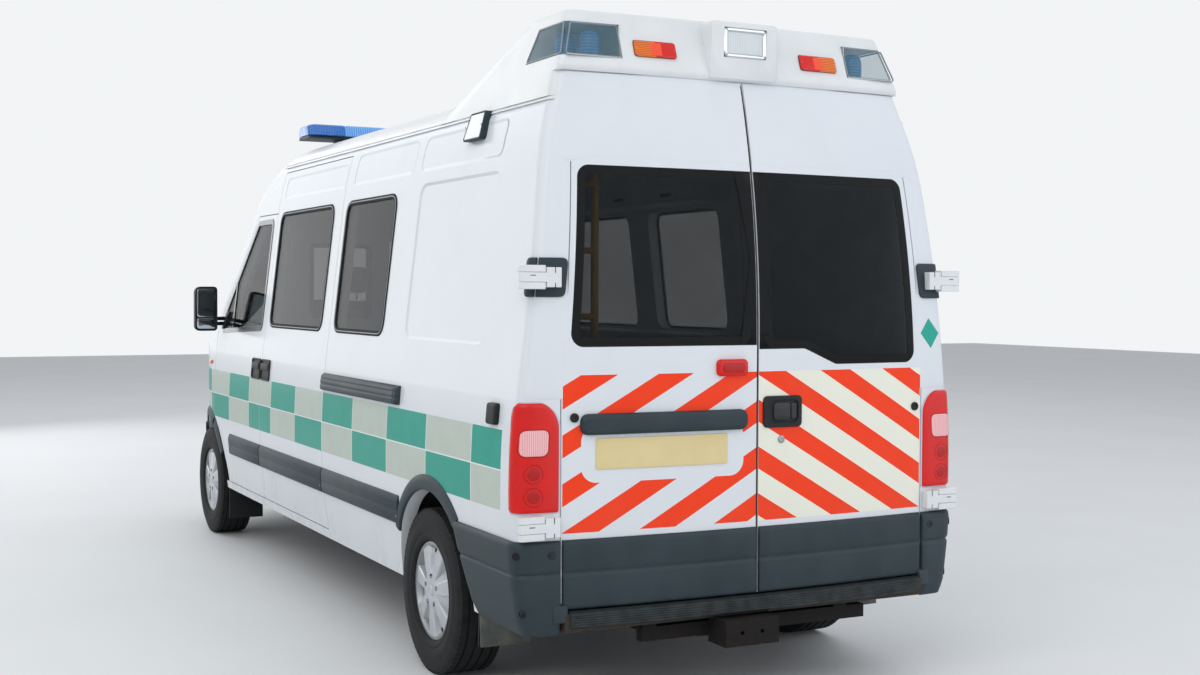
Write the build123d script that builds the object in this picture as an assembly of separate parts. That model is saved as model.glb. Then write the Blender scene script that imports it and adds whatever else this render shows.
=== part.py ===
from build123d import *
import math
import os

# High-roof panel-van ambulance, millimetres. X runs forward, Y to the left, Z up.
# Every X below is from the rear axle, and every Z from the ground. Each node is written
# with the middle of the overall length at X = 0.

# Driving dimensions
wheelbase = 4078.0
front_overhang = 836.0
rear_overhang = 993.0
tow_reach = 70.0          # tow bracket behind the body
wall = 60.0               # whole thickness of a panel or a door
door_gap = 5.0            # shut line round a door
meeting_gap = 10.0        # between the two rear doors
meeting_edge = 20.0       # thickness of the rear doors' thinner edges where they meet
meeting_step = 16.0       # width of those thinner edges
seat_gap = 0.3            # between pieces that are seated on each other
nose_x = wheelbase + front_overhang
tail_x = -rear_overhang

# Body cross-section, half widths at their heights
sill_z = 345.0
sill_y = 952.0
bulge_low_z = 600.0
bulge_low_y = 985.0
bulge_mid_z = 860.0
bulge_mid_y = 995.0
belt_z = 1200.0
belt_y = 978.0
glass_top_z = 2030.0
glass_top_y = 880.0
gutter_z = 2322.0
gutter_y = 812.0
roof_top_z = 2486.0
roof_bow = 2000.0         # crown radius across the roof
shoulder_radius = 90.0

# Rear face
rear_bow = 9580.0         # radius of the rear face in plan
rear_straight_z = 1400.0
rear_lean_radius = 3760.0
rear_corner_radius = 45.0

# Roof front, windscreen and bonnet, on the centre line
shoulder_x = wheelbase - 1381.0
cap_radius = 950.0
screen_angle = 42.4
cowl_z = 1330.0
bonnet_rear_x = wheelbase + 267.0
bonnet_front_x = nose_x - 142.0
bonnet_front_z = 1030.0
nose_top_z = 700.0
nose_bow = 1900.0         # radius of the nose in plan
nose_taper_x = wheelbase - 378.0
nose_taper_radius = 2500.0
nose_corner_radius = 260.0

# Floor and doors
floor_z = 545.0
floor_thickness = 40.0
rail_z = 425.0            # underside of the chassis rails
rail_front_x = wheelbase + 522.0
firewall_x = wheelbase - 93.0
rear_door_y = 822.0
rear_door_low_z = 435.0
rear_door_top_z = 2405.0
front_door_rear_x = wheelbase - 1378.0
front_door_front_x = wheelbase - 227.0
front_door_top_z = 2035.0
side_door_rear_x = front_door_rear_x - 1238.0
bulkhead_x = front_door_rear_x - 140.0
door_low_z = 395.0

# Wheels
tyre_radius = 345.0
tyre_width = 218.0
rim_radius = 205.0
wheel_y = 866.0
arch_radius = 406.0
arch_trim = 66.0
rear_arch_x = -45.0
front_arch_x = wheelbase - 20.0
arch_z = 366.0
kingpin_y = 780.0           # kingpin at hub height
kingpin_lean = 14.5       # degrees, top leaning in

# Shared sizes
glass_thickness = 5.0
strip_low_z = 580.0
strip_high_z = 706.0
strip_proud = 14.0
bumper_proud = 22.0

overall_length = nose_x + bumper_proud - tail_x + tow_reach
centre_x = nose_x + bumper_proud - overall_length / 2


def block(x0, x1, y0, y1, z0, z1):
    """A box between two corners."""
    centre = Pos((x0 + x1) / 2, (y0 + y1) / 2, (z0 + z1) / 2)
    return centre * Box(abs(x1 - x0), abs(y1 - y0), abs(z1 - z0))


def outline(points, radius):
    """A closed face through the points, its corners rounded."""
    if radius:
        return make_face(FilletPolyline(*points, radius=radius, close=True))
    return make_face(Polyline(*points, close=True))


def side_prism(points, y0, y1, radius=0.0):
    """An XZ outline carried from y0 to y1."""
    plane = Plane((0, y1, 0), x_dir=(1, 0, 0), z_dir=(0, -1, 0))
    return extrude(plane * outline(points, radius), amount=y1 - y0)


def cross_prism(points, x0, x1, radius=0.0):
    """A YZ outline carried from x0 to x1."""
    plane = Plane((x0, 0, 0), x_dir=(0, 1, 0), z_dir=(1, 0, 0))
    return extrude(plane * outline(points, radius), amount=x1 - x0)


def plan_prism(points, z0, z1, radius=0.0):
    """An XY outline carried from z0 to z1."""
    return extrude(Pos(0, 0, z0) * outline(points, radius), amount=z1 - z0)


def rod(start, end, radius):
    """A round bar between two points."""
    a, b = Vector(*start), Vector(*end)
    plane = Plane(a, z_dir=b - a)
    return extrude(plane * Circle(radius), amount=(b - a).length)


def lathe(points, x, y, z, axis="Y"):
    """A solid of revolution; points are (distance along the axis, radius)."""
    face = make_face(Polyline(*points, close=True))
    solid = revolve(face, Axis.X)
    turn = {"X": Rot(0, 0, 0), "Y": Rot(0, 0, 90), "Z": Rot(0, -90, 0)}[axis]
    return Pos(x, y, z) * turn * solid


def both(shape):
    """The shape and its mirror image across the centre line."""
    return [shape, mirror(shape, Plane.XZ)]


def circle_through(p, q, r):
    """Centre and radius of the circle through three points."""
    ax, ay = q[0] - p[0], q[1] - p[1]
    bx, by = r[0] - p[0], r[1] - p[1]
    d = 2 * (ax * by - ay * bx)
    a2, b2 = ax * ax + ay * ay, bx * bx + by * by
    ux, uy = (by * a2 - ay * b2) / d, (ax * b2 - bx * a2) / d
    return (p[0] + ux, p[1] + uy), math.hypot(ux, uy)


def circles_meet(c0, r0, c1, r1, near):
    """The crossing of two circles that lies nearest to a point."""
    d = math.dist(c0, c1)
    along = (r0 * r0 - r1 * r1 + d * d) / (2 * d)
    off = math.sqrt(r0 * r0 - along * along)
    ux, uy = (c1[0] - c0[0]) / d, (c1[1] - c0[1]) / d
    base = (c0[0] + ux * along, c0[1] + uy * along)
    options = [(base[0] - s * uy * off, base[1] + s * ux * off) for s in (-1, 1)]
    return min(options, key=lambda p: math.dist(p, near))


def drawn_in(point, centre, by):
    """A point on an arc, moved towards the arc's centre."""
    d = math.dist(point, centre)
    return tuple(c + (p - c) * (d - by) / d for p, c in zip(point, centre))


def cross_face(inset):
    """The body's cross-section, moved in by inset; the inner one stays open below."""
    low, mid, belt = (bulge_low_y, bulge_low_z), (bulge_mid_y, bulge_mid_z), (belt_y, belt_z)
    top, gutter = (glass_top_y, glass_top_z), (gutter_y, gutter_z)
    haunch = ((top[0] + gutter[0]) / 2 + 8, (top[1] + gutter[1]) / 2 + 2)
    side_hub, side_r = circle_through(low, mid, belt)
    haunch_hub, haunch_r = circle_through(top, haunch, gutter)
    crown_hub = (0, roof_top_z - roof_bow)
    low, mid, belt = (drawn_in(p, side_hub, inset) for p in (low, mid, belt))
    top, haunch = (drawn_in(p, haunch_hub, inset) for p in (top, haunch))
    gutter = circles_meet(haunch_hub, haunch_r - inset, crown_hub, roof_bow - inset, gutter)
    lean = (bulge_low_y - sill_y) / (bulge_low_z - sill_z)
    foot_z = sill_z - (300 if inset > 0 else 0)
    foot = (low[0] - lean * (low[1] - foot_z), foot_z)
    half = Curve() + [
        Line((0, foot_z), foot),
        Line(foot, low),
        ThreePointArc(low, mid, belt),
        Line(belt, top),
        ThreePointArc(top, haunch, gutter),
    ]
    crown = ThreePointArc(gutter, (0, roof_top_z - inset), (-gutter[0], gutter[1]))
    face = make_face(half + mirror(half, Plane.YZ) + [crown])
    corners = [v for v in face.vertices() if abs(v.Y - gutter[1]) < 1]
    return fillet(corners, max(shoulder_radius - inset, 15))


def slope_cutter(x0, z0, x1, z1, bow, inset, reach=400.0):
    """The space above a sloping, bowed face that falls from one point to the next."""
    run = Vector(x1 - x0, 0, z1 - z0)
    along = run.normalized()
    out = Vector(-along.Z, 0, along.X)
    start = Vector(x0, 0, z0) - along * reach - out * inset
    half = 1150.0
    drop = bow - math.sqrt(bow * bow - half * half)
    face = make_face(Curve() + [
        ThreePointArc((-half, -drop), (0, 0), (half, -drop)),
        Polyline((half, -drop), (half, 2600), (-half, 2600), (-half, -drop)),
    ])
    plane = Plane(start, x_dir=(0, 1, 0), z_dir=along)
    return extrude(plane * face, amount=run.length + 2 * reach)


def cap_cutter(inset):
    """The space above the rounded front of the roof and above the windscreen."""
    half = 1150.0
    bow = roof_bow - inset
    drop = bow - math.sqrt(bow * bow - half * half)
    lift = 3.0 - inset
    face = make_face(Curve() + [
        ThreePointArc((-half, -drop), (0, 0), (half, -drop)),
        Polyline((half, -drop), (half, 2600), (-half, 2600), (-half, -drop)),
    ])
    top = Plane((shoulder_x, 0, roof_top_z + lift), x_dir=(0, 1, 0), z_dir=(1, 0, 0))
    hub = Axis((shoulder_x, 0, roof_top_z - cap_radius), (0, 1, 0))
    bend = revolve(top * face, hub, screen_angle)
    angle = math.radians(screen_angle)
    along = Vector(math.cos(angle), 0, -math.sin(angle))
    out = Vector(math.sin(angle), 0, math.cos(angle))
    foot = Vector(hub.position.X, 0, hub.position.Z) + out * (cap_radius + lift)
    slant = Plane(foot, x_dir=(0, 1, 0), z_dir=along)
    return bend + extrude(slant * face, amount=2600)


def rear_keep(inset):
    """The space in front of the bowed, leaning rear face."""
    hub_x = tail_x + rear_bow
    x0 = tail_x + inset
    lean_top = 2800.0
    rise = lean_top - rear_straight_z
    back = rear_lean_radius - math.sqrt(rear_lean_radius ** 2 - rise ** 2)
    mid = rear_lean_radius - math.sqrt(rear_lean_radius ** 2 - (rise / 2) ** 2)
    face = make_face(Curve() + [
        Polyline((x0 + back, lean_top), (hub_x, lean_top), (hub_x, 0), (x0, 0), (x0, rear_straight_z)),
        ThreePointArc((x0, rear_straight_z), (x0 + mid, rear_straight_z + rise / 2), (x0 + back, lean_top)),
    ])
    plane = Plane((0, 0, 0), x_dir=(1, 0, 0), z_dir=(0, -1, 0))
    return revolve(plane * face, Axis((hub_x, 0, 0), (0, 0, 1)), 360)


def nose_keep(inset):
    """The space inside the tapered, rounded plan of the nose."""
    side = bulge_mid_y + 5 - inset
    taper = nose_taper_radius - inset
    hub_y = side - taper
    turn = 19.0
    a = math.radians(turn)
    end = (nose_taper_x + taper * math.sin(a), hub_y + taper * math.cos(a))
    mid = (nose_taper_x + taper * math.sin(a / 2), hub_y + taper * math.cos(a / 2))
    bow = nose_bow - inset
    hub_x = nose_x - inset - bow
    corner_y = 792.0 - inset
    corner = (hub_x + math.sqrt(bow ** 2 - corner_y ** 2), corner_y)
    back = tail_x - 400
    half = Curve() + [
        Line((back, 0), (back, side)),
        Line((back, side), (nose_taper_x, side)),
        ThreePointArc((nose_taper_x, side), mid, end),
        Line(end, corner),
    ]
    nose = ThreePointArc(corner, (nose_x - inset, 0), (corner[0], -corner[1]))
    face = make_face(half + mirror(half, Plane.XZ) + [nose])
    corners = [v for v in face.vertices() if abs(v.X - corner[0]) < 1]
    face = fillet(corners, max(nose_corner_radius - inset, 20))
    return extrude(face, amount=3000)


def rear_corners(body):
    """The upright edges where the sides meet the rear face."""
    corners = []
    for edge in body.edges():
        size = edge.bounding_box()
        upright = size.size.Z > 50 and abs(edge.center().Y) > 700
        if size.max.X < -700 and upright:
            corners.append(edge)
    return corners


_envelopes = {}


def envelope(inset):
    """The whole body as one solid, with every face moved in by inset."""
    if inset in _envelopes:
        return _envelopes[inset]
    plane = Plane((tail_x - 200, 0, 0), x_dir=(0, 1, 0), z_dir=(1, 0, 0))
    body = extrude(plane * cross_face(inset), amount=nose_x - tail_x + 400)
    body = body & rear_keep(inset)
    radius = rear_corner_radius - inset
    if radius > 5:
        body = fillet(rear_corners(body), radius)
    body = body & nose_keep(inset)
    bonnet = slope_cutter(bonnet_rear_x, cowl_z, bonnet_front_x, bonnet_front_z, 2600, inset, 3000)
    body = body - (cap_cutter(inset) & bonnet)
    body = body - slope_cutter(bonnet_front_x, bonnet_front_z, nose_x - 22, nose_top_z, 2600, inset, 330)
    _envelopes[inset] = body
    return body


def layer(outer, inner, region):
    """The part of a region between two insets of the body's surface."""
    return (envelope(outer) & region) - envelope(inner)


def cylinder_y(x, z, radius, y0, y1):
    """A round bar along Y."""
    return rod((x, y0, z), (x, y1, z), radius)


def wheel_wells(radius, y0):
    """Round clearances over the four wheels, from y0 outward on both sides."""
    wells = []
    for x in (rear_arch_x, front_arch_x):
        well = cylinder_y(x, arch_z, radius, y0, 1200) + block(x - radius, x + radius, y0, 1200, -50, arch_z)
        wells += both(well)
    return wells


# Hinges
hinge_heights = [(1574, 1717), (699, 785)]    # z0, z1 of the rear doors' hinge leaves
hinge_x = -972.0
hinge_y = 984.0
hinge_half = 42.0
hinge_half_arm = 17.0
bonnet_thickness = 40.0
bonnet_hinge_x = bonnet_rear_x - 7.0
bonnet_hinge_z = 1314.0
bonnet_hinge_y = (-150.0, 150.0)

# Outlines that more than one piece follows
front_door_outline = [
    (front_door_rear_x, door_low_z),
    (front_door_rear_x, front_door_top_z),
    (front_door_rear_x + 425, front_door_top_z),
    (front_door_front_x - 83, 1445),
    (front_door_front_x, 1340),
    (front_door_front_x, door_low_z),
]
front_glass_outline = [
    (front_door_rear_x + 90, 1380),
    (front_door_rear_x + 90, 1990),
    (front_door_rear_x + 404, 1990),
    (front_door_front_x - 161, 1452),
    (front_door_front_x - 99, 1345),
]
side_door_outline = [
    (side_door_rear_x, door_low_z), (side_door_rear_x, 2270),
    (front_door_rear_x - door_gap, 2270), (front_door_rear_x - door_gap, door_low_z),
]
side_windows = [    # x0, x1, z0, z1
    (side_door_rear_x + 142, front_door_rear_x - 90, 1395, glass_top_z),
    (side_door_rear_x - 815, side_door_rear_x - 82, 1397, glass_top_z),
]
roof_outline = [
    (tail_x - 207, 2300),
    (front_door_rear_x + 80, 2300),
    (front_door_rear_x + 700, 1985),
    (front_door_rear_x + 1200, 1985),
    (front_door_rear_x + 1200, 2700),
    (tail_x - 207, 2700),
]
cab_outline = [
    (front_door_front_x + 9, 0),
    (front_door_front_x + 9, 1440),
    (front_door_front_x - 651, 2050),
    (front_door_front_x - 651, 2400),
    (nose_x + 286, 2400),
    (nose_x + 286, 0),
]
stampings = [    # x0, x1, z0, z1 of the shallow pressings in the load-space sides
    (-528, 342, 1400, glass_top_z + 20),
]
stamping_depth = 6.0
stamping_slope = 65.0
gutter_lip = (2303.0, 2317.0, 7.0)    # z0, z1 and how far it stands out
scene_lamp = [(-312, 2200), (-285, 2320), (-131, 2320), (-131, 2200)]    # lamp high on each side


def grown(points, by, y0, y1, radius=0.0):
    """A side outline moved out by a distance and carried across."""
    plane = Plane((0, y1, 0), x_dir=(1, 0, 0), z_dir=(0, -1, 0))
    face = outline(points, radius)
    return extrude(plane * (offset(face, by) if by else face), amount=y1 - y0)


def rear_door_face(grow, half_gap=None):
    """The rear doors' outline in the YZ plane, moved out by grow; with half_gap, the left one."""
    crown = roof_top_z - 75 + grow
    bow = roof_bow - 75 + grow
    edge = 745.0 + grow
    edge_z = crown - bow + math.sqrt(bow * bow - edge * edge)
    low_z = rear_door_low_z - grow
    middle = 0 if half_gap is None else half_gap
    half = Curve() + [
        Line((middle, low_z), (rear_door_y + grow, low_z)),
        Line((rear_door_y + grow, low_z), (rear_door_y + grow, 1250)),
        Line((rear_door_y + grow, 1250), (edge, edge_z)),
    ]
    if half_gap is None:
        top = ThreePointArc((edge, edge_z), (0, crown), (-edge, edge_z))
        face = make_face(half + mirror(half, Plane.YZ) + [top])
    else:
        mid = edge / 2
        mid_z = crown - bow + math.sqrt(bow * bow - mid * mid)
        close = Line((middle, crown), (middle, low_z))
        face = make_face(half + [ThreePointArc((edge, edge_z), (mid, mid_z), (middle, crown)), close])
    return fillet([v for v in face.vertices() if abs(v.Y - edge_z) < 1], 45)


def rear_prism(face):
    """A YZ face carried through the rear wall."""
    return extrude(Plane((-1200, 0, 0), x_dir=(0, 1, 0), z_dir=(1, 0, 0)) * face, amount=560)


def screen_plane(x_on_centre):
    """The plane of the windscreen at a point on its centre line."""
    angle = math.radians(screen_angle)
    hub_z = roof_top_z - cap_radius
    foot_x = shoulder_x + math.sin(angle) * cap_radius
    foot_z = hub_z + math.cos(angle) * cap_radius
    z = foot_z - (x_on_centre - foot_x) * math.tan(angle)
    return Plane((x_on_centre, 0, z), x_dir=(0, 1, 0), z_dir=(math.sin(angle), 0, math.cos(angle)))


def screen_prism(grow):
    """The windscreen's outline carried through its slope."""
    low, high = -470.0, 440.0
    points = [(-868, low), (-772, high), (772, high), (868, low)]
    face = outline(points, 90)
    if grow:
        face = offset(face, grow)
    middle = screen_plane(wheelbase - 118)
    return extrude(middle * face, amount=330) + extrude(middle * face, amount=-420)


def stamping(x0, x1, z0, z1):
    """A shallow pressing with sloping edges, as the space it takes out of the left side's flat upper part."""
    across = Vector(0, glass_top_z - belt_z, belt_y - glass_top_y).normalized()
    up = Vector(0, glass_top_y - belt_y, glass_top_z - belt_z).normalized()
    start = Vector(0, belt_y, belt_z) - across * stamping_depth
    scale = 1 / up.Z
    plane = Plane(start, x_dir=(1, 0, 0), z_dir=across)
    low, high = (z0 - belt_z) * scale, (z1 - belt_z) * scale
    face = outline([(x0, -high), (x1, -high), (x1, -low), (x0, -low)], 55)
    if plane.y_dir.Z > 0:
        face = outline([(x0, low), (x1, low), (x1, high), (x0, high)], 55)
    return extrude(plane * face, amount=stamping_depth + 2, taper=-stamping_slope)


def side_panels(shell):
    """The load-space sides with their pillars, openings and stampings."""
    left = shell & block(tail_x - 207, front_door_front_x + 49, 0, 1100, 0, 2600)
    for corners in stampings:
        left -= stamping(*corners)
    left -= side_prism(roof_outline, -50, 1100)
    left -= side_prism(cab_outline, -50, 1100)
    left -= rear_prism(rear_door_face(door_gap))
    left -= block(-1200, -700, -50, rear_door_y + door_gap, 0, rear_door_low_z)
    left -= grown(front_door_outline, door_gap, 700, 1100)
    arches = wheel_wells(arch_radius, 600)
    left -= arches[0] + arches[2]
    right = mirror(left, Plane.XZ)
    left -= grown(side_door_outline, door_gap, 700, 1100)
    for x0, x1, z0, z1 in side_windows:
        window = side_prism([(x0, z0), (x0, z1), (x1, z1), (x1, z0)], 700, 1100, 70)
        left -= window
        right -= mirror(window, Plane.XZ)
    post_foot = floor_z + floor_thickness + seat_gap
    post_inner = [(belt_y - wall - 50, post_foot), (belt_y - wall - 50, belt_z),
                  (glass_top_y - wall - 50, glass_top_z), (gutter_y - wall - 35, 2290)]
    post = cross_prism(post_inner + [(1100, 2290), (1100, post_foot)],
                       front_door_rear_x - 50, front_door_rear_x + 45) & envelope(wall + seat_gap)
    sides = []
    for side, pillar in ((left, post), (right, mirror(post, Plane.XZ))):
        sides.append([side, pillar])
    return sides


def roof_panel(shell):
    """The high roof, its shoulders and its rounded front."""
    roof = shell & side_prism(roof_outline, -1100, 1100)
    low, high, proud = gutter_lip
    lip = layer(-proud, wall / 2, block(-846, front_door_rear_x + 60, 700, 1100, low, high))
    lip -= grown(scene_lamp, 3, 700, 1100)
    for side in both(lip):
        roof += side
    roof -= rear_prism(rear_door_face(door_gap))
    return roof - screen_prism(0)


def cab_shell(shell):
    """Screen pillars, cowl, wings and the panel behind the bumper."""
    cab = shell & side_prism(cab_outline, -1100, 1100)
    cab -= side_prism(roof_outline, -1100, 1100)
    cab -= screen_prism(0)
    cab -= grown(front_door_outline, door_gap, -1100, 1100)
    for well in wheel_wells(arch_radius, 600)[2:]:
        cab -= well
    cab -= bonnet_region(door_gap)
    cab -= grille_region(0) + headlamp_regions(0)
    for y in bonnet_hinge_y:
        pin = rod((bonnet_hinge_x, y - 8, bonnet_hinge_z), (bonnet_hinge_x, y + 20, bonnet_hinge_z), 4)
        x, z = bonnet_hinge_x, bonnet_hinge_z
        strap = block(bonnet_rear_x - 45, x + 4, y + 8, y + 20, z - 8, z + 4)
        cab += pin + strap
    return cab


def radiator_support():
    """The radiator in its frame, with the two rubber buffers that the bonnet rests on."""
    x0 = rail_front_x + seat_gap
    frame = block(x0, x0 + 60, -600, 600, 880, 930)
    for side in (-1, 1):
        frame += block(x0, x0 + 40, side * 402, side * 478, rail_z + 10, 885)
        buffer = rod((x0 + 30, side * 520, 920), (x0 + 30, side * 520, 1200), 14)
        frame += buffer & envelope(bonnet_thickness + seat_gap)
    frame += block(x0, x0 + 40, -440, 440, rail_z + 10, rail_z + 60)
    return frame + block(x0 + 5, x0 + 45, -350, 350, rail_z + 40, 885)


def bonnet():
    """The bonnet with its two hinge leaves at the cowl."""
    hood = layer(0, bonnet_thickness, bonnet_region(0))
    for y in bonnet_hinge_y:
        hinge_z = bonnet_hinge_z
        leaf = block(bonnet_hinge_x - 8, bonnet_rear_x + 30, y - 8, y + 7, hinge_z - 14, hinge_z)
        leaf += rod((bonnet_hinge_x, y - 8, bonnet_hinge_z), (bonnet_hinge_x, y + 7, bonnet_hinge_z), 8)
        hood += (leaf & envelope(0)) - rod((bonnet_hinge_x, y - 30, bonnet_hinge_z),
                                           (bonnet_hinge_x, y + 30, bonnet_hinge_z), 4 + seat_gap)
    return hood


def bonnet_region(grow):
    """The space that the bonnet takes out of the nose."""
    front, side = nose_x - 64.0, 700.0
    rear = bonnet_rear_x + 5 - 4 * grow
    return block(rear, front + grow, -side - grow, side + grow, 985 - grow, 1500)


def grille_region(shrink):
    """The opening between the headlamps."""
    return block(nose_x - 414, nose_x + 86, -400 + shrink, 400 - shrink, 720 + shrink, 975 - shrink)


def headlamp_regions(shrink):
    """The openings for the two headlamps, round the corners of the nose."""
    by = 1.0 if shrink else 0.0
    points = [
        (nose_x - 444 + by, 760 + by),
        (nose_x - 354 + by, 975 - by),
        (nose_x + 86, 975 - by),
        (nose_x + 86, 720 + by),
        (nose_x - 274, 720 + by),
    ]
    lamp = side_prism(points, 412 + shrink, 1100, 20)
    return lamp + mirror(lamp, Plane.XZ)


def tyre(width, radius):
    """A closed tyre, turned about Y, with round shoulders and bulged sides."""
    half = width / 2
    seat = rim_radius + seat_gap
    profile = Curve() + [
        Line((-half + 22, seat), (half - 22, seat)),
        ThreePointArc((half - 22, seat), (half, (seat + radius) / 2), (half - 14, radius - 16)),
        ThreePointArc((half - 14, radius - 16), (half - 22, radius - 5), (half - 36, radius - 1.5)),
        ThreePointArc((half - 36, radius - 1.5), (0, radius), (-half + 36, radius - 1.5)),
        ThreePointArc((-half + 36, radius - 1.5), (-half + 22, radius - 5), (-half + 14, radius - 16)),
        ThreePointArc((-half + 14, radius - 16), (-half, (seat + radius) / 2), (-half + 22, seat)),
    ]
    return Rot(0, 0, 90) * revolve(make_face(profile), Axis.X)


def wheel(bore):
    """A steel wheel with its trim, hub and brake drum; the outer face looks to +Y."""
    barrel = [
        (-92, 178), (-92, 205), (-70, 205), (-60, 186), (40, 186), (60, 205), (92, 205),
        (92, 188), (72, 178), (48, 174), (-60, 174),
    ]
    disc = [(18, bore), (18, 90), (34, 110), (40, 176), (60, 176), (56, 108), (44, 88), (44, bore)]
    drum = [(-58, bore), (-58, 94), (-50, 98), (10, 98), (18.5, 92), (18.5, bore)]
    body = lathe(barrel, 0, 0, 0) + lathe(disc, 0, 0, 0) + lathe(drum, 0, 0, 0)
    return body


def trim_disc():
    """The wheel trim: a domed disc with a ring of slots round it."""
    dome = lathe([(92, 0), (98, 60), (104, 130), (96, 204), (91, 204), (97, 128), (92, 62), (86, 0)], 0, 0, 0)
    slots = 14
    for i in range(slots):
        slot = Rot(0, 360.0 * i / slots, 0) * (Pos(0, 100, 176) * Box(44, 60, 22))
        dome -= slot
    return dome


def front_door():
    """The left front door: a hollow-framed panel as thick as the wall, its window cut."""
    region = grown(front_door_outline, 0, 700, 1100)
    for well in wheel_wells(arch_radius + arch_trim + door_gap, 600)[2:3]:
        region -= well
    door = layer(0, wall, region)
    return door - grown(front_glass_outline, 0, 700, 1100, 25)


def front_door_fittings():
    """Mirror, handle and rub strip, all of one dark moulding."""
    strip_region = grown([(front_door_rear_x + 3, strip_low_z), (front_door_rear_x + 3, strip_high_z),
                          (front_door_front_x - 411, strip_high_z), (front_door_front_x - 411, strip_low_z)],
                         0, 700, 1100)
    strip = layer(-strip_proud, -seat_gap, strip_region)
    rear, front = front_door_rear_x + 8, front_door_rear_x + 195
    handle_region = side_prism([(rear, 1082), (rear, 1200), (front, 1200), (front, 1082)], 700, 1100, 18)
    handle = layer(-16, -seat_gap, handle_region)
    x = front_door_front_x - 183
    plan = [(x - 106, 1052), (x - 88, 1178), (x, 1160), (x + 22, 1040), (x - 28, 1030)]
    head = plan_prism(plan, 1340, 1618, 14)
    foot_region = side_prism([(x - 108, 1470), (x + 32, 1346), (x + 80, 1346), (x - 28, 1462)], 700, 1100, 8)
    foot = layer(-18, -seat_gap, foot_region)
    stalks = [rod((x, 1045, z), (x, 950, z), 16) for z in (1380, 1420)]
    mount = block(x - 28, x + 28, 955, 985, 1356, 1444)
    head_assembly = head
    for piece in stalks + [mount]:
        head_assembly += piece - envelope(-1)
    return [strip, handle, foot + head_assembly]


def rear_door(stepped):
    """A left-handed rear door: full-height panel with its window cut."""
    door = layer(0, wall, rear_prism(rear_door_face(0, meeting_gap / 2)))
    door -= envelope(meeting_edge) & block(-1200, -700, -10, meeting_gap / 2 + meeting_step, 0, 2600)
    return door - rear_glass_prism(0, stepped)


def rear_glass_prism(shrink, stepped):
    """A left-handed rear window's outline carried through the door; one steps down outboard."""
    inner = meeting_gap / 2 + meeting_step + 9
    low = [(786, 1312), (372, 1312), (220, 1376), (inner, 1376)] if stepped else [(790, 1392), (inner, 1392)]
    face = outline([(inner, 2062), (738, 2062)] + low, 50)
    if shrink:
        face = offset(face, -shrink)
    return rear_prism(face)


def rear_trim(handle_side):
    """Grey cladding along the bottom of the left rear door, with the hinges and the grab bar."""
    region = block(-1200, -700, meeting_gap / 2, rear_door_y - 2, rear_door_low_z + 1, 690)
    cladding = layer(-14, -seat_gap, region)
    pieces = [cladding]
    for z0, z1 in hinge_heights:
        leaf = layer(-9, -seat_gap, block(-1200, -700, rear_door_y - 62, rear_door_y - 2, z0, z1))
        z = (z0 + z1) / 2
        low, high = z - hinge_half_arm, z + hinge_half_arm
        arm = block(hinge_x - 12, hinge_x + 10, rear_door_y - 30, hinge_y, low, high)
        knuckle = rod((hinge_x, hinge_y, z - hinge_half_arm), (hinge_x, hinge_y, z + hinge_half_arm), 14)
        pin_hole = rod((hinge_x, hinge_y, z0), (hinge_x, hinge_y, z1), 6 + seat_gap)
        pieces.append((leaf + (arm - envelope(-seat_gap)) + knuckle) - pin_hole)
    if handle_side:
        bar = layer(-30, -seat_gap, block(-1200, -700, 52, 750, 1072, 1146))
    else:
        bar = layer(-10, -seat_gap, block(-1200, -700, 24, 204, 1071, 1194))
    pieces.append(bar)
    return pieces


def hinge_posts():
    """The fixed hinge halves on the corner pillars: a bracket and a pin at each height."""
    posts = []
    for z0, z1 in hinge_heights:
        z = (z0 + z1) / 2
        pin = rod((hinge_x, hinge_y, z - hinge_half), (hinge_x, hinge_y, z + hinge_half), 6)
        thick = hinge_half - hinge_half_arm - 2
        for low in (z - hinge_half, z + hinge_half - thick):
            ear = rod((hinge_x, hinge_y, low), (hinge_x, hinge_y, low + thick), 14)
            strap = block(hinge_x - 8, hinge_x + 90, 900, hinge_y, low, low + thick)
            pin += ear + (strap - envelope(-seat_gap))
        posts.append(pin)
    return posts


def seat(x, y, z, width):
    """A seat with its plinth, cushion, back and head restraint as four plain solids."""
    half = width / 2
    floor_top = floor_z + floor_thickness
    low, high = z + seat_gap, z + 120
    top, crown = z + 720, z + 900
    plinth = block(x - 190, x + 190, y - half + 60, y + half - 60, floor_top + seat_gap, z)
    base = [(x - 230, low), (x - 230, high), (x + 270, high + 20), (x + 270, low + 30), (x + 180, low)]
    lean = [(x - 225, high + 0.5), (x - 345, top), (x - 245, top), (x - 100, high + 5.5)]
    head = [(x - 335, top + 0.4), (x - 355, crown), (x - 275, crown), (x - 255, top + 0.4)]
    cushion = Pos(0, y, 0) * side_prism(base, -half, half, 12)
    back = Pos(0, y, 0) * side_prism(lean, -half + 15, half - 15, 12)
    rest = Pos(0, y, 0) * side_prism(head, -130, 130, 12)
    return [plinth, cushion, back, rest]


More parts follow.
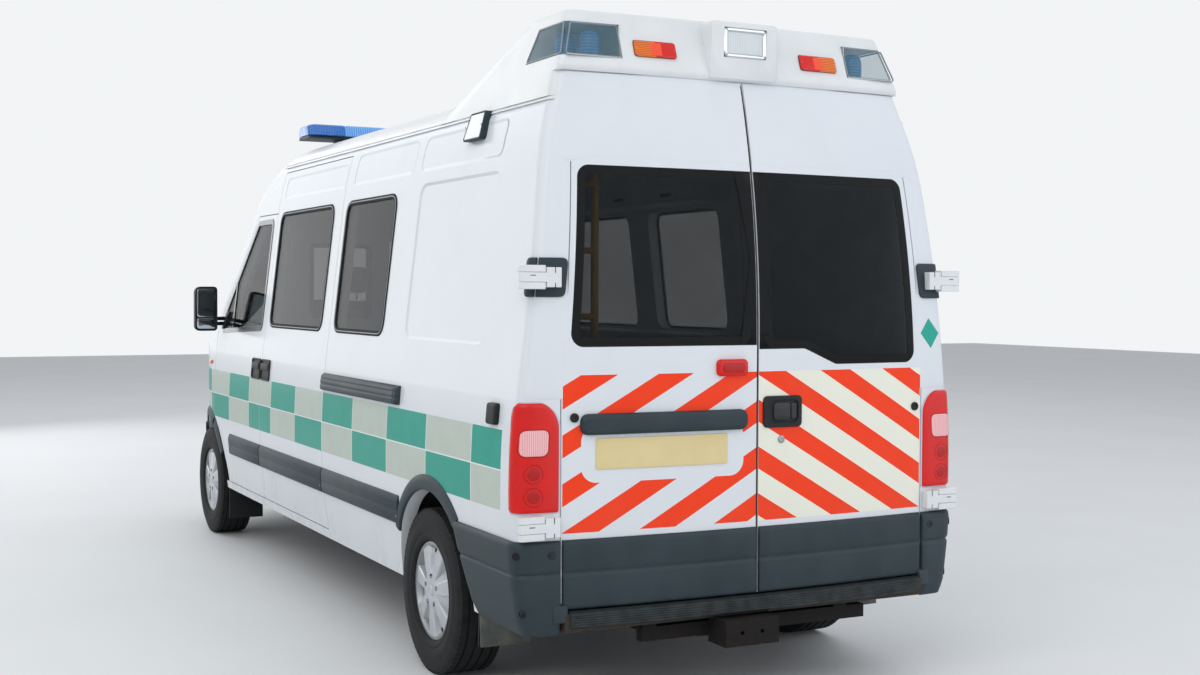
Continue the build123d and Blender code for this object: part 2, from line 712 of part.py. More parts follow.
def build():
    """Every node by name, each a list of solids."""
    nodes = {}
    shell = envelope(0) - envelope(wall)
    lining = envelope(wall + seat_gap)
    floor_top = floor_z + floor_thickness
    nodes["side_panel_left"], nodes["side_panel_right"] = side_panels(shell)
    nodes["roof_panel"] = [roof_panel(shell)]
    nodes["cab_shell"] = [cab_shell(shell)]

    # Floor, firewall, rear wheel boxes and chassis rails, each seated on the next
    floor = block(-925, firewall_x - seat_gap, -1000, 1000, floor_z, floor_top) & lining
    firewall = block(firewall_x, firewall_x + 25, -1000, 1000, 430, 1240) & lining
    for well in wheel_wells(438, 690)[:2] + wheel_wells(438, 560)[2:]:
        floor -= well
        firewall -= well
    box = cylinder_y(rear_arch_x, arch_z, 450, 678, 1000) - cylinder_y(rear_arch_x, arch_z, 438, 690, 1000)
    box = box & block(-900, 900, 600, 1000, floor_top + seat_gap, 1000) & lining
    rail = block(-882, rail_front_x, 402, 478, rail_z, floor_z - seat_gap)
    for side in both(block(firewall_x - 50, rail_front_x, 402 - seat_gap, 478 + seat_gap, 0, floor_z)):
        firewall -= side
    nodes["floor_pan"] = [floor, firewall] + both(box) + both(rail)
    liner = cylinder_y(front_arch_x, arch_z, 436, 562, 1000) - cylinder_y(front_arch_x, arch_z, 428, 562, 1000)
    liner &= block(wheelbase - 1078, nose_x, 500, 1000, 470, 1000)
    liner = liner & lining
    lean = math.tan(math.radians(kingpin_lean))
    tower_foot = (wheelbase, kingpin_y - lean * (600 - tyre_radius), 600)
    liner -= rod(tower_foot, (wheelbase, kingpin_y - lean * (1000 - tyre_radius), 1000), 72)
    nodes["wheel_arch_liners"] = both(liner)

    # Doors that swing
    door = front_door()
    fittings = front_door_fittings()
    glass = layer(3, 3 + glass_thickness, grown(front_glass_outline, -seat_gap, 700, 1100, 25))
    for name, flip in (("left", False), ("right", True)):
        def put(shape, flip=flip):
            return mirror(shape, Plane.XZ) if flip else shape
        nodes[f"front_door_{name}"] = [put(door)]
        nodes[f"front_door_glass_{name}"] = [put(glass)]
        nodes[f"front_door_fittings_{name}"] = [put(p) for p in fittings]
        nodes[f"rear_door_{name}"] = [put(rear_door(flip))]
        pane = layer(1, 1 + glass_thickness, rear_glass_prism(seat_gap, flip))
        nodes[f"rear_glass_{name}"] = [put(pane)]
        nodes[f"rear_door_trim_{name}"] = [put(p) for p in rear_trim(name == "left")]
    side_door = layer(0, wall, grown(side_door_outline, 0, 700, 1100))
    panes = [[(x0, z0), (x0, z1), (x1, z1), (x1, z0)] for x0, x1, z0, z1 in side_windows]
    nodes["sliding_door"] = [side_door - side_prism(panes[0], 700, 1100, 70)]
    nodes["bonnet"] = [bonnet()]

    # Fixed glass
    nodes["side_windows"] = []
    for pane in panes:
        glass = layer(2, 2 + glass_thickness, grown(pane, -seat_gap, 700, 1100, 70))
        nodes["side_windows"] += both(glass)
    nodes["windscreen"] = [(envelope(2) & screen_prism(-seat_gap)) - envelope(8)]

    # Roof equipment
    along = [
        (-872, 2340), (-872, 2425), (-800, 2632), (-740, 2670),
        (-560, 2674), (-480, 2655), (60, 2440), (60, 2340),
    ]
    across = [
        (-765, 2300), (-745, 2520), (-722, 2620), (-640, 2655),
        (640, 2655), (722, 2620), (745, 2520), (765, 2300),
    ]
    pod = side_prism(along, -900, 900, 16) & cross_prism(across, -900, 100, 20)
    pod -= envelope(-seat_gap)
    pod -= block(-900, -700, -900, 900, 2200, 2424) - envelope(-40)
    box = block(-892, -760, -150, 150, 2482, 2640)
    pod += box - envelope(-seat_gap)
    beacon = block(-900, -520, 518, 800, 2471, 2605)
    marker = block(-900, -790, 290, 462, 2487, 2547)
    flood = block(-900, -862, -98, 98, 2504, 2621)
    whole = pod
    for region in both(beacon) + both(marker) + [flood]:
        pod -= region
    nodes["roof_pod"] = [pod]
    shrunk = block(-900, -520 - seat_gap, 518 + seat_gap, 800, 2471 + seat_gap, 2605 - seat_gap)
    rear_beacons = [whole & region for region in both(shrunk)]
    gap = seat_gap
    small = block(-900, -790 - gap, 290 + gap, 462 - gap, 2487 + gap, 2547 - gap)
    lens = block(-900, -862 - gap, -98 + gap, 98 - gap, 2504 + gap, 2621 - gap)
    side_lamp = layer(-34, -seat_gap, side_prism(scene_lamp, 700, 1100, 12))
    nodes["roof_lamps"] = [whole & region for region in both(small) + [lens]] + both(side_lamp)
    bar_x = front_door_rear_x + 280
    bar = cross_prism([(-655, 2500), (-640, 2588), (640, 2588), (655, 2500)], bar_x - 130, bar_x + 130, 14)
    for foot in both(block(bar_x - 80, bar_x + 80, 390, 450, 2300, 2500)):
        bar += foot
    nodes["blue_lamps"] = rear_beacons + [bar - envelope(-seat_gap)]

    # Front end
    bumper = layer(-bumper_proud, -seat_gap, block(wheelbase + 252, nose_x + 186, -1100, 1100, 300, 705))
    for well in wheel_wells(arch_radius, 600)[2:]:
        bumper -= well
    bumper -= block(nose_x - 314, nose_x + 186, -330, 330, 470, 560)
    nodes["front_bumper"] = [bumper]
    grille = layer(-2, 25, grille_region(seat_gap))
    for k in range(5):
        z = 757 + 42 * k
        for slot in both(block(nose_x - 414, nose_x + 186, 14, 372, z, z + 24)):
            grille -= slot
    nodes["grille"] = [grille]
    halves = both(block(nose_x - 600, nose_x + 286, 0, 1200, 600, 1100))
    nodes["headlamps"] = [layer(-1, 32, headlamp_regions(seat_gap) & half) for half in halves]
    rear, front = wheelbase - 18, wheelbase + 247
    cowl = plan_prism([(rear, -820), (rear, 820), (front, 700), (front, -700)], 1180, 1290)
    nodes["cowl_panel"] = [cowl & envelope(wall + 1)]

    # Rear end
    tail_region = cross_prism([(826, 787), (826, 1080), (905, 1198), (1100, 1198), (1100, 787)], -1200, -876)
    nodes["tail_lamps"] = both(layer(-10, -seat_gap, tail_region))
    corner_region = side_prism([(-1200, 386), (-1200, 690), (-340, 690), (-486, 386)], rear_door_y + 4, 1200)
    corner = layer(-20, -seat_gap, corner_region)
    for well in wheel_wells(arch_radius, 600)[:1]:
        corner -= well
    nodes["rear_bumper"] = both(corner)
    beam = block(-990, -850, -rear_door_y - 3, rear_door_y + 3, 350, rail_z - seat_gap) & envelope(-30)
    tread = cross_prism([(-800, 372), (-780, 428), (780, 428), (800, 372)], -1004, -989) & envelope(-34)
    nodes["rear_step"] = [beam + tread]
    hitch = block(tail_x - tow_reach, -936, -60, 180, 250, 350)
    hitch += block(-936, -896, -558, 474, 277, 330)
    for y in (-440, 440):
        hitch += block(-936, -896, y - 30, y + 30, 277, 350 - seat_gap)
    for y in (15, 105):
        hitch -= rod((-1200, y, 300), (-930, y, 300), 8.5)
    nodes["tow_bar"] = [hitch]

    # Mouldings outside the fixed panels
    mouldings = []
    trims = []
    for x in (rear_arch_x, front_arch_x):
        trim = cylinder_y(x, arch_z, arch_radius + arch_trim, 700, 1100)
        trims.append(trim - cylinder_y(x, arch_z, arch_radius, 600, 1200))
    over_bumper = [
        (-300, 690.5), (-420, 690.5), (-420, 1000),
        (900, 1000), (900, strip_low_z), (0, strip_low_z),
    ]
    rear_ring = trims[0] & side_prism(over_bumper, 700, 1100)
    front_ring = trims[1] & block(wheelbase - 1078, wheelbase + 251, 700, 1100, strip_low_z, 1000)
    front_ring -= grown(front_door_outline, 0, 700, 1100) - wheel_wells(arch_radius + arch_trim - 0.1, 600)[2]
    mouldings.append(layer(-12, -seat_gap, rear_ring))
    mouldings.append(layer(-12, -seat_gap, front_ring))
    ring_end = rear_arch_x + math.sqrt((arch_radius + arch_trim) ** 2 - (strip_high_z - arch_z) ** 2)
    for x0, x1 in ((ring_end + 30, side_door_rear_x - 8), (side_door_rear_x + 3, front_door_rear_x - 8)):
        mouldings.append(layer(-strip_proud, -seat_gap, block(x0, x1, 700, 1100, strip_low_z, strip_high_z)))
    front = side_door_rear_x - 7
    rail_region = side_prism([(319, 1100), (319, 1182), (front, 1182), (front, 1100)], 700, 1100, 12)
    rail = layer(-25, -seat_gap, rail_region)
    stop_region = side_prism([(-765, 1100), (-765, 1180), (-679, 1180), (-679, 1100)], 700, 1100, 12)
    stop = layer(-22, -seat_gap, stop_region)
    rear, front = front_door_rear_x - 200, front_door_rear_x - 12
    handle_region = side_prism([(rear, 1082), (rear, 1200), (front, 1200), (front, 1082)], 700, 1100, 18)
    slide_handle = layer(-16, -seat_gap, handle_region)
    nodes["side_mouldings"] = [m for piece in mouldings for m in both(piece)] + [rail, stop, slide_handle]
    for post in hinge_posts():
        left, right = both(post)
        nodes["side_panel_left"].append(left)
        nodes["side_panel_right"].append(right)
    for x0, low_z in ((-492, 215), (front_arch_x - 436 - 7 - seat_gap, 150)):
        upper_flap = block(x0, x0 + 7, 740, 1000, sill_z - 8, 470) & lining
        nodes["wheel_arch_liners"] += both(upper_flap + block(x0, x0 + 7, 740, 950, low_z, sill_z - 8))

    # Running gear
    running_gear(nodes)
    interior(nodes, lining, floor_top)
    return nodes


def running_gear(nodes):
    """Wheels, axles, knuckles, engine, tank and exhaust."""
    bore = 28 + seat_gap
    rim = wheel(bore)
    cover = trim_disc()
    for end, x in (("front", wheelbase), ("rear", 0.0)):
        for name, turn, y in (("left", 0, wheel_y), ("right", 180, -wheel_y)):
            place = Pos(x, y, tyre_radius) * Rot(0, 0, turn)
            nodes[f"tyre_{end}_{name}"] = [place * tyre(tyre_width, tyre_radius)]
            nodes[f"wheel_{end}_{name}"] = [place * (rim + cover)]
    z = tyre_radius
    beam = rod((0, -wheel_y - 30, z), (0, wheel_y + 30, z), 28)
    beam += rod((0, -735, z), (0, 735, z), 48)
    beam += rod((0, -790, z), (0, -wheel_y + 67, z), 60) + rod((0, wheel_y - 67, z), (0, 790, z), 60)
    for side in (-1, 1):
        y = side * 560
        leaves = [
            (-560, 430), (-300, 402), (0, 393), (400, 402), (640, 430),
            (640, 438), (400, 416), (0, 409), (-300, 416), (-560, 438),
        ]
        spring = side_prism(leaves, y - 35, y + 35)
        beam += spring + block(-60, 60, y - 40, y + 40, z, 402)
        for hx in (-560, 640):
            beam += block(hx - 20, hx + 20, y - 35, y + 35, 430, 544.7)
    nodes["rear_axle"] = [beam]
    lean = math.radians(kingpin_lean)

    def king_y(height):
        return kingpin_y - math.tan(lean) * (height - tyre_radius)
    x = wheelbase
    stub = rod((x, 770, z), (x, wheel_y + 30, z), 28)
    upright = rod((x, king_y(238), 238), (x, king_y(500), 500), 34)
    arm = block(x - 150, x, 736, 760, 320, 350)
    knuckle = stub + (upright & block(x - 200, x + 200, 600, 800, 150, 560)) + arm
    nodes["knuckle_left"] = [knuckle]
    nodes["knuckle_right"] = [mirror(knuckle, Plane.XZ)]
    sub = block(x - 160, x + 140, -480, 480, 255, 325)
    for side in (-1, 1):
        sub += block(x - 110, x + 110, side * 478, side * 402, 325, 424.7)
        lower = rod((x, side * 440, 290), (x, side * (king_y(200) - 4), 196), 16)
        ball = Pos(x, side * king_y(196), 196) * Cylinder(22, 20)
        ball += rod((x, side * king_y(196), 196), (x, side * king_y(237.6), 237.6), 12)
        sub += lower + ball
    struts = []
    for side in (-1, 1):
        low = (x, side * king_y(500.4), 500.4)
        high = (x, side * king_y(870), 870)
        strut = rod(low, high, 22)
        coil = rod((x, side * king_y(720), 720), (x, side * king_y(850), 850), 62)
        tower = block(x - 62, x + 62, side * 600 - 80, side * 600 + 80, 870, 885)
        struts.append(strut + coil + tower)
    nodes["front_suspension"] = [sub] + struts
    engine = block(x + 62, x + 482, -350, 350, 440, 900)
    for mx in (x + 142, x + 402):
        engine += block(mx - 30, mx + 30, -402 + seat_gap, 402 - seat_gap, 470, 510)
    nodes["engine"] = [engine]
    nodes["radiator_support"] = [radiator_support()]
    tank = plan_prism([(700, -840), (700, -520), (1500, -520), (1500, -840)], 290, 480, 40)
    for tx in (800, 1380):
        tank += block(tx - 20, tx + 20, -820, -530, 470, floor_z - seat_gap)
    nodes["fuel_tank"] = [tank]
    pipe = rod((x - 178, 131.6, 360), (700, 300, 360), 28)
    box = rod((2200, 221, 360), (1500, 258, 360), 80)
    tail = rod((700, 300, 360), (420, 640, 360), 28) + rod((420, 640, 360), (420, 880, 360), 28)
    exhaust = pipe + box + tail
    for hx, hy in ((2300, 216), (1400, 263), (3300, 163)):
        exhaust += block(hx - 6, hx + 6, hy - 10, hy + 10, 360, floor_z - seat_gap)
    nodes["exhaust"] = [exhaust]
    place = Pos(-500, 0, 320) * Rot(90, 0, 0)
    spare = place * tyre(190, 330)
    spare += place * lathe([(-80, 0), (-80, 206), (80, 206), (80, 190), (-40, 180), (-40, 0)], 0, 0, 0)
    carrier = block(-515, -485, -15, 15, 260, floor_z - seat_gap)
    nodes["spare_wheel"] = [spare + carrier]


def interior(nodes, lining, floor_top):
    """Cab and load-space fittings that show through the glass and open doors."""
    wells = wheel_wells(438, 560)[2:]
    x = firewall_x - 1
    dash = side_prism([(x - 424, 980), (x - 384, 1130), (x - 224, 1190), (x, 1200), (x, 700), (x - 284, 760)],
                      -1000, 1000, 25)
    tilt = (-0.5, 0.0, 0.866)
    hub = Vector(wheelbase - 600, -430, 1215)
    axis_plane = Plane(hub, z_dir=tilt)
    ring = axis_plane * revolve(Plane.XZ * (Pos(195, 0) * Circle(15)), Axis.Z)
    boss = axis_plane * Cylinder(48, 40)
    spokes = axis_plane * (Box(378, 34, 14) + Pos(0, -90, 0) * Box(40, 180, 14))
    column = axis_plane * (Pos(0, 0, -100) * Cylinder(22, 170))
    nodes["steering_wheel"] = [ring + boss + spokes + column]
    dash = (dash & lining) - axis_plane * (Pos(0, 0, -150) * Cylinder(22 + seat_gap, 250))
    for well in wells:
        dash -= well
    nodes["dashboard"] = [dash]
    cab_seats = []
    for y in (-430.0, 430.0):
        cab_seats += seat(wheelbase - 948, y, 850, 500)
    nodes["cab_seats"] = cab_seats
    x = bulkhead_x
    screen = block(x, x + 40, -1000, 1000, floor_top + seat_gap, 2450) & lining
    screen -= block(x - 60, x + 140, -260, 260, floor_top + 60, 1950)
    for window in both(block(x - 60, x + 140, 380, 720, 1450, 1850)):
        screen -= window
    nodes["bulkhead"] = [screen]
    locker = block(500, x - 20, -1000, -560, floor_top + seat_gap, 1385) & lining
    locker -= block(540, x - 60, -900, -555, 700, 1340)
    divider = block(1500, 1530, -860, -560, 700, 1340)
    upper = block(500, x - 20, -1000, -600, 2050, 2340) & lining
    nodes["lockers"] = [locker + divider, upper]
    frame = block(-620, 1180, -230, 230, 880, 920)
    for lx in (-520, 1080):
        for ly in (-200, 200):
            frame += block(lx - 15, lx + 15, ly - 15, ly + 15, floor_top + seat_gap, 880)
    mattress = block(-620, 1180, -260, 260, 920 + seat_gap, 1000)
    nodes["stretcher"] = [frame]
    nodes["stretcher_mattress"] = [mattress]
    nodes["rear_seat"] = seat(1700, 480, 900, 480)
    rails = []
    for y in (600, 740):
        rails.append(rod((-780, y, floor_top + seat_gap), (-780, y, 2150), 15))
    rails = rails[0] + rails[1]
    for z in (1250, 1500, 1750, 2000):
        rails += rod((-780, 600, z), (-780, 740, z), 12)
    nodes["grab_rails"] = [rails]


if __name__ == "__main__":
    os.makedirs("parts", exist_ok=True)
    for name, solids in build().items():
        pieces = [piece for shape in solids for piece in shape.solids()]
        export_step(Pos(-centre_x, 0, 0) * Compound(children=pieces), f"parts/{name}.step")
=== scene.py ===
"""The looks of a high-roof ambulance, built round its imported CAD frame.

Every place below is in millimetres from the rear axle: X forward, Y to the left, Z from the ground.
Form turns such places into metres in the frame when it makes a piece.
"""

import logging
import math
from collections.abc import Callable, Sequence
from dataclasses import dataclass
from enum import Enum

import bmesh
import bpy
from mathutils import Matrix, Vector


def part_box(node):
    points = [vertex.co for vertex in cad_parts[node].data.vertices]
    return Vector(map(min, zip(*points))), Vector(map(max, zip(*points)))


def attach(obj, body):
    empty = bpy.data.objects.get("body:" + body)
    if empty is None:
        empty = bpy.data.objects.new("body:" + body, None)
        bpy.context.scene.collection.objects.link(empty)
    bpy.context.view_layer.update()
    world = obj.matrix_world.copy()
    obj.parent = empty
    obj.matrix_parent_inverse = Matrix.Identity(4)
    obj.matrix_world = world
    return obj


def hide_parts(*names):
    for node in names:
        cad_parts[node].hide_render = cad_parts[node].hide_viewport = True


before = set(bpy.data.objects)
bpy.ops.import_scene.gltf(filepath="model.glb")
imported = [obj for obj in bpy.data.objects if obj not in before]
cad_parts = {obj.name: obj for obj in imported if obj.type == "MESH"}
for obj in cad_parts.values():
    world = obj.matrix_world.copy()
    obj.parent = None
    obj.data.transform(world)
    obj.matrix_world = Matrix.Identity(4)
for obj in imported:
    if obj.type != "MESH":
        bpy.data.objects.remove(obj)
log = logging.getLogger("ambulance")

Point = tuple[float, float, float]
Flat = tuple[float, float]
Place = Callable[[float, float, float], Point]

AXLE_X = (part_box("tyre_rear_left")[0].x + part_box("tyre_rear_left")[1].x) / 2
FRONT_AXLE = 1000 * ((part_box("tyre_front_left")[0].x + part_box("tyre_front_left")[1].x) / 2 - AXLE_X)


def metres(point: Sequence[float]) -> Vector:
    """Turns a place in millimetres from the rear axle into the frame's metres.

    Args:
        point: X, Y and Z in millimetres.

    Returns:
        The same place in the frame.
    """
    return Vector((AXLE_X + point[0] / 1000, point[1] / 1000, point[2] / 1000))


def linear(hexed: str) -> tuple[float, float, float, float]:
    """Turns an sRGB hex colour into linear values.

    Args:
        hexed: The colour as six hex digits after a hash sign.

    Returns:
        Red, green, blue and an alpha of one.
    """
    parts = (int(hexed[i:i + 2], 16) / 255 for i in (1, 3, 5))
    red, green, blue = (c / 12.92 if c <= 0.04045 else ((c + 0.055) / 1.055) ** 2.4 for c in parts)
    return red, green, blue, 1.0


def rounded(corners: Sequence[Flat], radius: float | Sequence[float], steps: int = 5) -> list[Flat]:
    """Rounds the corners of a closed flat outline.

    Args:
        corners: The outline's corners in order.
        radius: One radius, or one for each corner.
        steps: Points on each rounding.

    Returns:
        The rounded outline's points.
    """
    radii = [radius] * len(corners) if isinstance(radius, (int, float)) else list(radius)
    points: list[Flat] = []
    for i, corner in enumerate(corners):
        here = Vector(corner)
        before = (Vector(corners[i - 1]) - here)
        after = (Vector(corners[(i + 1) % len(corners)]) - here)
        half = before.angle(after) / 2
        reach = min(radii[i] / math.tan(half), before.length * 0.49, after.length * 0.49)
        if reach < 0.01:
            points.append(tuple(here))
            continue
        a, b = here + before.normalized() * reach, here + after.normalized() * reach
        for k in range(steps + 1):
            t = k / steps
            points.append(tuple(a * (1 - t) ** 2 + here * 2 * t * (1 - t) + b * t * t))
    return points


def inset(outline: Sequence[Flat], by: float) -> list[Flat]:
    """Moves every point of a closed outline inwards.

    Args:
        outline: The outline's points in order, either way round.
        by: The distance; below zero moves it outwards.

    Returns:
        As many points as came in.
    """
    count = len(outline)
    area = sum(outline[i - 1][0] * outline[i][1] - outline[i][0] * outline[i - 1][1] for i in range(count))
    turn = 1 if area > 0 else -1
    moved = []
    for i in range(count):
        here = Vector(outline[i])
        a, b = Vector(outline[i - 1]), Vector(outline[(i + 1) % count])
        first = (here - a).normalized() if (here - a).length > 1e-6 else (b - here).normalized()
        second = (b - here).normalized() if (b - here).length > 1e-6 else first
        side = Vector((-first.y - second.y, first.x + second.x)) * turn
        side = side.normalized() / max(math.sqrt((1 + first.dot(second)) / 2), 0.4)
        moved.append(tuple(here + side * by))
    return moved


def stretched(outline: Sequence[Flat], longest: float) -> list[Flat]:
    """Returns a closed outline with points added wherever two lie far apart, so that it can bend."""
    points: list[Flat] = []
    for a, b in zip(outline, list(outline[1:]) + list(outline[:1])):
        parts = max(1, int(math.dist(a, b) // longest))
        points += [(a[0] + (b[0] - a[0]) * k / parts, a[1] + (b[1] - a[1]) * k / parts)
                   for k in range(parts)]
    return points


class Form:
    """The faces of one piece, gathered in millimetres and then made into a mesh."""

    def __init__(self) -> None:
        """Starts with no faces."""
        self.points: list[Point] = []
        self.faces: list[tuple[int, ...]] = []
        self.coats: list[int] = []

    def add(self, points: Sequence[Point], faces: Sequence[Sequence[int]], coat: int = 0) -> "Form":
        """Adds faces.

        Args:
            points: Their corners.
            faces: Each face as indices into points.
            coat: Which of the piece's finishes they take.

        Returns:
            This form.
        """
        first = len(self.points)
        self.points.extend(tuple(p) for p in points)
        self.faces.extend(tuple(first + i for i in face) for face in faces)
        self.coats.extend([coat] * len(faces))
        return self

    def rows(self, rows: Sequence[Sequence[Point]], coat: int = 0, wrap: bool = False, caps: bool = False,
             close: bool = False) -> "Form":
        """Adds a skin over rows of points.

        Args:
            rows: Rows of the same length.
            coat: The finish.
            wrap: Whether each row's end joins its start.
            caps: Whether the first and last rows are filled.
            close: Whether the last row joins the first.

        Returns:
            This form.
        """
        wide, high = len(rows[0]), len(rows)
        faces = []
        for r in range(high if close else high - 1):
            for c in range(wide if wrap else wide - 1):
                d, n = (c + 1) % wide, (r + 1) % high
                faces.append((r * wide + c, r * wide + d, n * wide + d, n * wide + c))
        if caps:
            faces.append(tuple(range(wide)))
            faces.append(tuple(range((high - 1) * wide, high * wide)))
        return self.add([p for row in rows for p in row], faces, coat)

    def box(self, low: Point, high: Point, coat: int = 0, place: Place | None = None) -> "Form":
        """Adds a box between two corners, bent by a placing function where one is given."""
        (x0, y0, z0), (x1, y1, z1) = low, high
        points = [(x, y, z) for x in (x0, x1) for y in (y0, y1) for z in (z0, z1)]
        if place:
            points = [place(*p) for p in points]
        faces = [(0, 1, 3, 2), (4, 6, 7, 5), (0, 4, 5, 1), (2, 3, 7, 6), (0, 2, 6, 4), (1, 5, 7, 3)]
        return self.add(points, faces, coat)

    def slab(self, outline: Sequence[Flat], place: Place, low: float, high: float, edge: float = 2.0,
             crown: float = 0.0, coat: int = 0, edge_coat: int | None = None) -> "Form":
        """Adds a closed slab with a rounded upper edge.

        Args:
            outline: Its outline, with every point in sight of the middle.
            place: Turns a place on the outline and a height above it into a point.
            low: Height of its back.
            high: Height of its face at the edge.
            edge: Radius of the rounded edge.
            crown: How much higher the middle is.
            coat: The finish of the face.
            edge_coat: The finish of its sides, if another.

        Returns:
            This form.
        """
        count = len(outline)
        middle = (sum(p[0] for p in outline) / count, sum(p[1] for p in outline) / count)
        rings = [(list(outline), low)]
        for k in range(4):
            turn = math.radians(30 * k)
            rings.append((inset(outline, edge * (1 - math.cos(turn))), high - edge + edge * math.sin(turn)))
        inner = rings[-1][0]
        sides = len(rings)
        for share in (0.8, 0.55, 0.3):
            ring = [(middle[0] + (u - middle[0]) * share, middle[1] + (v - middle[1]) * share)
                    for u, v in inner]
            rings.append((ring, high + crown * (1 - share * share)))
        side_rows = [[place(u, v, w) for u, v in ring] for ring, w in rings[:sides]]
        self.rows(side_rows, coat if edge_coat is None else edge_coat, wrap=True)
        self.rows([[place(u, v, w) for u, v in ring] for ring, w in rings[sides - 1:]], coat, wrap=True)
        last = [place(u, v, w) for ring, w in rings[-1:] for u, v in ring]
        fan = [(i, (i + 1) % count, count) for i in range(count)]
        self.add(last + [place(*middle, high + crown)], fan, coat)
        return self.add([place(u, v, low) for u, v in outline] + [place(*middle, low)], fan, coat)

    def ring(self, outer: Sequence[Flat], inner: Sequence[Flat], place: Place, low: float, high: float,
             coat: int = 0, edge: float = 0.0) -> "Form":
        """Adds a closed band between two outlines of as many points, its face eased by edge."""
        rows = [[place(u, v, low) for u, v in outer], [place(u, v, high - edge) for u, v in outer]]
        if edge:
            rows.append([place(u, v, high) for u, v in inset(outer, edge)])
            rows.append([place(u, v, high) for u, v in inset(inner, -edge)])
        rows.append([place(u, v, high - edge) for u, v in inner])
        rows.append([place(u, v, low) for u, v in inner])
        return self.rows(rows, coat, wrap=True, close=True)

    def turned(self, profile: Sequence[Flat], centre: Point, axis: Point, steps: int = 48, coat: int = 0,
               closed: bool = False) -> "Form":
        """Adds a turned shape.

        Args:
            profile: Distance along the axis and radius, from one end to the other.
            centre: The place that the profile is measured from.
            axis: The direction that it is turned about.
            steps: Sides of the round.
            coat: The finish.
            closed: Whether the profile's end joins its start.

        Returns:
            This form.
        """
        along = Vector(axis).normalized()
        turn = along.to_track_quat("Z", "Y").to_matrix()
        rows = []
        for reach, radius in profile:
            row = []
            for k in range(steps):
                a = 2 * math.pi * k / steps
                row.append(tuple(Vector(centre) + turn @ Vector(
                    (radius * math.cos(a), radius * math.sin(a), reach))))
            rows.append(row)
        return self.rows(rows, coat, wrap=True, caps=not closed, close=closed)

    def bar(self, path: Sequence[Point], radius: float, sides: int = 12, coat: int = 0) -> "Form":
        """Adds a round bar along a few points."""
        rows = []
        for i, here in enumerate(path):
            before, after = Vector(path[max(i - 1, 0)]), Vector(path[min(i + 1, len(path) - 1)])
            turn = (after - before).normalized().to_track_quat("Z", "Y").to_matrix()
            turns = (2 * math.pi * k / sides for k in range(sides))
            ring = (Vector((radius * math.cos(a), radius * math.sin(a), 0)) for a in turns)
            rows.append([tuple(Vector(here) + turn @ point) for point in ring])
        return self.rows(rows, coat, wrap=True, caps=True)

    def both_sides(self) -> "Form":
        """Adds this form's mirror image across the middle of the vehicle."""
        mirrored = [(x, -y, z) for x, y, z in self.points]
        first = len(self.points)
        self.points.extend(mirrored)
        copies = [tuple(first + i for i in reversed(face)) for face in self.faces]
        self.faces.extend(copies)
        self.coats.extend(list(self.coats))
        return self

    def flipped(self) -> "Form":
        """Returns this form's mirror image alone."""
        other = Form()
        other.points = [(x, -y, z) for x, y, z in self.points]
        other.faces = [tuple(reversed(face)) for face in self.faces]
        other.coats = list(self.coats)
        return other

    def make(self, name: str, body: str, finishes: Sequence[bpy.types.Material], slot: str = "",
             bevel: float = 0.0, sharp: float = 38.0, stands_for: Sequence[str] = ()) -> bpy.types.Object:
        """Makes the piece and lets it ride on a body.

        Args:
            name: The piece's name.
            body: The body that it rides on.
            finishes: One material for each coat.
            slot: The record's material slot.
            bevel: Width of its eased edges in millimetres.
            sharp: Angle in degrees from which an edge stays sharp.
            stands_for: CAD nodes that it stands for.

        Returns:
            The piece.
        """
        mesh = bpy.data.meshes.new(name)
        mesh.from_pydata([metres(p) for p in self.points], [], self.faces)
        work = bmesh.new()
        work.from_mesh(mesh)
        for face, coat in zip(work.faces, self.coats):
            face.material_index = coat
            face.smooth = True
        bmesh.ops.remove_doubles(work, verts=work.verts, dist=2e-5)
        bmesh.ops.dissolve_degenerate(work, dist=1e-6, edges=work.edges)
        bmesh.ops.recalc_face_normals(work, faces=work.faces)
        work.to_mesh(mesh)
        work.free()
        mesh.set_sharp_from_angle(angle=math.radians(sharp))
        for finish in finishes:
            mesh.materials.append(finish)
        piece = bpy.data.objects.new(name, mesh)
        bpy.context.scene.collection.objects.link(piece)
        if bevel:
            ease = piece.modifiers.new("ease", "BEVEL")
            ease.width = bevel / 1000
            ease.segments = 2
            ease.limit_method = "ANGLE"
            ease.angle_limit = math.radians(32)
            ease.harden_normals = True
            mesh.set_sharp_from_angle(angle=math.radians(180))
        settle(piece, body, slot, stands_for)
        return piece


def settle(piece: bpy.types.Object, body: str, slot: str = "", stands_for: Sequence[str] = ()) -> None:
    """Lets a finished piece ride on a body and hides the CAD nodes that it stands for.

    Args:
        piece: The piece.
        body: The body's name.
        slot: The record's material slot, if any; not used.
        stands_for: CAD nodes that it replaces.
    """
    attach(piece, body)
    if stands_for:
        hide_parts(*stands_for)
    log.info("%s rides on %s", piece.name, body)


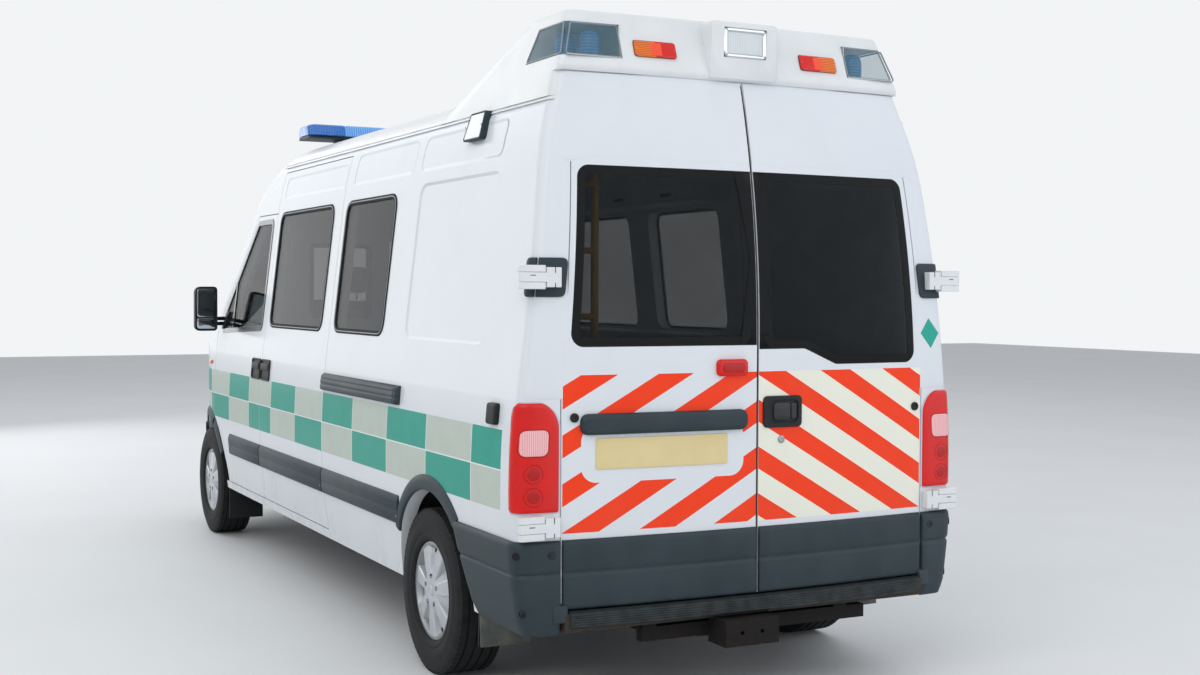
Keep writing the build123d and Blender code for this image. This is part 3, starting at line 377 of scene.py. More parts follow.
def combined(name: str, form: Form, tool: Form, how: str) -> Form:
    """Returns a form cut by another, or what they share.

    Args:
        name: A name for the work.
        form: The first form.
        tool: The second.
        how: DIFFERENCE or INTERSECT.

    Returns:
        The result as a form of one coat.
    """
    parts = []
    for label, source in (("form", form), ("tool", tool)):
        mesh = bpy.data.meshes.new(f"{name}_{label}")
        mesh.from_pydata(source.points, [], source.faces)
        work = bmesh.new()
        work.from_mesh(mesh)
        bmesh.ops.remove_doubles(work, verts=work.verts, dist=0.02)
        bmesh.ops.recalc_face_normals(work, faces=work.faces)
        work.to_mesh(mesh)
        work.free()
        thing = bpy.data.objects.new(f"{name}_{label}", mesh)
        bpy.context.scene.collection.objects.link(thing)
        parts.append(thing)
    first, second = parts
    cut = first.modifiers.new("cut", "BOOLEAN")
    cut.operation, cut.object, cut.solver = how, second, "EXACT"
    made = bpy.data.meshes.new_from_object(first.evaluated_get(bpy.context.evaluated_depsgraph_get()))
    result = Form().add([tuple(v.co) for v in made.vertices], [tuple(p.vertices) for p in made.polygons])
    for thing in parts:
        bpy.data.objects.remove(thing)
    return result


class Skin:
    """The outer surface of the body, as the pieces on it need it."""

    CORNER = 45.0
    REAR_BOW = 9580.0
    TAIL_X = -993.0
    LEAN_Z = 1400.0
    LEAN_RADIUS = 3760.0
    TAPER_X = 3700.0
    TAPER_RADIUS = 2500.0

    def __init__(self) -> None:
        """Reads the half width at each height off the left side panel."""
        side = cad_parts["side_panel_left"]
        self.widths: dict[int, float] = {}
        for z in range(345, 2321, 5):
            start = metres((-720, 2000, z))
            hit, place, _, _ = side.ray_cast(start, Vector((0, -1, 0)))
            if hit:
                self.widths[z] = place.y * 1000

    def half_width(self, z: float) -> float:
        """Returns the half width of the body at a height; above the gutter it is the pod's."""
        if z > 2297:
            return self.half_width(2296) - (z - 2297) * 0.286
        low = min(max(int(z // 5) * 5, min(self.widths)), max(self.widths) - 5)
        a, b = self.widths.get(low), self.widths.get(low + 5)
        if a is None or b is None:
            near = min(self.widths, key=lambda known: abs(known - z))
            return self.widths[near]
        return a + (b - a) * (z - low) / 5

    def side(self, x: float, z: float, out: float = 0.0) -> Point:
        """Returns the place on the left side at a length and height, moved out."""
        half = self.half_width(z)
        if x > self.TAPER_X:
            hub = 1000 - self.TAPER_RADIUS
            half = min(half, hub + math.sqrt(self.TAPER_RADIUS ** 2 - (x - self.TAPER_X) ** 2))
        return (x, half + out, z)

    def rear_x(self, y: float, z: float) -> float:
        """Returns the X of the rear face."""
        hub = self.TAIL_X + self.REAR_BOW
        rise = max(z - self.LEAN_Z, 0)
        start = self.TAIL_X + self.LEAN_RADIUS - math.sqrt(self.LEAN_RADIUS ** 2 - rise * rise)
        return hub - math.sqrt((hub - start) ** 2 - y * y)

    def rear(self, y: float, z: float, out: float = 0.0) -> Point:
        """Returns the place on the rear face at a width and height, moved out."""
        return (self.rear_x(y, z) - out, y, z)

    def wrap(self, t: float, z: float, out: float = 0.0) -> Point:
        """Returns a place round the left rear corner.

        Args:
            t: Distance along the surface from where the corner starts to turn, towards the side.
            z: Height.
            out: Distance out from the surface.

        Returns:
            The place.
        """
        hub_y = self.half_width(z) - self.CORNER
        hub_x = self.rear_x(hub_y, z) + self.CORNER
        turn = self.CORNER * math.pi / 2
        if t <= 0:
            return self.rear(hub_y + t, z, out)
        if t >= turn:
            return (hub_x + t - turn, hub_y + self.CORNER + out, z)
        a = t / self.CORNER
        reach = self.CORNER + out
        return (hub_x - reach * math.cos(a), hub_y + reach * math.sin(a), z)


skin = Skin()


class Nodes:
    """A material's node tree, built from named settings and links."""

    def __init__(self, name: str) -> None:
        """Makes an empty material with an output."""
        self.material = bpy.data.materials.new(name)
        self.material.use_nodes = True
        self.tree = self.material.node_tree
        self.tree.nodes.clear()
        self.output = self.tree.nodes.new("ShaderNodeOutputMaterial")

    def add(self, kind: str, settings: dict | None = None, *inputs: object) -> bpy.types.Node:
        """Adds a node with its settings and links.

        Args:
            kind: The node's type, without its ShaderNode prefix.
            settings: Its properties, or its inputs by name or number; a socket as a value is linked.
            inputs: Values or sockets for its first inputs; None leaves one alone.

        Returns:
            The node.
        """
        node = self.tree.nodes.new("ShaderNode" + kind)
        pairs = list((settings or {}).items())
        pairs += [(i, value) for i, value in enumerate(inputs) if value is not None]
        for key, value in pairs:
            is_input = isinstance(key, int) or key in node.inputs
            if isinstance(value, bpy.types.NodeSocket):
                self.tree.links.new(value, node.inputs[key])
            elif is_input:
                node.inputs[key].default_value = value
            else:
                setattr(node, key, value)
        return node

    def finish(self, shader: bpy.types.Node) -> bpy.types.Material:
        """Links the shader to the output and returns the material."""
        self.tree.links.new(shader.outputs[0], self.output.inputs[0])
        return self.material


def parts_of(nodes: Nodes, socket: bpy.types.NodeSocket) -> tuple[bpy.types.NodeSocket, ...]:
    """Returns the X, Y and Z sockets of a vector."""
    return tuple(nodes.add("SeparateXYZ", None, socket).outputs)


@dataclass(frozen=True)
class Coat:
    """A finish of one colour that varies a little, with wear, dirt and grain.

    Attributes:
        name: What the real surface is.
        tone: Its colour as sRGB hex.
        worn: The colour that it drifts towards.
        roughness: Typical roughness.
        spread: How far the roughness wanders.
        metallic: One for bare metal.
        clear: Weight of a clear coat over it.
        grain_mm: Size of its grain.
        grain: Height of its grain in millimetres.
        drift_mm: Size of the patches of the worn colour.
        drift: How strong they are, up to one.
        ior: Index of refraction; a metal keeps the default.
        sheen: Weight of a cloth-like sheen.
        shine: Strength of its mirror image, below the plain half because the backdrop is white.
    """

    name: str
    tone: str
    worn: str
    roughness: float = 0.5
    spread: float = 0.08
    metallic: float = 0.0
    clear: float = 0.0
    grain_mm: float = 2.0
    grain: float = 0.05
    drift_mm: float = 160.0
    drift: float = 0.5
    ior: float = 1.5
    sheen: float = 0.0
    shine: float = 0.28

    def build(self) -> bpy.types.Material:
        """Returns the material."""
        n = Nodes(self.name)
        place = n.add("TexCoord").outputs["Object"]
        patches = n.add("TexNoise", {"Scale": 1000 / self.drift_mm, "Detail": 5.0,
                                     "Vector": place}).outputs[0]
        share = n.add("MapRange", {"From Min": 0.35, "From Max": 0.75, "To Max": self.drift,
                                   "Value": patches}).outputs[0]
        colour = n.add("MixRGB", None, share, linear(self.tone), linear(self.worn)).outputs[0]
        fine = n.add("TexNoise", {"Scale": 1000 / self.grain_mm, "Detail": 3.0, "Vector": place}).outputs[0]
        blur = n.add("MapRange", {"To Min": self.roughness - self.spread,
                                  "To Max": self.roughness + self.spread, "Value": patches}).outputs[0]
        bump = n.add("Bump", {"Strength": 1.0, "Distance": self.grain / 1000, "Height": fine}).outputs[0]
        shader = n.add("BsdfPrincipled", {"Base Color": colour, "Roughness": blur,
                                          "Metallic": self.metallic, "Normal": bump,
                                          "Coat Weight": self.clear, "Coat Roughness": 0.06,
                                          "Specular IOR Level": self.shine})
        if not self.metallic:
            shader.inputs["IOR"].default_value = self.ior
        if self.sheen:
            shader.inputs["Sheen Weight"].default_value = self.sheen
        return n.finish(shader)


@dataclass(frozen=True)
class Lens:
    """A clear or tinted moulded lens with ribs moulded into it.

    Attributes:
        name: What the real lens is.
        tone: Its colour as sRGB hex.
        deep: The darker colour painted into the hollows of its ribs as painted shade; on a plain lens it is
            mixed in at random.
        alpha: How much it hides what is behind it.
        rib_mm: Spacing of its ribs; zero leaves it plain.
        rib: Their height in millimetres.
        across: The axis that the ribs follow one after another, 0 to 2.
        painted_glow: Strength of a painted glow in its own colour, standing in for light coming through it;
            no lamp is lit.
        roughness: Its roughness.
    """

    name: str
    tone: str
    deep: str
    alpha: float = 1.0
    rib_mm: float = 0.0
    rib: float = 1.0
    across: int = 2
    painted_glow: float = 0.0
    roughness: float = 0.08

    def build(self) -> bpy.types.Material:
        """Returns the material."""
        n = Nodes(self.name)
        place = n.add("TexCoord").outputs["Object"]
        along = parts_of(n, place)[self.across]
        soft = n.add("TexNoise", {"Scale": 18.0, "Detail": 2.0, "Vector": place}).outputs[0]
        height = soft
        if self.rib_mm:
            phase = n.add("Math", {"operation": "MULTIPLY"}, along, 2000 * math.pi / self.rib_mm).outputs[0]
            wave = n.add("Math", {"operation": "SINE"}, phase).outputs[0]
            height = n.add("MapRange", {"From Min": -1.0, "Value": wave}).outputs[0]
        # The rib hollows take the darker colour as painted shade; on a plain lens the two colours mix at
        # random.
        colour = n.add("MixRGB", None, height, linear(self.deep), linear(self.tone)).outputs[0]
        bump = n.add("Bump", {"Strength": 1.0, "Distance": (self.rib if self.rib_mm else 0.1) / 1000,
                              "Height": height}).outputs[0]
        shader = n.add("BsdfPrincipled", {"Base Color": colour, "Roughness": self.roughness, "IOR": 1.49,
                                          "Alpha": self.alpha, "Normal": bump, "Specular IOR Level": 0.35})
        # Painted glow: the lens gives off light of its own colour, though no lamp behind it is lit.
        if self.painted_glow:
            n.tree.links.new(colour, shader.inputs["Emission Color"])
            shader.inputs["Emission Strength"].default_value = self.painted_glow
        return n.finish(shader)


@dataclass(frozen=True)
class Glass:
    """Toughened glass, tinted through, with a film of dust in patches.

    Attributes:
        name: What the real glass is.
        tone: Its colour as sRGB hex.
        alpha: How much it hides what is behind it.
        mirror: Strength of its mirror image, below the plain half because the backdrop is white.
    """

    name: str
    tone: str
    alpha: float
    mirror: float = 0.09

    def build(self) -> bpy.types.Material:
        """Returns the material; it stays smooth so that it mirrors its surroundings."""
        n = Nodes(self.name)
        place = n.add("TexCoord").outputs["Object"]
        dust = n.add("TexNoise", {"Scale": 5.0, "Detail": 6.0, "Roughness": 0.65,
                                  "Vector": place}).outputs[0]
        blur = n.add("MapRange", {"From Min": 0.4, "From Max": 0.8, "To Min": 0.01, "To Max": 0.06,
                                  "Value": dust}).outputs[0]
        hide = n.add("MapRange", {"From Min": 0.4, "From Max": 0.8, "To Min": self.alpha,
                                  "To Max": min(self.alpha + 0.05, 1.0), "Value": dust}).outputs[0]
        colour = n.add("MixRGB", None, dust, linear(self.tone), linear("#1A2124")).outputs[0]
        shader = n.add("BsdfPrincipled", {"Base Color": colour, "Roughness": blur, "IOR": 1.52,
                                          "Alpha": hide, "Specular IOR Level": self.mirror})
        return n.finish(shader)


@dataclass(frozen=True)
class Livery:
    """White baked enamel with the reflective vinyl panels stuck on it.

    The side carries two rows of green and pale squares, the rear doors slanting orange bars. Both
    are thin vinyl: a shade rougher than the enamel, with the faint lattice of reflective sheeting.

    Attributes:
        white: The enamel, and shade what it drifts towards.
        green: The squares' strong colour, and pale the other one.
        orange: The bars, and cream their ground on the right door.
        square_mm: Length of a square.
        first_mm: Where a square starts, from the rear axle.
        rows_mm: Heights at which the two rows of squares start and end.
        ends_mm: Where the rows start and end along the vehicle.
        seam_mm: Half the width of the white seam between squares.
        band_mm: Lowest and highest edge of the bars.
        slopes: Rise of the bars for each unit of width, on the right and left door.
        starts_mm: Height at which a bar starts at the meeting line, right and left.
        pitches_mm: From one bar to the next upwards, right and left.
        bar_share: How much of that is orange.
        door_half_mm: Half the width that the bars cover.
        plate_y: Middle and half width of the bare patch round the plate, less its corners.
        plate_z: The same for its height.
        plate_corner: Radius of its corners.
        pressings: Start, end, foot and top of each shallow pressing above the windows.
        draft_mm: From a pressing's outline to where it starts to sink.
        floor_mm: From the same to where it is at its full depth.
    """

    white: str = "#E9EDF2"
    shade: str = "#DDE2E8"
    green: str = "#0B9683"
    pale: str = "#C6D0C6"
    orange: str = "#F8390D"
    cream: str = "#F1F1E2"
    square_mm: float = 494.0
    first_mm: float = -511.0
    rows_mm: tuple[float, float, float] = (789.0, 937.0, 1085.0)
    ends_mm: tuple[float, float] = (-800.0, 4429.0)
    seam_mm: float = 2.5
    band_mm: tuple[float, float] = (713.0, 1290.0)
    slopes: tuple[float, float] = (0.575, 0.565)
    starts_mm: tuple[float, float] = (1003.0, 1000.0)
    pitches_mm: tuple[float, float] = (181.0, 178.0)
    bar_share: float = 0.472
    door_half_mm: float = 818.0
    plate_y: tuple[float, float] = (404.0, 281.0)
    plate_z: tuple[float, float] = (999.0, 45.0)
    plate_corner: float = 60.0
    draft_mm: float = 45.0
    floor_mm: float = 27.0
    pressings: tuple[tuple[float, float, float, float], ...] = (
        (-520.0, 390.0, 2112.0, 2272.0), (470.0, 1340.0, 2112.0, 2272.0), (1470.0, 2620.0, 2112.0, 2240.0))

    def pressed(self, n: Nodes, x: bpy.types.NodeSocket, z: bpy.types.NodeSocket) -> bpy.types.NodeSocket:
        """Returns how deep the shallow upper pressings are, from one at their floor to zero outside."""
        total = None
        for x0, x1, z0, z1 in self.pressings:
            reach = []
            for value, low, high in ((x, x0, x1), (z, z0, z1)):
                off = n.add("Math", {"operation": "SUBTRACT"}, value, (low + high) / 2).outputs[0]
                off = n.add("Math", {"operation": "ABSOLUTE"}, off).outputs[0]
                off = n.add("Math", {"operation": "SUBTRACT"}, off,
                            (high - low) / 2 - self.draft_mm).outputs[0]
                reach.append(n.add("Math", {"operation": "MAXIMUM"}, off, 0.0).outputs[0])
            both = n.add("CombineXYZ", None, *reach).outputs[0]
            far = n.add("VectorMath", {"operation": "LENGTH"}, both).outputs["Value"]
            depth = n.add("MapRange", {"interpolation_type": "SMOOTHSTEP", "From Min": self.draft_mm,
                                       "From Max": self.floor_mm, "Value": far}).outputs[0]
            if total is not None:
                depth = n.add("Math", {"operation": "MAXIMUM"}, total, depth).outputs[0]
            total = depth
        return total

    def between(self, n: Nodes, value: bpy.types.NodeSocket, low: float,
                high: float) -> bpy.types.NodeSocket:
        """Returns one where a value lies between two limits, else zero."""
        above = n.add("Math", {"operation": "GREATER_THAN"}, value, low).outputs[0]
        below = n.add("Math", {"operation": "LESS_THAN"}, value, high).outputs[0]
        return n.add("Math", {"operation": "MULTIPLY"}, above, below).outputs[0]

    def squares(self, n: Nodes, x: bpy.types.NodeSocket,
                z: bpy.types.NodeSocket) -> tuple[bpy.types.NodeSocket, ...]:
        """Returns where the squares are green, where the vinyl is, and where its white seams run."""
        low, middle, high = self.rows_mm
        moved = n.add("Math", {"operation": "SUBTRACT"}, x, self.first_mm).outputs[0]
        column = n.add("Math", {"operation": "DIVIDE"}, moved, self.square_mm).outputs[0]
        column = n.add("Math", {"operation": "FLOOR"}, column).outputs[0]
        row = n.add("Math", {"operation": "GREATER_THAN"}, z, middle).outputs[0]
        both = n.add("Math", {"operation": "ADD"}, column, row).outputs[0]
        both = n.add("Math", {"operation": "ADD"}, both, 1.0).outputs[0]
        green = n.add("Math", {"operation": "FLOORED_MODULO"}, both, 2.0).outputs[0]
        near = n.add("Math", {"operation": "PINGPONG"}, moved, self.square_mm / 2).outputs[0]
        upright = n.add("Math", {"operation": "LESS_THAN"}, near, self.seam_mm).outputs[0]
        level = self.between(n, z, middle - self.seam_mm, middle + self.seam_mm)
        seam = n.add("Math", {"operation": "MAXIMUM"}, upright, level).outputs[0]
        tall = self.between(n, z, low, high)
        long_ = self.between(n, x, *self.ends_mm)
        vinyl = n.add("Math", {"operation": "MULTIPLY"}, tall, long_).outputs[0]
        return green, vinyl, seam

    def bars(self, n: Nodes, y: bpy.types.NodeSocket,
             z: bpy.types.NodeSocket) -> tuple[bpy.types.NodeSocket, ...]:
        """Returns where the slanting bars are, where the vinyl is, and where its ground is cream."""
        wide = n.add("Math", {"operation": "ABSOLUTE"}, y).outputs[0]
        left = n.add("Math", {"operation": "GREATER_THAN"}, y, 0.0).outputs[0]
        slope, start, pitch = (n.add("MapRange",
                                     {"To Min": right, "To Max": other, "Value": left}).outputs[0]
                               for right, other in (self.slopes, self.starts_mm, self.pitches_mm))
        rise = n.add("Math", {"operation": "MULTIPLY"}, wide, slope).outputs[0]
        level = n.add("Math", {"operation": "ADD"}, z, rise).outputs[0]
        level = n.add("Math", {"operation": "SUBTRACT"}, level, start).outputs[0]
        level = n.add("Math", {"operation": "DIVIDE"}, level, pitch).outputs[0]
        level = n.add("Math", {"operation": "ADD"}, level, 20.0).outputs[0]
        part = n.add("Math", {"operation": "FRACT"}, level).outputs[0]
        bar = n.add("Math", {"operation": "GREATER_THAN"}, part, 1 - self.bar_share).outputs[0]
        squared = []
        for value, (middle, half) in ((y, self.plate_y), (z, self.plate_z)):
            off = n.add("Math", {"operation": "SUBTRACT"}, value, middle).outputs[0]
            off = n.add("Math", {"operation": "ABSOLUTE"}, off).outputs[0]
            off = n.add("Math", {"operation": "SUBTRACT"}, off, half).outputs[0]
            off = n.add("Math", {"operation": "MAXIMUM"}, off, 0.0).outputs[0]
            squared.append(n.add("Math", {"operation": "POWER"}, off, 2.0).outputs[0])
        corner = n.add("Math", {"operation": "ADD"}, *squared).outputs[0]
        clear = n.add("Math", {"operation": "GREATER_THAN"}, corner, self.plate_corner ** 2).outputs[0]
        bar = n.add("Math", {"operation": "MULTIPLY"}, bar, clear).outputs[0]
        tall = self.between(n, z, *self.band_mm)
        across = self.between(n, wide, 4.0, self.door_half_mm)
        vinyl = n.add("Math", {"operation": "MULTIPLY"}, tall, across).outputs[0]
        ground = n.add("Math", {"operation": "SUBTRACT"}, 1.0, left).outputs[0]
        return bar, vinyl, ground

    def build(self) -> bpy.types.Material:
        """Returns the material."""
        n = Nodes("white_baked_enamel")
        coordinates = n.add("TexCoord")
        place = coordinates.outputs["Object"]
        shift = n.add("VectorMath", {"operation": "SUBTRACT"}, place, (AXLE_X, 0.0, 0.0)).outputs[0]
        in_mm = n.add("VectorMath", {"operation": "SCALE", "Scale": 1000.0}, shift).outputs[0]
        x, y, z = parts_of(n, in_mm)
        nx, ny, _ = parts_of(n, coordinates.outputs["Normal"])
        patches = n.add("TexNoise", {"Scale": 1.6, "Detail": 6.0, "Roughness": 0.6,
                                     "Vector": place}).outputs[0]
        enamel = n.add("MixRGB", None, patches, linear(self.white), linear(self.shade)).outputs[0]

        green, side_vinyl, seam = self.squares(n, x, z)
        hand = n.add("Math", {"operation": "SIGN"}, y).outputs[0]
        turned = n.add("Math", {"operation": "MULTIPLY"}, ny, hand).outputs[0]
        outward = n.add("Math", {"operation": "GREATER_THAN"}, turned, 0.55).outputs[0]
        side_vinyl = n.add("Math", {"operation": "MULTIPLY"}, side_vinyl, outward).outputs[0]
        weather = n.add("TexNoise", {"Scale": 9.0, "Detail": 4.0, "Vector": place}).outputs[0]
        bright = n.add("MixRGB", None, weather, linear(self.green), linear("#1AA592")).outputs[0]
        dim = n.add("MixRGB", None, weather, linear(self.pale), linear("#BAC5BB")).outputs[0]
        squares = n.add("MixRGB", None, green, dim, bright).outputs[0]
        squares = n.add("MixRGB", None, seam, squares, linear("#EDF1F0")).outputs[0]
        colour = n.add("MixRGB", None, side_vinyl, enamel, squares).outputs[0]

        bar, rear_vinyl, ground = self.bars(n, y, z)
        behind = n.add("Math", {"operation": "LESS_THAN"}, nx, -0.6).outputs[0]
        rearmost = n.add("Math", {"operation": "LESS_THAN"}, x, -900.0).outputs[0]
        behind = n.add("Math", {"operation": "MULTIPLY"}, behind, rearmost).outputs[0]
        rear_vinyl = n.add("Math", {"operation": "MULTIPLY"}, rear_vinyl, behind).outputs[0]
        cream = n.add("Math", {"operation": "MULTIPLY"}, ground, rear_vinyl).outputs[0]
        colour = n.add("MixRGB", None, cream, colour, linear(self.cream)).outputs[0]
        orange = n.add("MixRGB", None, weather, linear(self.orange), linear("#FF4516")).outputs[0]
        painted = n.add("Math", {"operation": "MULTIPLY"}, bar, rear_vinyl).outputs[0]
        colour = n.add("MixRGB", None, painted, colour, orange).outputs[0]

        streaks = n.add("Mapping", {"Scale": (5.0, 5.0, 2.2)}, place).outputs[0]
        streaks = n.add("TexNoise", {"Scale": 1.0, "Detail": 2.0, "Roughness": 0.45,
                                     "Vector": streaks}).outputs[0]
        low = n.add("MapRange", {"From Min": 1050.0, "From Max": 380.0, "Value": z}).outputs[0]
        low = n.add("Math", {"operation": "POWER"}, low, 2.0).outputs[0]
        grime = n.add("MapRange", {"From Min": 0.3, "From Max": 0.8, "To Min": 0.06, "To Max": 0.2,
                                   "Value": streaks}).outputs[0]
        film = n.add("Math", {"operation": "MULTIPLY"}, grime, low).outputs[0]
        faint = n.add("MapRange", {"From Min": 0.6, "From Max": 0.85, "To Max": 0.05,
                                   "Value": streaks}).outputs[0]
        film = n.add("Math", {"operation": "ADD"}, film, faint).outputs[0]
        colour = n.add("MixRGB", None, film, colour, linear("#A59D8E")).outputs[0]

        vinyl = n.add("Math", {"operation": "MAXIMUM"}, side_vinyl, painted).outputs[0]
        vinyl = n.add("Math", {"operation": "MAXIMUM"}, vinyl, cream).outputs[0]
        rough = n.add("MapRange", {"To Min": 0.2, "To Max": 0.36, "Value": vinyl}).outputs[0]
        dulled = n.add("Math", {"operation": "MULTIPLY"}, film, 0.6).outputs[0]
        rough = n.add("Math", {"operation": "ADD"}, rough, dulled).outputs[0]
        # Sheeting lattice, drawn at 12 mm where the real cells are 3 mm, so that it shows.
        lattice = n.add("TexVoronoi", {"feature": "DISTANCE_TO_EDGE", "Scale": 84.0,
                                       "Vector": place}).outputs[0]
        lattice = n.add("Math", {"operation": "MULTIPLY"}, lattice, vinyl).outputs[0]
        peel = n.add("TexNoise", {"Scale": 160.0, "Detail": 1.0, "Vector": place}).outputs[0]
        height = n.add("Math", {"operation": "MULTIPLY"}, vinyl, 1.6).outputs[0]
        for pattern, share in ((peel, 0.1), (lattice, 0.3)):
            raised = n.add("Math", {"operation": "MULTIPLY"}, pattern, share).outputs[0]
            height = n.add("Math", {"operation": "ADD"}, height, raised).outputs[0]
        bump = n.add("Bump", {"Strength": 0.6, "Distance": 0.0002, "Height": height}).outputs[0]
        depth = n.add("Math", {"operation": "MULTIPLY"}, self.pressed(n, x, z), outward).outputs[0]
        bump = n.add("Bump", {"Strength": 1.0, "Distance": 0.006, "Height": depth, "invert": True,
                              "Normal": bump}).outputs[0]
        shader = n.add("BsdfPrincipled", {"Base Color": colour, "Roughness": rough, "IOR": 1.5,
                                          "Normal": bump, "Coat Weight": 0.08, "Coat Roughness": 0.05,
                                          "Specular IOR Level": 0.18})
        return n.finish(shader)


class Finish(Enum):
    """Every plain finish on the vehicle, named for what the real surface is."""

    # Gelcoat on glass fibre: white, a touch warmer and softer than the enamel.
    GELCOAT = Coat("glass_fibre_gelcoat", "#E6E9EB", "#D8DBDC", 0.3, 0.06, clear=0.25, grain_mm=9,
                   grain=0.05)
    # Inside faces: the same enamel, duller and never polished.
    LINING = Coat("laminate_lining", "#D9DCDC", "#C9CCCA", 0.5, 0.06, grain_mm=1.2, grain=0.03)
    # Moulded polypropylene: fine leather grain, chalked to a blue grey by the sun.
    BUMPER = Coat("moulded_polypropylene_grey", "#26343A", "#344147", 0.5, 0.1, grain_mm=1.6, grain=0.12,
                  drift=0.75)
    BLACK = Coat("moulded_polypropylene_black", "#15191B", "#23282B", 0.52, 0.1, grain_mm=1.4, grain=0.1)
    GLOSS_BLACK = Coat("moulded_abs_black", "#101316", "#1B1F22", 0.22, 0.06, clear=0.3, grain_mm=4,
                       grain=0.02)
    # Vulcanised rubber: matt, greyed by dust.
    RUBBER = Coat("vulcanised_rubber", "#1A1C1D", "#3A3A37", 0.78, 0.08, grain_mm=1.0, grain=0.08,
                  drift_mm=60)
    TYRE = Coat("tyre_rubber", "#141618", "#2C2C2A", 0.74, 0.08, grain_mm=1.5, grain=0.12, drift_mm=45,
                drift=0.6)
    FILLER = Coat("window_filler_strip", "#8E979B", "#737C80", 0.35, 0.05, metallic=0.0, grain_mm=2,
                  grain=0.02)
    # Silver lacquer over moulded nylon: metallic flake under a satin coat.
    SILVER = Coat("silver_lacquered_nylon", "#C3C8CD", "#A9ADB0", 0.36, 0.08, metallic=0.55, clear=0.2,
                  grain_mm=0.8, grain=0.02)
    CHROME = Coat("chromed_trim", "#D5D8DA", "#B9BDBF", 0.14, 0.05, metallic=1.0, grain_mm=6, grain=0.01)
    ALUMINIUM = Coat("mill_aluminium", "#AEB2B3", "#85898A", 0.42, 0.1, metallic=0.9, grain_mm=1.2,
                     grain=0.04)
    STEEL = Coat("zinc_plated_steel", "#9A9DA0", "#75777A", 0.4, 0.1, metallic=1.0, grain_mm=3, grain=0.03)
    CAST = Coat("cast_iron", "#4B4A48", "#5E4A3A", 0.72, 0.1, metallic=0.3, grain_mm=2.4, grain=0.25,
                drift_mm=40)
    # Black chassis paint gone brown in patches.
    CHASSIS = Coat("chassis_black_paint", "#232424", "#4B3A2C", 0.6, 0.12, grain_mm=3, grain=0.15,
                   drift_mm=70, drift=0.7)
    RUSTY = Coat("painted_steel_plate_rusting", "#121212", "#2A211C", 0.8, 0.1, metallic=0.1, grain_mm=2.2,
                 grain=0.3, drift_mm=35, drift=0.6)
    # Chequered aluminium gone dark with road film.
    TREAD = Coat("weathered_step_aluminium", "#3E4446", "#272C2E", 0.5, 0.12, metallic=0.6, grain_mm=5,
                 grain=0.2, drift_mm=50, drift=0.8)
    # Rubber flap under a coat of dried road dust.
    DUSTY = Coat("dusty_rubber_flap", "#4A4E4C", "#7B7B72", 0.85, 0.06, grain_mm=3, grain=0.2, drift_mm=90,
                 drift=0.8)
    PLATE = Coat("blank_reflective_plate", "#E5D29C", "#DAC68E", 0.34, 0.05, clear=0.3, grain_mm=1.5,
                 grain=0.02, drift_mm=90)
    GREEN_VINYL = Coat("green_vinyl", "#17A38F", "#28AE9B", 0.34, 0.05, grain_mm=3, grain=0.02)
    YELLOW = Coat("yellow_epoxy_coat", "#D9A21C", "#B9861A", 0.38, 0.08, clear=0.2, grain_mm=5, grain=0.04)
    FLOOR = Coat("safety_floor_vinyl", "#5C6D7B", "#4C5A66", 0.6, 0.06, grain_mm=1.1, grain=0.12)
    DASH = Coat("grained_dashboard_skin", "#3A4045", "#444B50", 0.6, 0.06, grain_mm=1.7, grain=0.2)
    HOUSING = Coat("chromed_reflector", "#C9CDD0", "#E6E8EA", 0.16, 0.06, metallic=1.0, grain_mm=5,
                   grain=0.02)

    def __init__(self, coat: Coat) -> None:
        """Keeps the coat that the name stands for."""
        self.coat = coat


class Store:
    """Makes each material once."""

    def __init__(self) -> None:
        """Starts empty."""
        self.made: dict[str, bpy.types.Material] = {}

    def get(self, wanted: "Finish | Coat | Lens | Glass | Livery") -> bpy.types.Material:
        """Returns the material of a finish, built the first time that it is asked for."""
        recipe = wanted.coat if isinstance(wanted, Finish) else wanted
        key = repr(recipe)
        if key not in self.made:
            self.made[key] = recipe.build()
        return self.made[key]


store = Store()

DARK_GLASS = Glass("privacy_glass", "#05090C", 0.5)
SIDE_GLASS = Glass("grey_tinted_glass", "#0A1215", 0.5)
CAB_GLASS = Glass("green_tinted_glass", "#0F1A19", 0.4)
# Every glow value below is a painted glow in the lens's own colour, though no lamp is lit.
RED_LENS = Lens("red_acrylic_lens", "#D8150F", "#C5110D", rib_mm=7, rib=0.15, painted_glow=0.12)
DEEP_RED_LENS = Lens("deep_red_acrylic_lens", "#BE1210", "#9A0B0D", rib_mm=6, rib=0.3, across=1, painted_glow=0.08)
AMBER_LENS = Lens("amber_acrylic_lens", "#F07A1E", "#B24A0C", rib_mm=7, rib=0.5, painted_glow=0.12)
CLEAR_LENS = Lens("clear_acrylic_lens", "#86AAB8", "#6F95A4", 0.34, rib_mm=0)
RIBBED_LENS = Lens("ribbed_glass_lens", "#F2F6F8", "#DDE5E9", 0.62, rib_mm=8, rib=0.35, across=1, painted_glow=0.08)
FROSTED_LENS = Lens("frosted_scene_lens", "#F4F8FA", "#E4EBEE", 0.86, rib_mm=9, rib=0.3, across=0,
                    painted_glow=0.15)
HEAD_LENS = Lens("headlamp_polycarbonate", "#C9D3D8", "#B7C3C9", 0.24, roughness=0.04)
PINK_LENS = Lens("reversing_lens", "#F0C2C4", "#E09BA0", rib_mm=8, rib=0.4, across=1, painted_glow=0.1)
BLUE_DOME = Lens("blue_glass_dome", "#1C6CA8", "#0E4678", 0.95, rib_mm=12, rib=0.6, painted_glow=0.16)
BLUE_LENS = Lens("blue_polycarbonate_lens", "#74B6EE", "#3F8CDC", 0.78, rib_mm=14, rib=0.6, across=1,
                 painted_glow=0.2)


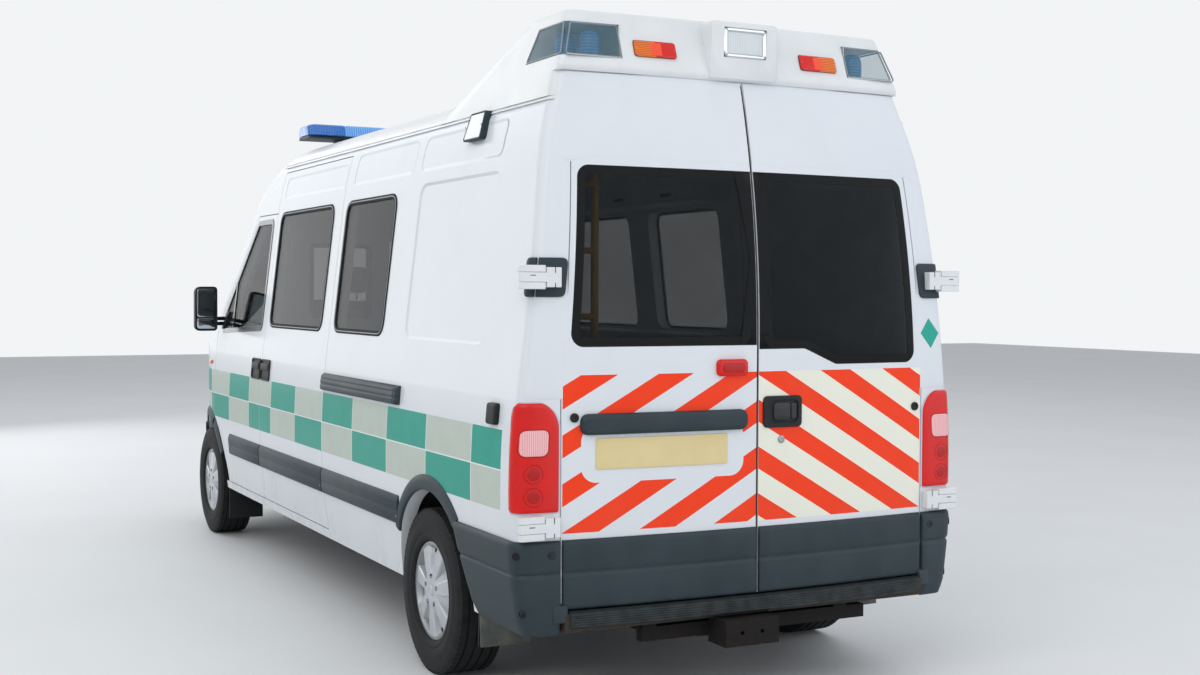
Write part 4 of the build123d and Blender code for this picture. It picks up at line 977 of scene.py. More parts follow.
class Tree:
    """A Geometry Nodes tree with named inputs, run on a form and baked to a plain mesh."""

    def __init__(self, name: str, inputs: Sequence[tuple[str, str]]) -> None:
        """Makes the tree's sockets.

        Args:
            name: The tree's name.
            inputs: Each input's name and socket type, after the geometry.
        """
        self.tree = bpy.data.node_groups.new(name, "GeometryNodeTree")
        self.tree.interface.new_socket("Part", in_out="INPUT", socket_type="NodeSocketGeometry")
        self.sockets = {}
        for label, kind in inputs:
            self.sockets[label] = self.tree.interface.new_socket(
                label, in_out="INPUT", socket_type="NodeSocket" + kind)
        self.tree.interface.new_socket("Made", in_out="OUTPUT", socket_type="NodeSocketGeometry")
        self.start = self.add("NodeGroupInput").outputs
        self.end = self.add("NodeGroupOutput")

    def add(self, kind: str, settings: dict | None = None, links: dict | None = None) -> bpy.types.Node:
        """Adds a node with its settings and links, and returns it."""
        node = self.tree.nodes.new(kind)
        for key, value in (settings or {}).items():
            if key in node.inputs:
                node.inputs[key].default_value = value
            else:
                setattr(node, key, value)
        for key, socket in (links or {}).items():
            self.tree.links.new(socket, node.inputs[key])
        return node

    def close(self, made: bpy.types.NodeSocket) -> None:
        """Ends the tree in Realize Instances and Set Material."""
        real = self.add("GeometryNodeRealizeInstances", None, {"Geometry": made})
        dressed = self.add("GeometryNodeSetMaterial", None,
                           {"Geometry": real.outputs[0], "Material": self.start["Finish"]})
        self.tree.links.new(dressed.outputs[0], self.end.inputs[0])

    def run(self, name: str, body: str, mesh: bpy.types.Mesh, values: dict, slot: str = "",
            sharp: float = 38.0) -> bpy.types.Object:
        """Runs the tree on a mesh and keeps the result as a plain piece.

        Args:
            name: The piece's name.
            body: The body that it rides on.
            mesh: What the tree starts from.
            values: The inputs by name.
            slot: The record's material slot.
            sharp: Angle in degrees from which an edge stays sharp.

        Returns:
            The piece.
        """
        source = bpy.data.objects.new(name + "_source", mesh)
        bpy.context.scene.collection.objects.link(source)
        modifier = source.modifiers.new("make", "NODES")
        modifier.node_group = self.tree
        for label, value in values.items():
            modifier[self.sockets[label].identifier] = value
        seen = source.evaluated_get(bpy.context.evaluated_depsgraph_get())
        made = bpy.data.meshes.new_from_object(seen)
        bpy.data.objects.remove(source)
        for polygon in made.polygons:
            polygon.use_smooth = True
        made.set_sharp_from_angle(angle=math.radians(sharp))
        piece = bpy.data.objects.new(name, made)
        bpy.context.scene.collection.objects.link(piece)
        settle(piece, body, slot)
        return piece


class Copies(Tree):
    """Copies of one part, each a step and a turn further on than the last."""

    def __init__(self) -> None:
        """Builds the tree."""
        super().__init__("copies_in_step", [("Count", "Int"), ("Step", "Vector"), ("Turn", "Vector"),
                                            ("Centre", "Vector"), ("Finish", "Material")])
        back = self.add("ShaderNodeVectorMath", {"operation": "SCALE", "Scale": -1.0},
                        {0: self.start["Centre"]})
        part = self.add("GeometryNodeTransform", None,
                        {"Geometry": self.start["Part"], "Translation": back.outputs[0]})
        index = self.add("GeometryNodeInputIndex")
        step = self.add("ShaderNodeVectorMath", {"operation": "SCALE"},
                        {0: self.start["Step"], "Scale": index.outputs[0]})
        place = self.add("ShaderNodeVectorMath", {"operation": "ADD"},
                         {0: step.outputs[0], 1: self.start["Centre"]})
        turn = self.add("ShaderNodeVectorMath", {"operation": "SCALE"},
                        {0: self.start["Turn"], "Scale": index.outputs[0]})
        points = self.add("GeometryNodePoints", None,
                          {"Count": self.start["Count"], "Position": place.outputs[0]})
        copies = self.add("GeometryNodeInstanceOnPoints", None,
                          {"Points": points.outputs[0], "Instance": part.outputs[0],
                           "Rotation": turn.outputs[0]})
        self.close(copies.outputs[0])

    def make(self, name: str, body: str, form: Form, finish: bpy.types.Material, count: int,
             step: Point = (0, 0, 0), turn: Point = (0, 0, 0), centre: Point = (0, 0, 0),
             slot: str = "") -> bpy.types.Object:
        """Makes the copies as one piece.

        Args:
            name: The piece's name.
            body: The body that it rides on.
            form: The part, at the first copy's place.
            finish: Its material.
            count: How many there are.
            step: From one copy to the next, in millimetres.
            turn: The turn from one to the next, in degrees about X, Y and Z.
            centre: The place that they turn about.
            slot: The record's material slot.

        Returns:
            The piece.
        """
        mesh = bpy.data.meshes.new(name + "_part")
        mesh.from_pydata([metres(p) for p in form.points], [], form.faces)
        values = {"Count": count, "Step": [s / 1000 for s in step], "Turn": [math.radians(t) for t in turn],
                  "Centre": list(metres(centre)), "Finish": finish}
        return self.run(name, body, mesh, values, slot)


class Bead(Tree):
    """A round bead, rod or cord that follows a path."""

    def __init__(self) -> None:
        """Builds the tree."""
        super().__init__("bead_along_path", [("Radius", "Float"), ("Sides", "Int"), ("Finish", "Material")])
        path = self.add("GeometryNodeMeshToCurve", None, {"Mesh": self.start["Part"]})
        round_ = self.add("GeometryNodeCurvePrimitiveCircle", None,
                          {"Radius": self.start["Radius"], "Resolution": self.start["Sides"]})
        tube = self.add("GeometryNodeCurveToMesh", {"Fill Caps": True},
                        {"Curve": path.outputs[0], "Profile Curve": round_.outputs[0]})
        self.close(tube.outputs[0])

    def make(self, name: str, body: str, paths: Sequence[Sequence[Point]], radius: float,
             finish: bpy.types.Material, closed: bool = False, sides: int = 10,
             slot: str = "") -> bpy.types.Object:
        """Makes a bead along every path as one piece.

        Args:
            name: The piece's name.
            body: The body that it rides on.
            paths: The paths in millimetres.
            radius: The bead's radius in millimetres.
            finish: Its material.
            closed: Whether each path joins its start.
            sides: Sides of the round.
            slot: The record's material slot.

        Returns:
            The piece.
        """
        points, edges = [], []
        for path in paths:
            first = len(points)
            points += [metres(p) for p in path]
            edges += [(first + i, first + i + 1) for i in range(len(path) - 1)]
            if closed:
                edges.append((first + len(path) - 1, first))
        mesh = bpy.data.meshes.new(name + "_path")
        mesh.from_pydata(points, edges, [])
        return self.run(name, body, mesh, {"Radius": radius / 1000, "Sides": sides, "Finish": finish},
                        slot, sharp=60.0)


copies = Copies()
beads = Bead()


@dataclass
class RearDoorFittings:
    """Cladding, hinges, grab bar, latch, plate and lamps of the two rear doors.

    Attributes:
        meeting: Half the gap between the doors.
        edge_y: Where the doors end.
        cladding_z: Bottom and top of the cladding.
        crease_z: Height of the crease across it.
        hinge_z: Bottom and top of each hinge's backing plate.
        hinge_axis: X and Y of the left door's hinge pins.
        plate: Y and Z limits of the blank plate.
        bar: Y and Z limits of the grab bar.
    """

    meeting: float = 5.0
    edge_y: float = 820.0
    cladding_z: tuple[float, float] = (436.5, 690.0)
    crease_z: float = 568.0
    hinge_z: tuple[tuple[float, float], ...] = ((1574.0, 1717.0), (699.0, 785.0))
    hinge_axis: Flat = (-972.0, 984.0)
    plate: tuple[float, float, float, float] = (136.0, 687.0, 942.0, 1057.0)
    bar: tuple[float, float, float, float] = (52.0, 750.0, 1070.0, 1148.0)

    def cladding(self) -> Form:
        """Returns the left door's cladding: two soft swells with a crease between them."""
        low, high = self.cladding_z
        crease = self.crease_z
        profile = [(low, 0.5), (low, 9), (low + 3, 12.5), (low + 10, 14), (crease - 16, 14),
                   (crease - 7, 12.5), (crease - 2, 9), (crease + 3, 8.6), (crease + 9, 12),
                   (crease + 18, 13.8), (high - 22, 13.2), (high - 8, 11), (high - 2, 7), (high, 3),
                   (high, 0.5)]
        stations = [(self.meeting + 1, 0.35), (self.meeting + 3, 0.8), (self.meeting + 8, 1.0)]
        stations += [(y, 1.0) for y in range(60, 801, 74)]
        stations += [(self.edge_y - 9, 1.0), (self.edge_y - 3, 0.8), (self.edge_y - 1, 0.35)]
        rows = [[skin.rear(y, z, 0.5 + (out - 0.5) * full) for z, out in profile] for y, full in stations]
        return Form().rows(rows, wrap=True, caps=True)

    def hinge_arm(self, z0: float, z1: float) -> Form:
        """Returns the moving half of a hinge: a block on the door and the arm that reaches the pin."""
        pin_x, pin_y = self.hinge_axis
        middle = (z0 + z1) / 2
        tip = [(pin_x + 17.5 * math.cos(a), pin_y + 17.5 * math.sin(a))
               for a in (math.pi * k / 8 for k in range(9))]
        inner = [(max(skin.rear_x(y, middle) - 1, pin_x + 12), y) for y in (905, 880, 838)]
        plan = [(pin_x - 17.5, 838)] + list(reversed(tip)) + [(pin_x + 14, 930)] + inner
        form = Form().rows([[(x, y, z) for x, y in plan] for z in (middle - 17.4, middle + 17.4)],
                           wrap=True, caps=True)
        block = [(pin_x - 17.4, 837.6), (pin_x - 17.4, 897)] + [(skin.rear_x(y, middle) - 1, y)
                                                                for y in (897, 868, 837.6)]
        return form.rows([[(x, y, z) for x, y in block] for z in (middle - 36, middle + 36)], wrap=True,
                         caps=True)

    def hinge_post(self, z0: float, z1: float) -> Form:
        """Returns the fixed half: the two cheeks over the body's ears."""
        pin_x, pin_y = self.hinge_axis
        middle = (z0 + z1) / 2
        tip = [(pin_x + 17.5 * math.cos(a), pin_y + 17.5 * math.sin(a))
               for a in (math.pi * k / 8 for k in range(9))]
        side = min(skin.half_width(middle), 975) - 6
        plan = [(pin_x - 17.5, 901)] + list(reversed(tip)) + [(pin_x + 90, side), (pin_x + 90, 898),
                                                              (pin_x + 20, 898)]
        form = Form()
        for low in (middle - 43.2, middle + 18.2):
            form.rows([[(x, y, z) for x, y in plan] for z in (low, low + 25)], wrap=True, caps=True)
        return form

    def hinge_slot_shadows(self, z0: float, z1: float) -> Form:
        """Returns black blocks set into the hinge block's faces as painted shade where its slots are."""
        pin_x, _ = self.hinge_axis
        middle = (z0 + z1) / 2
        form = Form().box((pin_x - 17.9, 862, middle + 15), (pin_x - 14, 865, middle + 36.4))
        form.box((pin_x - 17.9, 862, middle - 36.4), (pin_x - 14, 865, middle - 20))
        return form.box((pin_x - 17.9, 940, middle + 5), (pin_x - 14, 962, middle + 8))

    def hinge_plate(self, z0: float, z1: float, start: float, end: float, radii: Sequence[float],
                    low: float) -> Form:
        """Returns one half of the dark plate behind a hinge, bent round the corner.

        Args:
            z0: Its bottom.
            z1: Its top.
            start: Its inner edge, as a distance from where the corner starts to turn.
            end: Its outer edge.
            radii: Its corners' radii.
            low: How far out its back lies.

        Returns:
            The form.
        """
        outline = rounded([(start, z0), (end, z0), (end, z1), (start, z1)], radii, 6)
        dense = stretched(outline, 14)
        return Form().slab(dense, skin.wrap, low, 10.5, 4.0)

    def side_skin(self) -> Form:
        """Returns the door's outer flange: its skin laps over the corner post, above the lamp."""
        rows = []
        lintel, corner = 2078.0, 56.0
        curve = [lintel - corner * math.cos(math.pi * k / 16) for k in range(9)]
        heights = [1204, 1208] + list(range(1240, 2011, 70)) + curve
        heights += [lintel + rise for rise in (0.5, 4, 8, 12, 16, 20, 24)]
        heights += [2140, 2200, 2260, 2290, 2300, 2340, 2380, 2400, 2411, 2413.4]
        for k, z in enumerate(heights):
            dip = min(max(z - (lintel - corner), 0), corner)
            start = 797 - corner + math.sqrt(corner ** 2 - dip ** 2) if z <= lintel else self.meeting + 1.5
            hub = skin.half_width(z) - Skin.CORNER
            first, last = start - hub, 33.0
            ease = 0.3 if k in (0, len(heights) - 1) else 1.0
            spots = [first + 2.5 * j for j in range(11)]
            spots += [first + 25 + (-6 - first - 25) * j / 8 for j in range(1, 9)]
            outs = [(t, self.lap(hub + t, z, lintel, corner)) for t in spots]
            outs += [(-6 + 39 * j / 9, 1.9) for j in range(1, 9)] + [(last, 1.5), (last, 0.1)]
            outs += [(last - 39 * j / 4, 0.1) for j in range(1, 5)]
            outs += [(first + (-6 - first) * (6 - j) / 6, 0.1 if j < 3 else -0.7) for j in range(1, 6)]
            rows.append([skin.wrap(t, z, 0.1 + (out - 0.1) * ease) for t, out in outs])
        return Form().rows(rows, wrap=True, caps=True)

    def lap(self, y: float, z: float, lintel: float, corner: float) -> float:
        """Returns how far the lapping skin stands out: nothing at the window's side, rising over 24 mm.

        Args:
            y: Distance from the middle.
            z: Height.
            lintel: Height of its lower edge over the window.
            corner: Radius of the corner between that edge and its upright one.

        Returns:
            The distance in millimetres.
        """
        inside = math.hypot(max(y - 797 + corner, 0), max(z - lintel + corner, 0)) - corner
        share = min(max(inside / 24, 0), 1)
        return -0.4 + 2.3 * share * share * (3 - 2 * share)

    def grab_bar(self) -> Form:
        """Returns the long grab bar with its rounded ends and softly domed face."""
        y0, y1, z0, z1 = self.bar
        outline = rounded([(y0, z0), (y1, z0), (y1, z1), (y0, z1)], 34, 8)
        return Form().slab(stretched(outline, 60), skin.rear, 0.5, 24.0, 15.0, 2.0)

    def latch(self) -> tuple[Form, Form]:
        """Returns the right door's latch bezel with its recess, and the paddle in it."""
        outer = rounded([(24, 1071), (204, 1071), (204, 1194), (24, 1194)], 22, 6)
        inner = rounded([(52, 1090), (186, 1090), (186, 1176), (52, 1176)], 26, 6)
        bezel = Form().ring(outer, inner, skin.rear, 0.5, 8.5, edge=3.0)
        bezel.slab(inset(inner, -2), skin.rear, 0.4, 1.6, 0.5)
        paddle = Form().slab(rounded([(70, 1098), (150, 1098), (150, 1168), (70, 1168)], 20, 6), skin.rear,
                             1.6, 7.0, 3.0, 1.5)
        paddle.slab(rounded([(154, 1102), (180, 1102), (180, 1164), (154, 1164)], 8, 4), skin.rear, 1.6,
                    5.0, 2.0)
        return bezel.flipped(), paddle.flipped()

    def blank_plate(self) -> Form:
        """Returns the blank number plate."""
        y0, y1, z0, z1 = self.plate
        outline = rounded([(y0, z0), (y1, z0), (y1, z1), (y0, z1)], 7, 4)
        return Form().slab(stretched(outline, 70), skin.rear, 0.5, 4.0, 1.0)

    def build(self) -> None:
        """Makes every piece on both doors."""
        grey, black, enamel = store.get(Finish.BUMPER), store.get(Finish.BLACK), store.get(Livery())
        for side in ("left", "right"):
            body = f"rear_door_{side}"
            turn = (lambda form: form) if side == "left" else (lambda form: form.flipped())
            turn(self.cladding()).make(f"door_cladding_{side}", body, [grey], "grey_plastic",
                                       stands_for=[f"rear_door_trim_{side}"])
            for label, (z0, z1) in zip(("upper", "lower"), self.hinge_z):
                white = store.get(Finish.GELCOAT)
                turn(self.hinge_arm(z0, z1)).make(f"hinge_arm_{label}_{side}", body, [white],
                                                  "white_paint", bevel=2.5)
                turn(self.hinge_post(z0, z1)).make(f"hinge_post_{label}_{side}", "body", [white],
                                                   "white_paint", bevel=2.5)
                # Black blocks as painted shade of the hinge block's slots.
                turn(self.hinge_slot_shadows(z0, z1)).make(f"hinge_slot_shadows_{label}_{side}", body, [black],
                                                    "black_plastic")
            z0, z1 = self.hinge_z[0]
            hub = skin.half_width((z0 + z1) / 2) - Skin.CORNER
            plate = self.hinge_plate(z0, z1, 803 - hub, 31, [24, 3, 3, 24], 1.95)
            turn(plate).make(f"hinge_plate_door_{side}", body, [grey], "grey_plastic")
            plate = self.hinge_plate(z0, z1, 36, 88, [3, 26, 26, 3], 0.4)
            turn(plate).make(f"hinge_plate_post_{side}", "body", [grey], "grey_plastic")
            turn(self.side_skin()).make(f"door_flange_{side}", body, [enamel], "white_paint", sharp=60)
        self.grab_bar().make("rear_grab_bar", "rear_door_left", [grey], "grey_plastic")
        bezel, paddle = self.latch()
        bezel.make("rear_latch_bezel", "rear_door_right", [black], "black_plastic")
        paddle.make("rear_latch_paddle", "rear_door_right", [store.get(Finish.GLOSS_BLACK)],
                    "black_plastic")
        self.blank_plate().make("rear_plate", "rear_door_left", [store.get(Finish.PLATE)])
        high = Form().slab(rounded([(52, 1275), (187, 1275), (187, 1340), (52, 1340)], 22, 8), skin.rear,
                           0.5, 18, 9, 4)
        high.slab(rounded([(70, 1290), (169, 1290), (169, 1326), (70, 1326)], 14, 6), skin.rear, 17, 22, 3,
                  1, coat=1)
        high.make("high_brake_lamp", "rear_door_left", [store.get(RED_LENS), store.get(DEEP_RED_LENS)],
                  "lens_red")
        seal = [(skin.rear_x(0, z) + 4.5, 1.0, z) for z in range(440, 2401, 70)]
        beads.make("door_meeting_seal", "rear_door_left", [seal], 3.6, store.get(Finish.RUBBER),
                   slot="black_plastic")
        buffer = [(0.4, 17), (7, 17), (9, 14), (9, 9), (6, 7), (6, 2)]
        left = Form().turned(buffer, skin.rear(773, 1135), (-1, 0, 0), 24)
        left.make("door_buffer_left", "rear_door_left", [store.get(Finish.RUBBER)], "black_plastic")
        right = Form().turned(buffer, skin.rear(787, 1130), (-1, 0, 0), 24).flipped()
        right.make("door_buffer_right", "rear_door_right", [store.get(Finish.RUBBER)], "black_plastic")
        lock = Form().turned([(0.4, 15), (3, 15), (4.5, 13), (4.5, 8), (3.5, 7.5), (3.5, 1)],
                             skin.rear(-110, 1024), (-1, 0, 0), 24)
        lock.make("rear_lock", "rear_door_right", [store.get(Finish.STEEL)], "steel")
        hub = skin.half_width(1430) - Skin.CORNER
        diamond = [(868 - hub - 50, 1430), (868 - hub, 1368), (868 - hub + 50, 1430), (868 - hub, 1492)]
        points = [tuple(Vector(a).lerp(Vector(b), k / 4))
                  for a, b in zip(diamond, diamond[1:] + diamond[:1]) for k in range(4)]
        form = Form().slab(points, skin.wrap, 1.95, 2.4, 0.2).flipped()
        form.make("green_diamond_right", "rear_door_right", [store.get(Finish.GREEN_VINYL)])


@dataclass
class RearGlazing:
    """The two bonded rear windows: tinted panes with black borders.

    Attributes:
        border: Width of the black border.
        inner_y: Where the panes begin next to the meeting edges.
        edge_y: Where the black border ends beside the meeting line.
    """

    border: float = 34.0
    inner_y: float = 30.3
    edge_y: float = 6.5

    def meeting_strip(self, low: float) -> list[Flat]:
        """Returns the black border from a pane to the meeting edge, square at both ends."""
        top, turn, far = 2061.7, 50.5, self.inner_y + 0.8
        turns = [math.pi / 2 * k / 8 for k in range(9)]
        strip = [(self.edge_y, low), (self.edge_y, top)]
        strip += [(far + turn * (1 - math.cos(a)), top - turn * (1 - math.sin(a))) for a in reversed(turns)]
        strip += [(far + turn * (1 - math.cos(a)), low + turn * (1 - math.sin(a))) for a in turns]
        return stretched(strip, 60)

    def outline(self, stepped: bool) -> list[Flat]:
        """Returns a left-handed pane's outline; the right one steps down outboard."""
        if stepped:
            low = [(785.7, 1312.3), (372, 1312.3), (220, 1376.3), (self.inner_y, 1376.3)]
        else:
            low = [(789.7, 1392.3), (self.inner_y, 1392.3)]
        corners = [(self.inner_y, 2061.7), (737.7, 2061.7)] + low
        return stretched(rounded(corners, 49, 8), 60)

    def build(self) -> None:
        """Makes both panes with their black borders."""
        frit = Coat("ceramic_black_border", "#07090A", "#0E1112", 0.08, 0.02, grain_mm=1.0, grain=0.005,
                    ior=1.3)
        for side, stepped in (("left", False), ("right", True)):
            outer = self.outline(stepped)
            inner = inset(outer, self.border)
            form = Form().ring(outer, inner, skin.rear, -5.5, -0.8, coat=1)
            form.slab(inset(inner, -0.5), skin.rear, -5.0, -1.1, 0.3, coat=0)
            form.slab(self.meeting_strip(1376.3 if stepped else 1392.3), skin.rear, -1.2, 0.9, 0.5, coat=1)
            if side == "right":
                form = form.flipped()
            form.make(f"rear_pane_{side}", f"rear_door_{side}", [store.get(DARK_GLASS), store.get(frit)],
                      "glass", stands_for=[f"rear_glass_{side}"])


@dataclass
class TailLamps:
    """The two tall lamps that wrap round the rear corners.

    Attributes:
        inner_y: Where the lens begins on the rear face.
        outer_x: Where it ends on the side.
        base_z: Its bottom.
        shoulder_z: Where its inner edge starts to curve over.
        top_z: Its top.
    """

    inner_y: float = 826.0
    outer_x: float = -876.0
    base_z: float = 788.0
    shoulder_z: float = 1095.0
    top_z: float = 1197.0

    def edges(self, z: float) -> Flat:
        """Returns the start and end of the lamp round the corner at a height."""
        hub = skin.half_width(z) - Skin.CORNER
        start = self.inner_y - hub
        if z > self.shoulder_z:
            rise = (z - self.shoulder_z) / (self.top_z - self.shoulder_z)
            start += (1 - math.sqrt(max(1 - rise * rise, 0))) * 96
        end = Skin.CORNER * math.pi / 2 + self.outer_x - (skin.rear_x(hub, z) + Skin.CORNER)
        for near, radius in ((self.top_z - z, 62.0), (z - self.base_z, 26.0)):
            if near < radius:
                end -= radius - math.sqrt(max(radius ** 2 - (radius - near) ** 2, 0))
        if z - self.base_z < 16:
            start += 16 - math.sqrt(max(16 ** 2 - (16 - (z - self.base_z)) ** 2, 0))
        return start, end

    def band(self, low: float, high: float, out: float, trim: float, coat: int, form: Form) -> None:
        """Adds one section of the lens between two heights."""
        steps = 40
        rows = []
        for k in range(steps + 1):
            z = (low + high) / 2 - (high - low) / 2 * math.cos(math.pi * k / steps)
            start, end = self.edges(z)
            start, end = start + trim, end - trim
            near = min(z - low, high - z, 16) / 16
            lift = 1.5 + (out - 1.5) * math.sqrt(max(near * (2 - near), 0))
            row = [skin.wrap(start, z, 0.6)]
            for j in range(15):
                s = j / 14
                ease = min(1.0, s * 7, (1 - s) * 7)
                row.append(skin.wrap(start + (end - start) * s, z,
                                     1.5 + (lift - 1.5) * math.sqrt(ease * (2 - ease))))
            row.append(skin.wrap(end, z, 0.6))
            rows.append(row)
        form.rows(rows, coat, wrap=True, caps=True)

    def build(self) -> None:
        """Makes both lamps: a pale base, red sections, and the clear reversing section."""
        finishes = [store.get(Finish.GLOSS_BLACK), store.get(RED_LENS), store.get(DEEP_RED_LENS),
                    store.get(PINK_LENS), store.get(Coat("lamp_edge_moulding", "#CFC9D6", "#BDB6C4", 0.3,
                                                         0.05, grain_mm=3, grain=0.02))]
        for side in ("left", "right"):
            form = Form()
            self.band(self.base_z, self.top_z, 4.0, 0.0, 4, form)
            self.band(self.base_z + 5, self.top_z - 5, 11.5, 5.0, 1, form)
            clear = rounded([(-68, 1000), (34, 1000), (34, 1094), (-68, 1094)], 26, 8)
            form.slab(stretched(clear, 16), skin.wrap, 9, 13.2, 2.5, coat=3)
            form.ring(stretched(inset(clear, -4), 1000), stretched(clear, 1000), skin.wrap, 9, 12.6, coat=2)
            for middle, radius in ((935, 36), (852, 36)):
                circle = [(-17 + radius * math.cos(math.pi * k / 16),
                           middle + radius * math.sin(math.pi * k / 16)) for k in range(32)]
                form.ring(circle, inset(circle, 4), skin.wrap, 9, 12.8, coat=2, edge=1.0)
                form.slab(inset(circle, 12), skin.wrap, 9, 12.4, 2.0, 1.0, coat=2)
            form = form if side == "left" else form.flipped()
            stands = ["tail_lamps"] if side == "left" else []
            form.make(f"tail_lamp_{side}", "body", finishes, "lens_red", stands_for=stands)


@dataclass
class RearBumper:
    """Corner mouldings, the ribbed step between them and the bolts of both.

    Attributes:
        inner_y: Where each corner begins.
        z: Its bottom and top.
        front_x: Its front end at the bottom and at the top.
        half_step: Half the length of the step between the corners.
    """

    inner_y: float = 826.5
    z: tuple[float, float] = (386.5, 690.0)
    front_x: tuple[float, float] = (-485.0, -341.0)
    half_step: float = 799.0

    def corner(self) -> Form:
        """Returns the left corner moulding, creased like the cladding beside it."""
        low, high = self.z
        profile = [(343.5, 0.6), (343.5, 4), (352, 7), (low - 12, 13), (low + 4, 16.5), (low + 14, 18.4),
                   (461, 19.5), (552, 19.5), (561, 17.5), (566, 13), (571, 12.6), (577, 17), (586, 19.3),
                   (high - 24, 18.4), (high - 9, 15), (high - 2, 9.5), (high, 4), (high, 0.6)]
        rows = []
        shares = [0.0, 0.006, 0.02] + [0.04 + 0.92 * k / 34 for k in range(35)] + [0.985, 0.996, 1.0]
        for k, share in enumerate(shares):
            row = []
            ease = 0.3 if k in (0, len(shares) - 1) else 0.75 if k in (1, len(shares) - 2) else 1.0
            for z, out in profile:
                hub = skin.half_width(z) - Skin.CORNER
                start = self.inner_y - hub
                front = self.front_x[0] + (self.front_x[1] - self.front_x[0]) * (z - low) / (high - low)
                end = Skin.CORNER * math.pi / 2 + front - (skin.rear_x(hub, z) + Skin.CORNER)
                row.append(skin.wrap(start + (end - start) * share, z, 0.6 + (out - 0.6) * ease))
            rows.append(row)
        return Form().rows(rows, wrap=True, caps=True)

    def toe(self) -> Form:
        """Returns the small step at the inboard foot of the corner."""
        rows = []
        for y, full in ((803, 0.7), (808, 1.0), (822, 1.0), (845, 1.0), (860, 0.8)):
            profile = [(388, 2), (388, 18 * full), (394, 26 * full), (440, 26 * full), (452, 20 * full),
                       (458, 2)]
            rows.append([skin.rear(y, z, out) for z, out in profile])
        return Form().rows(rows, wrap=True, caps=True)

    def step(self) -> Form:
        """Returns the aluminium step's rounded nosing."""
        half = self.half_step
        profile = [(368, 4), (368, 22), (371, 28)]
        for k in range(6):
            profile += [(374 + 8.6 * k, 31.5), (379 + 8.6 * k, 31.5), (380 + 8.6 * k, 29),
                        (381.6 + 8.6 * k, 29)]
        profile += [(426, 30.5), (430, 22), (430, 4)]
        rows = []
        for y in [-half, -half + 4] + [-half + 40 + (2 * half - 80) * k / 22
                                       for k in range(23)] + [half - 4, half]:
            ease = 0.8 if abs(y) > half - 2 else 1.0
            rows.append([skin.rear(y, z, out * ease) for z, out in profile])
        return Form().rows(rows, wrap=True, caps=True)

    def build(self) -> None:
        """Makes the corners, the step with black slabs painted as the shade of its slots, and the bolts."""
        grey = store.get(Finish.BUMPER)
        self.corner().make("bumper_corner_left", "body", [grey], "grey_plastic", stands_for=["rear_bumper"])
        self.corner().flipped().make("bumper_corner_right", "body", [grey], "grey_plastic")
        self.toe().make("bumper_toe_left", "body", [grey], "grey_plastic")
        self.toe().flipped().make("bumper_toe_right", "body", [grey], "grey_plastic")
        self.step().make("rear_step_nosing", "body", [store.get(Finish.TREAD)], "aluminium",
                         stands_for=["rear_step"])
        beam = Form().box((-985, -818, 352), (-860, 818, 424))
        beam.make("rear_cross_beam", "body", [store.get(Finish.CHASSIS)], "chassis_black", bevel=4)
        # Thin black slabs on the step's nosing, painted shade standing for its slots.
        slot = Form().slab(rounded([(-770, 404), (-716, 404), (-716, 411), (-770, 411)], 3.2, 4),
                           skin.rear, 31.0, 32.0, 0.3)
        dark = store.get(Finish.BLACK)
        copies.make("step_slot_shadows", "body", slot, dark, 22, (0, 70.8, 0), slot="black_plastic")
        bolts = Form()
        for z in (430, 640):
            for t in (-78, 42):
                base = Vector(skin.wrap(t, z, 19.0))
                axis = (base - Vector(skin.wrap(t, z, 0.0))).normalized()
                bolts.turned([(-2, 15), (1.2, 15), (1.6, 12), (-1.5, 10), (-1.5, 6), (1.0, 5.5), (1.4, 1)],
                             tuple(base), tuple(axis), 20)
        bolts.both_sides().make("bumper_bolts", "body", [dark], "black_plastic")


@dataclass
class TowBracket:
    """The heavy bracket under the step, with its two gussets.

    Attributes:
        face_x: Rear end of its gussets.
        root_x: Their front end.
        foot_z: Height of their lower edges.
        middle_y: Middle of the bracket.
        half: From the middle to each gusset.
        plate: Thickness of a gusset.
    """

    face_x: float = -1060.0
    root_x: float = -940.0
    foot_z: float = 348.0
    middle_y: float = 60.0
    half: float = 118.0
    plate: float = 5.0

    def build(self) -> None:
        """Dresses the CAD bracket and makes the gussets on it."""
        rusty = store.get(Finish.RUSTY)
        dress("tow_bar", rusty)
        low = self.foot_z
        outline = [(self.face_x, low), (self.root_x, low), (self.root_x, low + 14),
                   (self.face_x + 60, low + 8)]
        faces = [(0, 1, 2, 3), (7, 6, 5, 4), (0, 4, 5, 1), (1, 5, 6, 2), (2, 6, 7, 3), (3, 7, 4, 0)]
        gussets = Form()
        for y in (self.middle_y - self.half, self.middle_y + self.half):
            gussets.add([(x, y + side, z) for side in (0.0, self.plate) for x, z in outline], faces)
        gussets.make("tow_gussets", "body", [rusty], "steel")


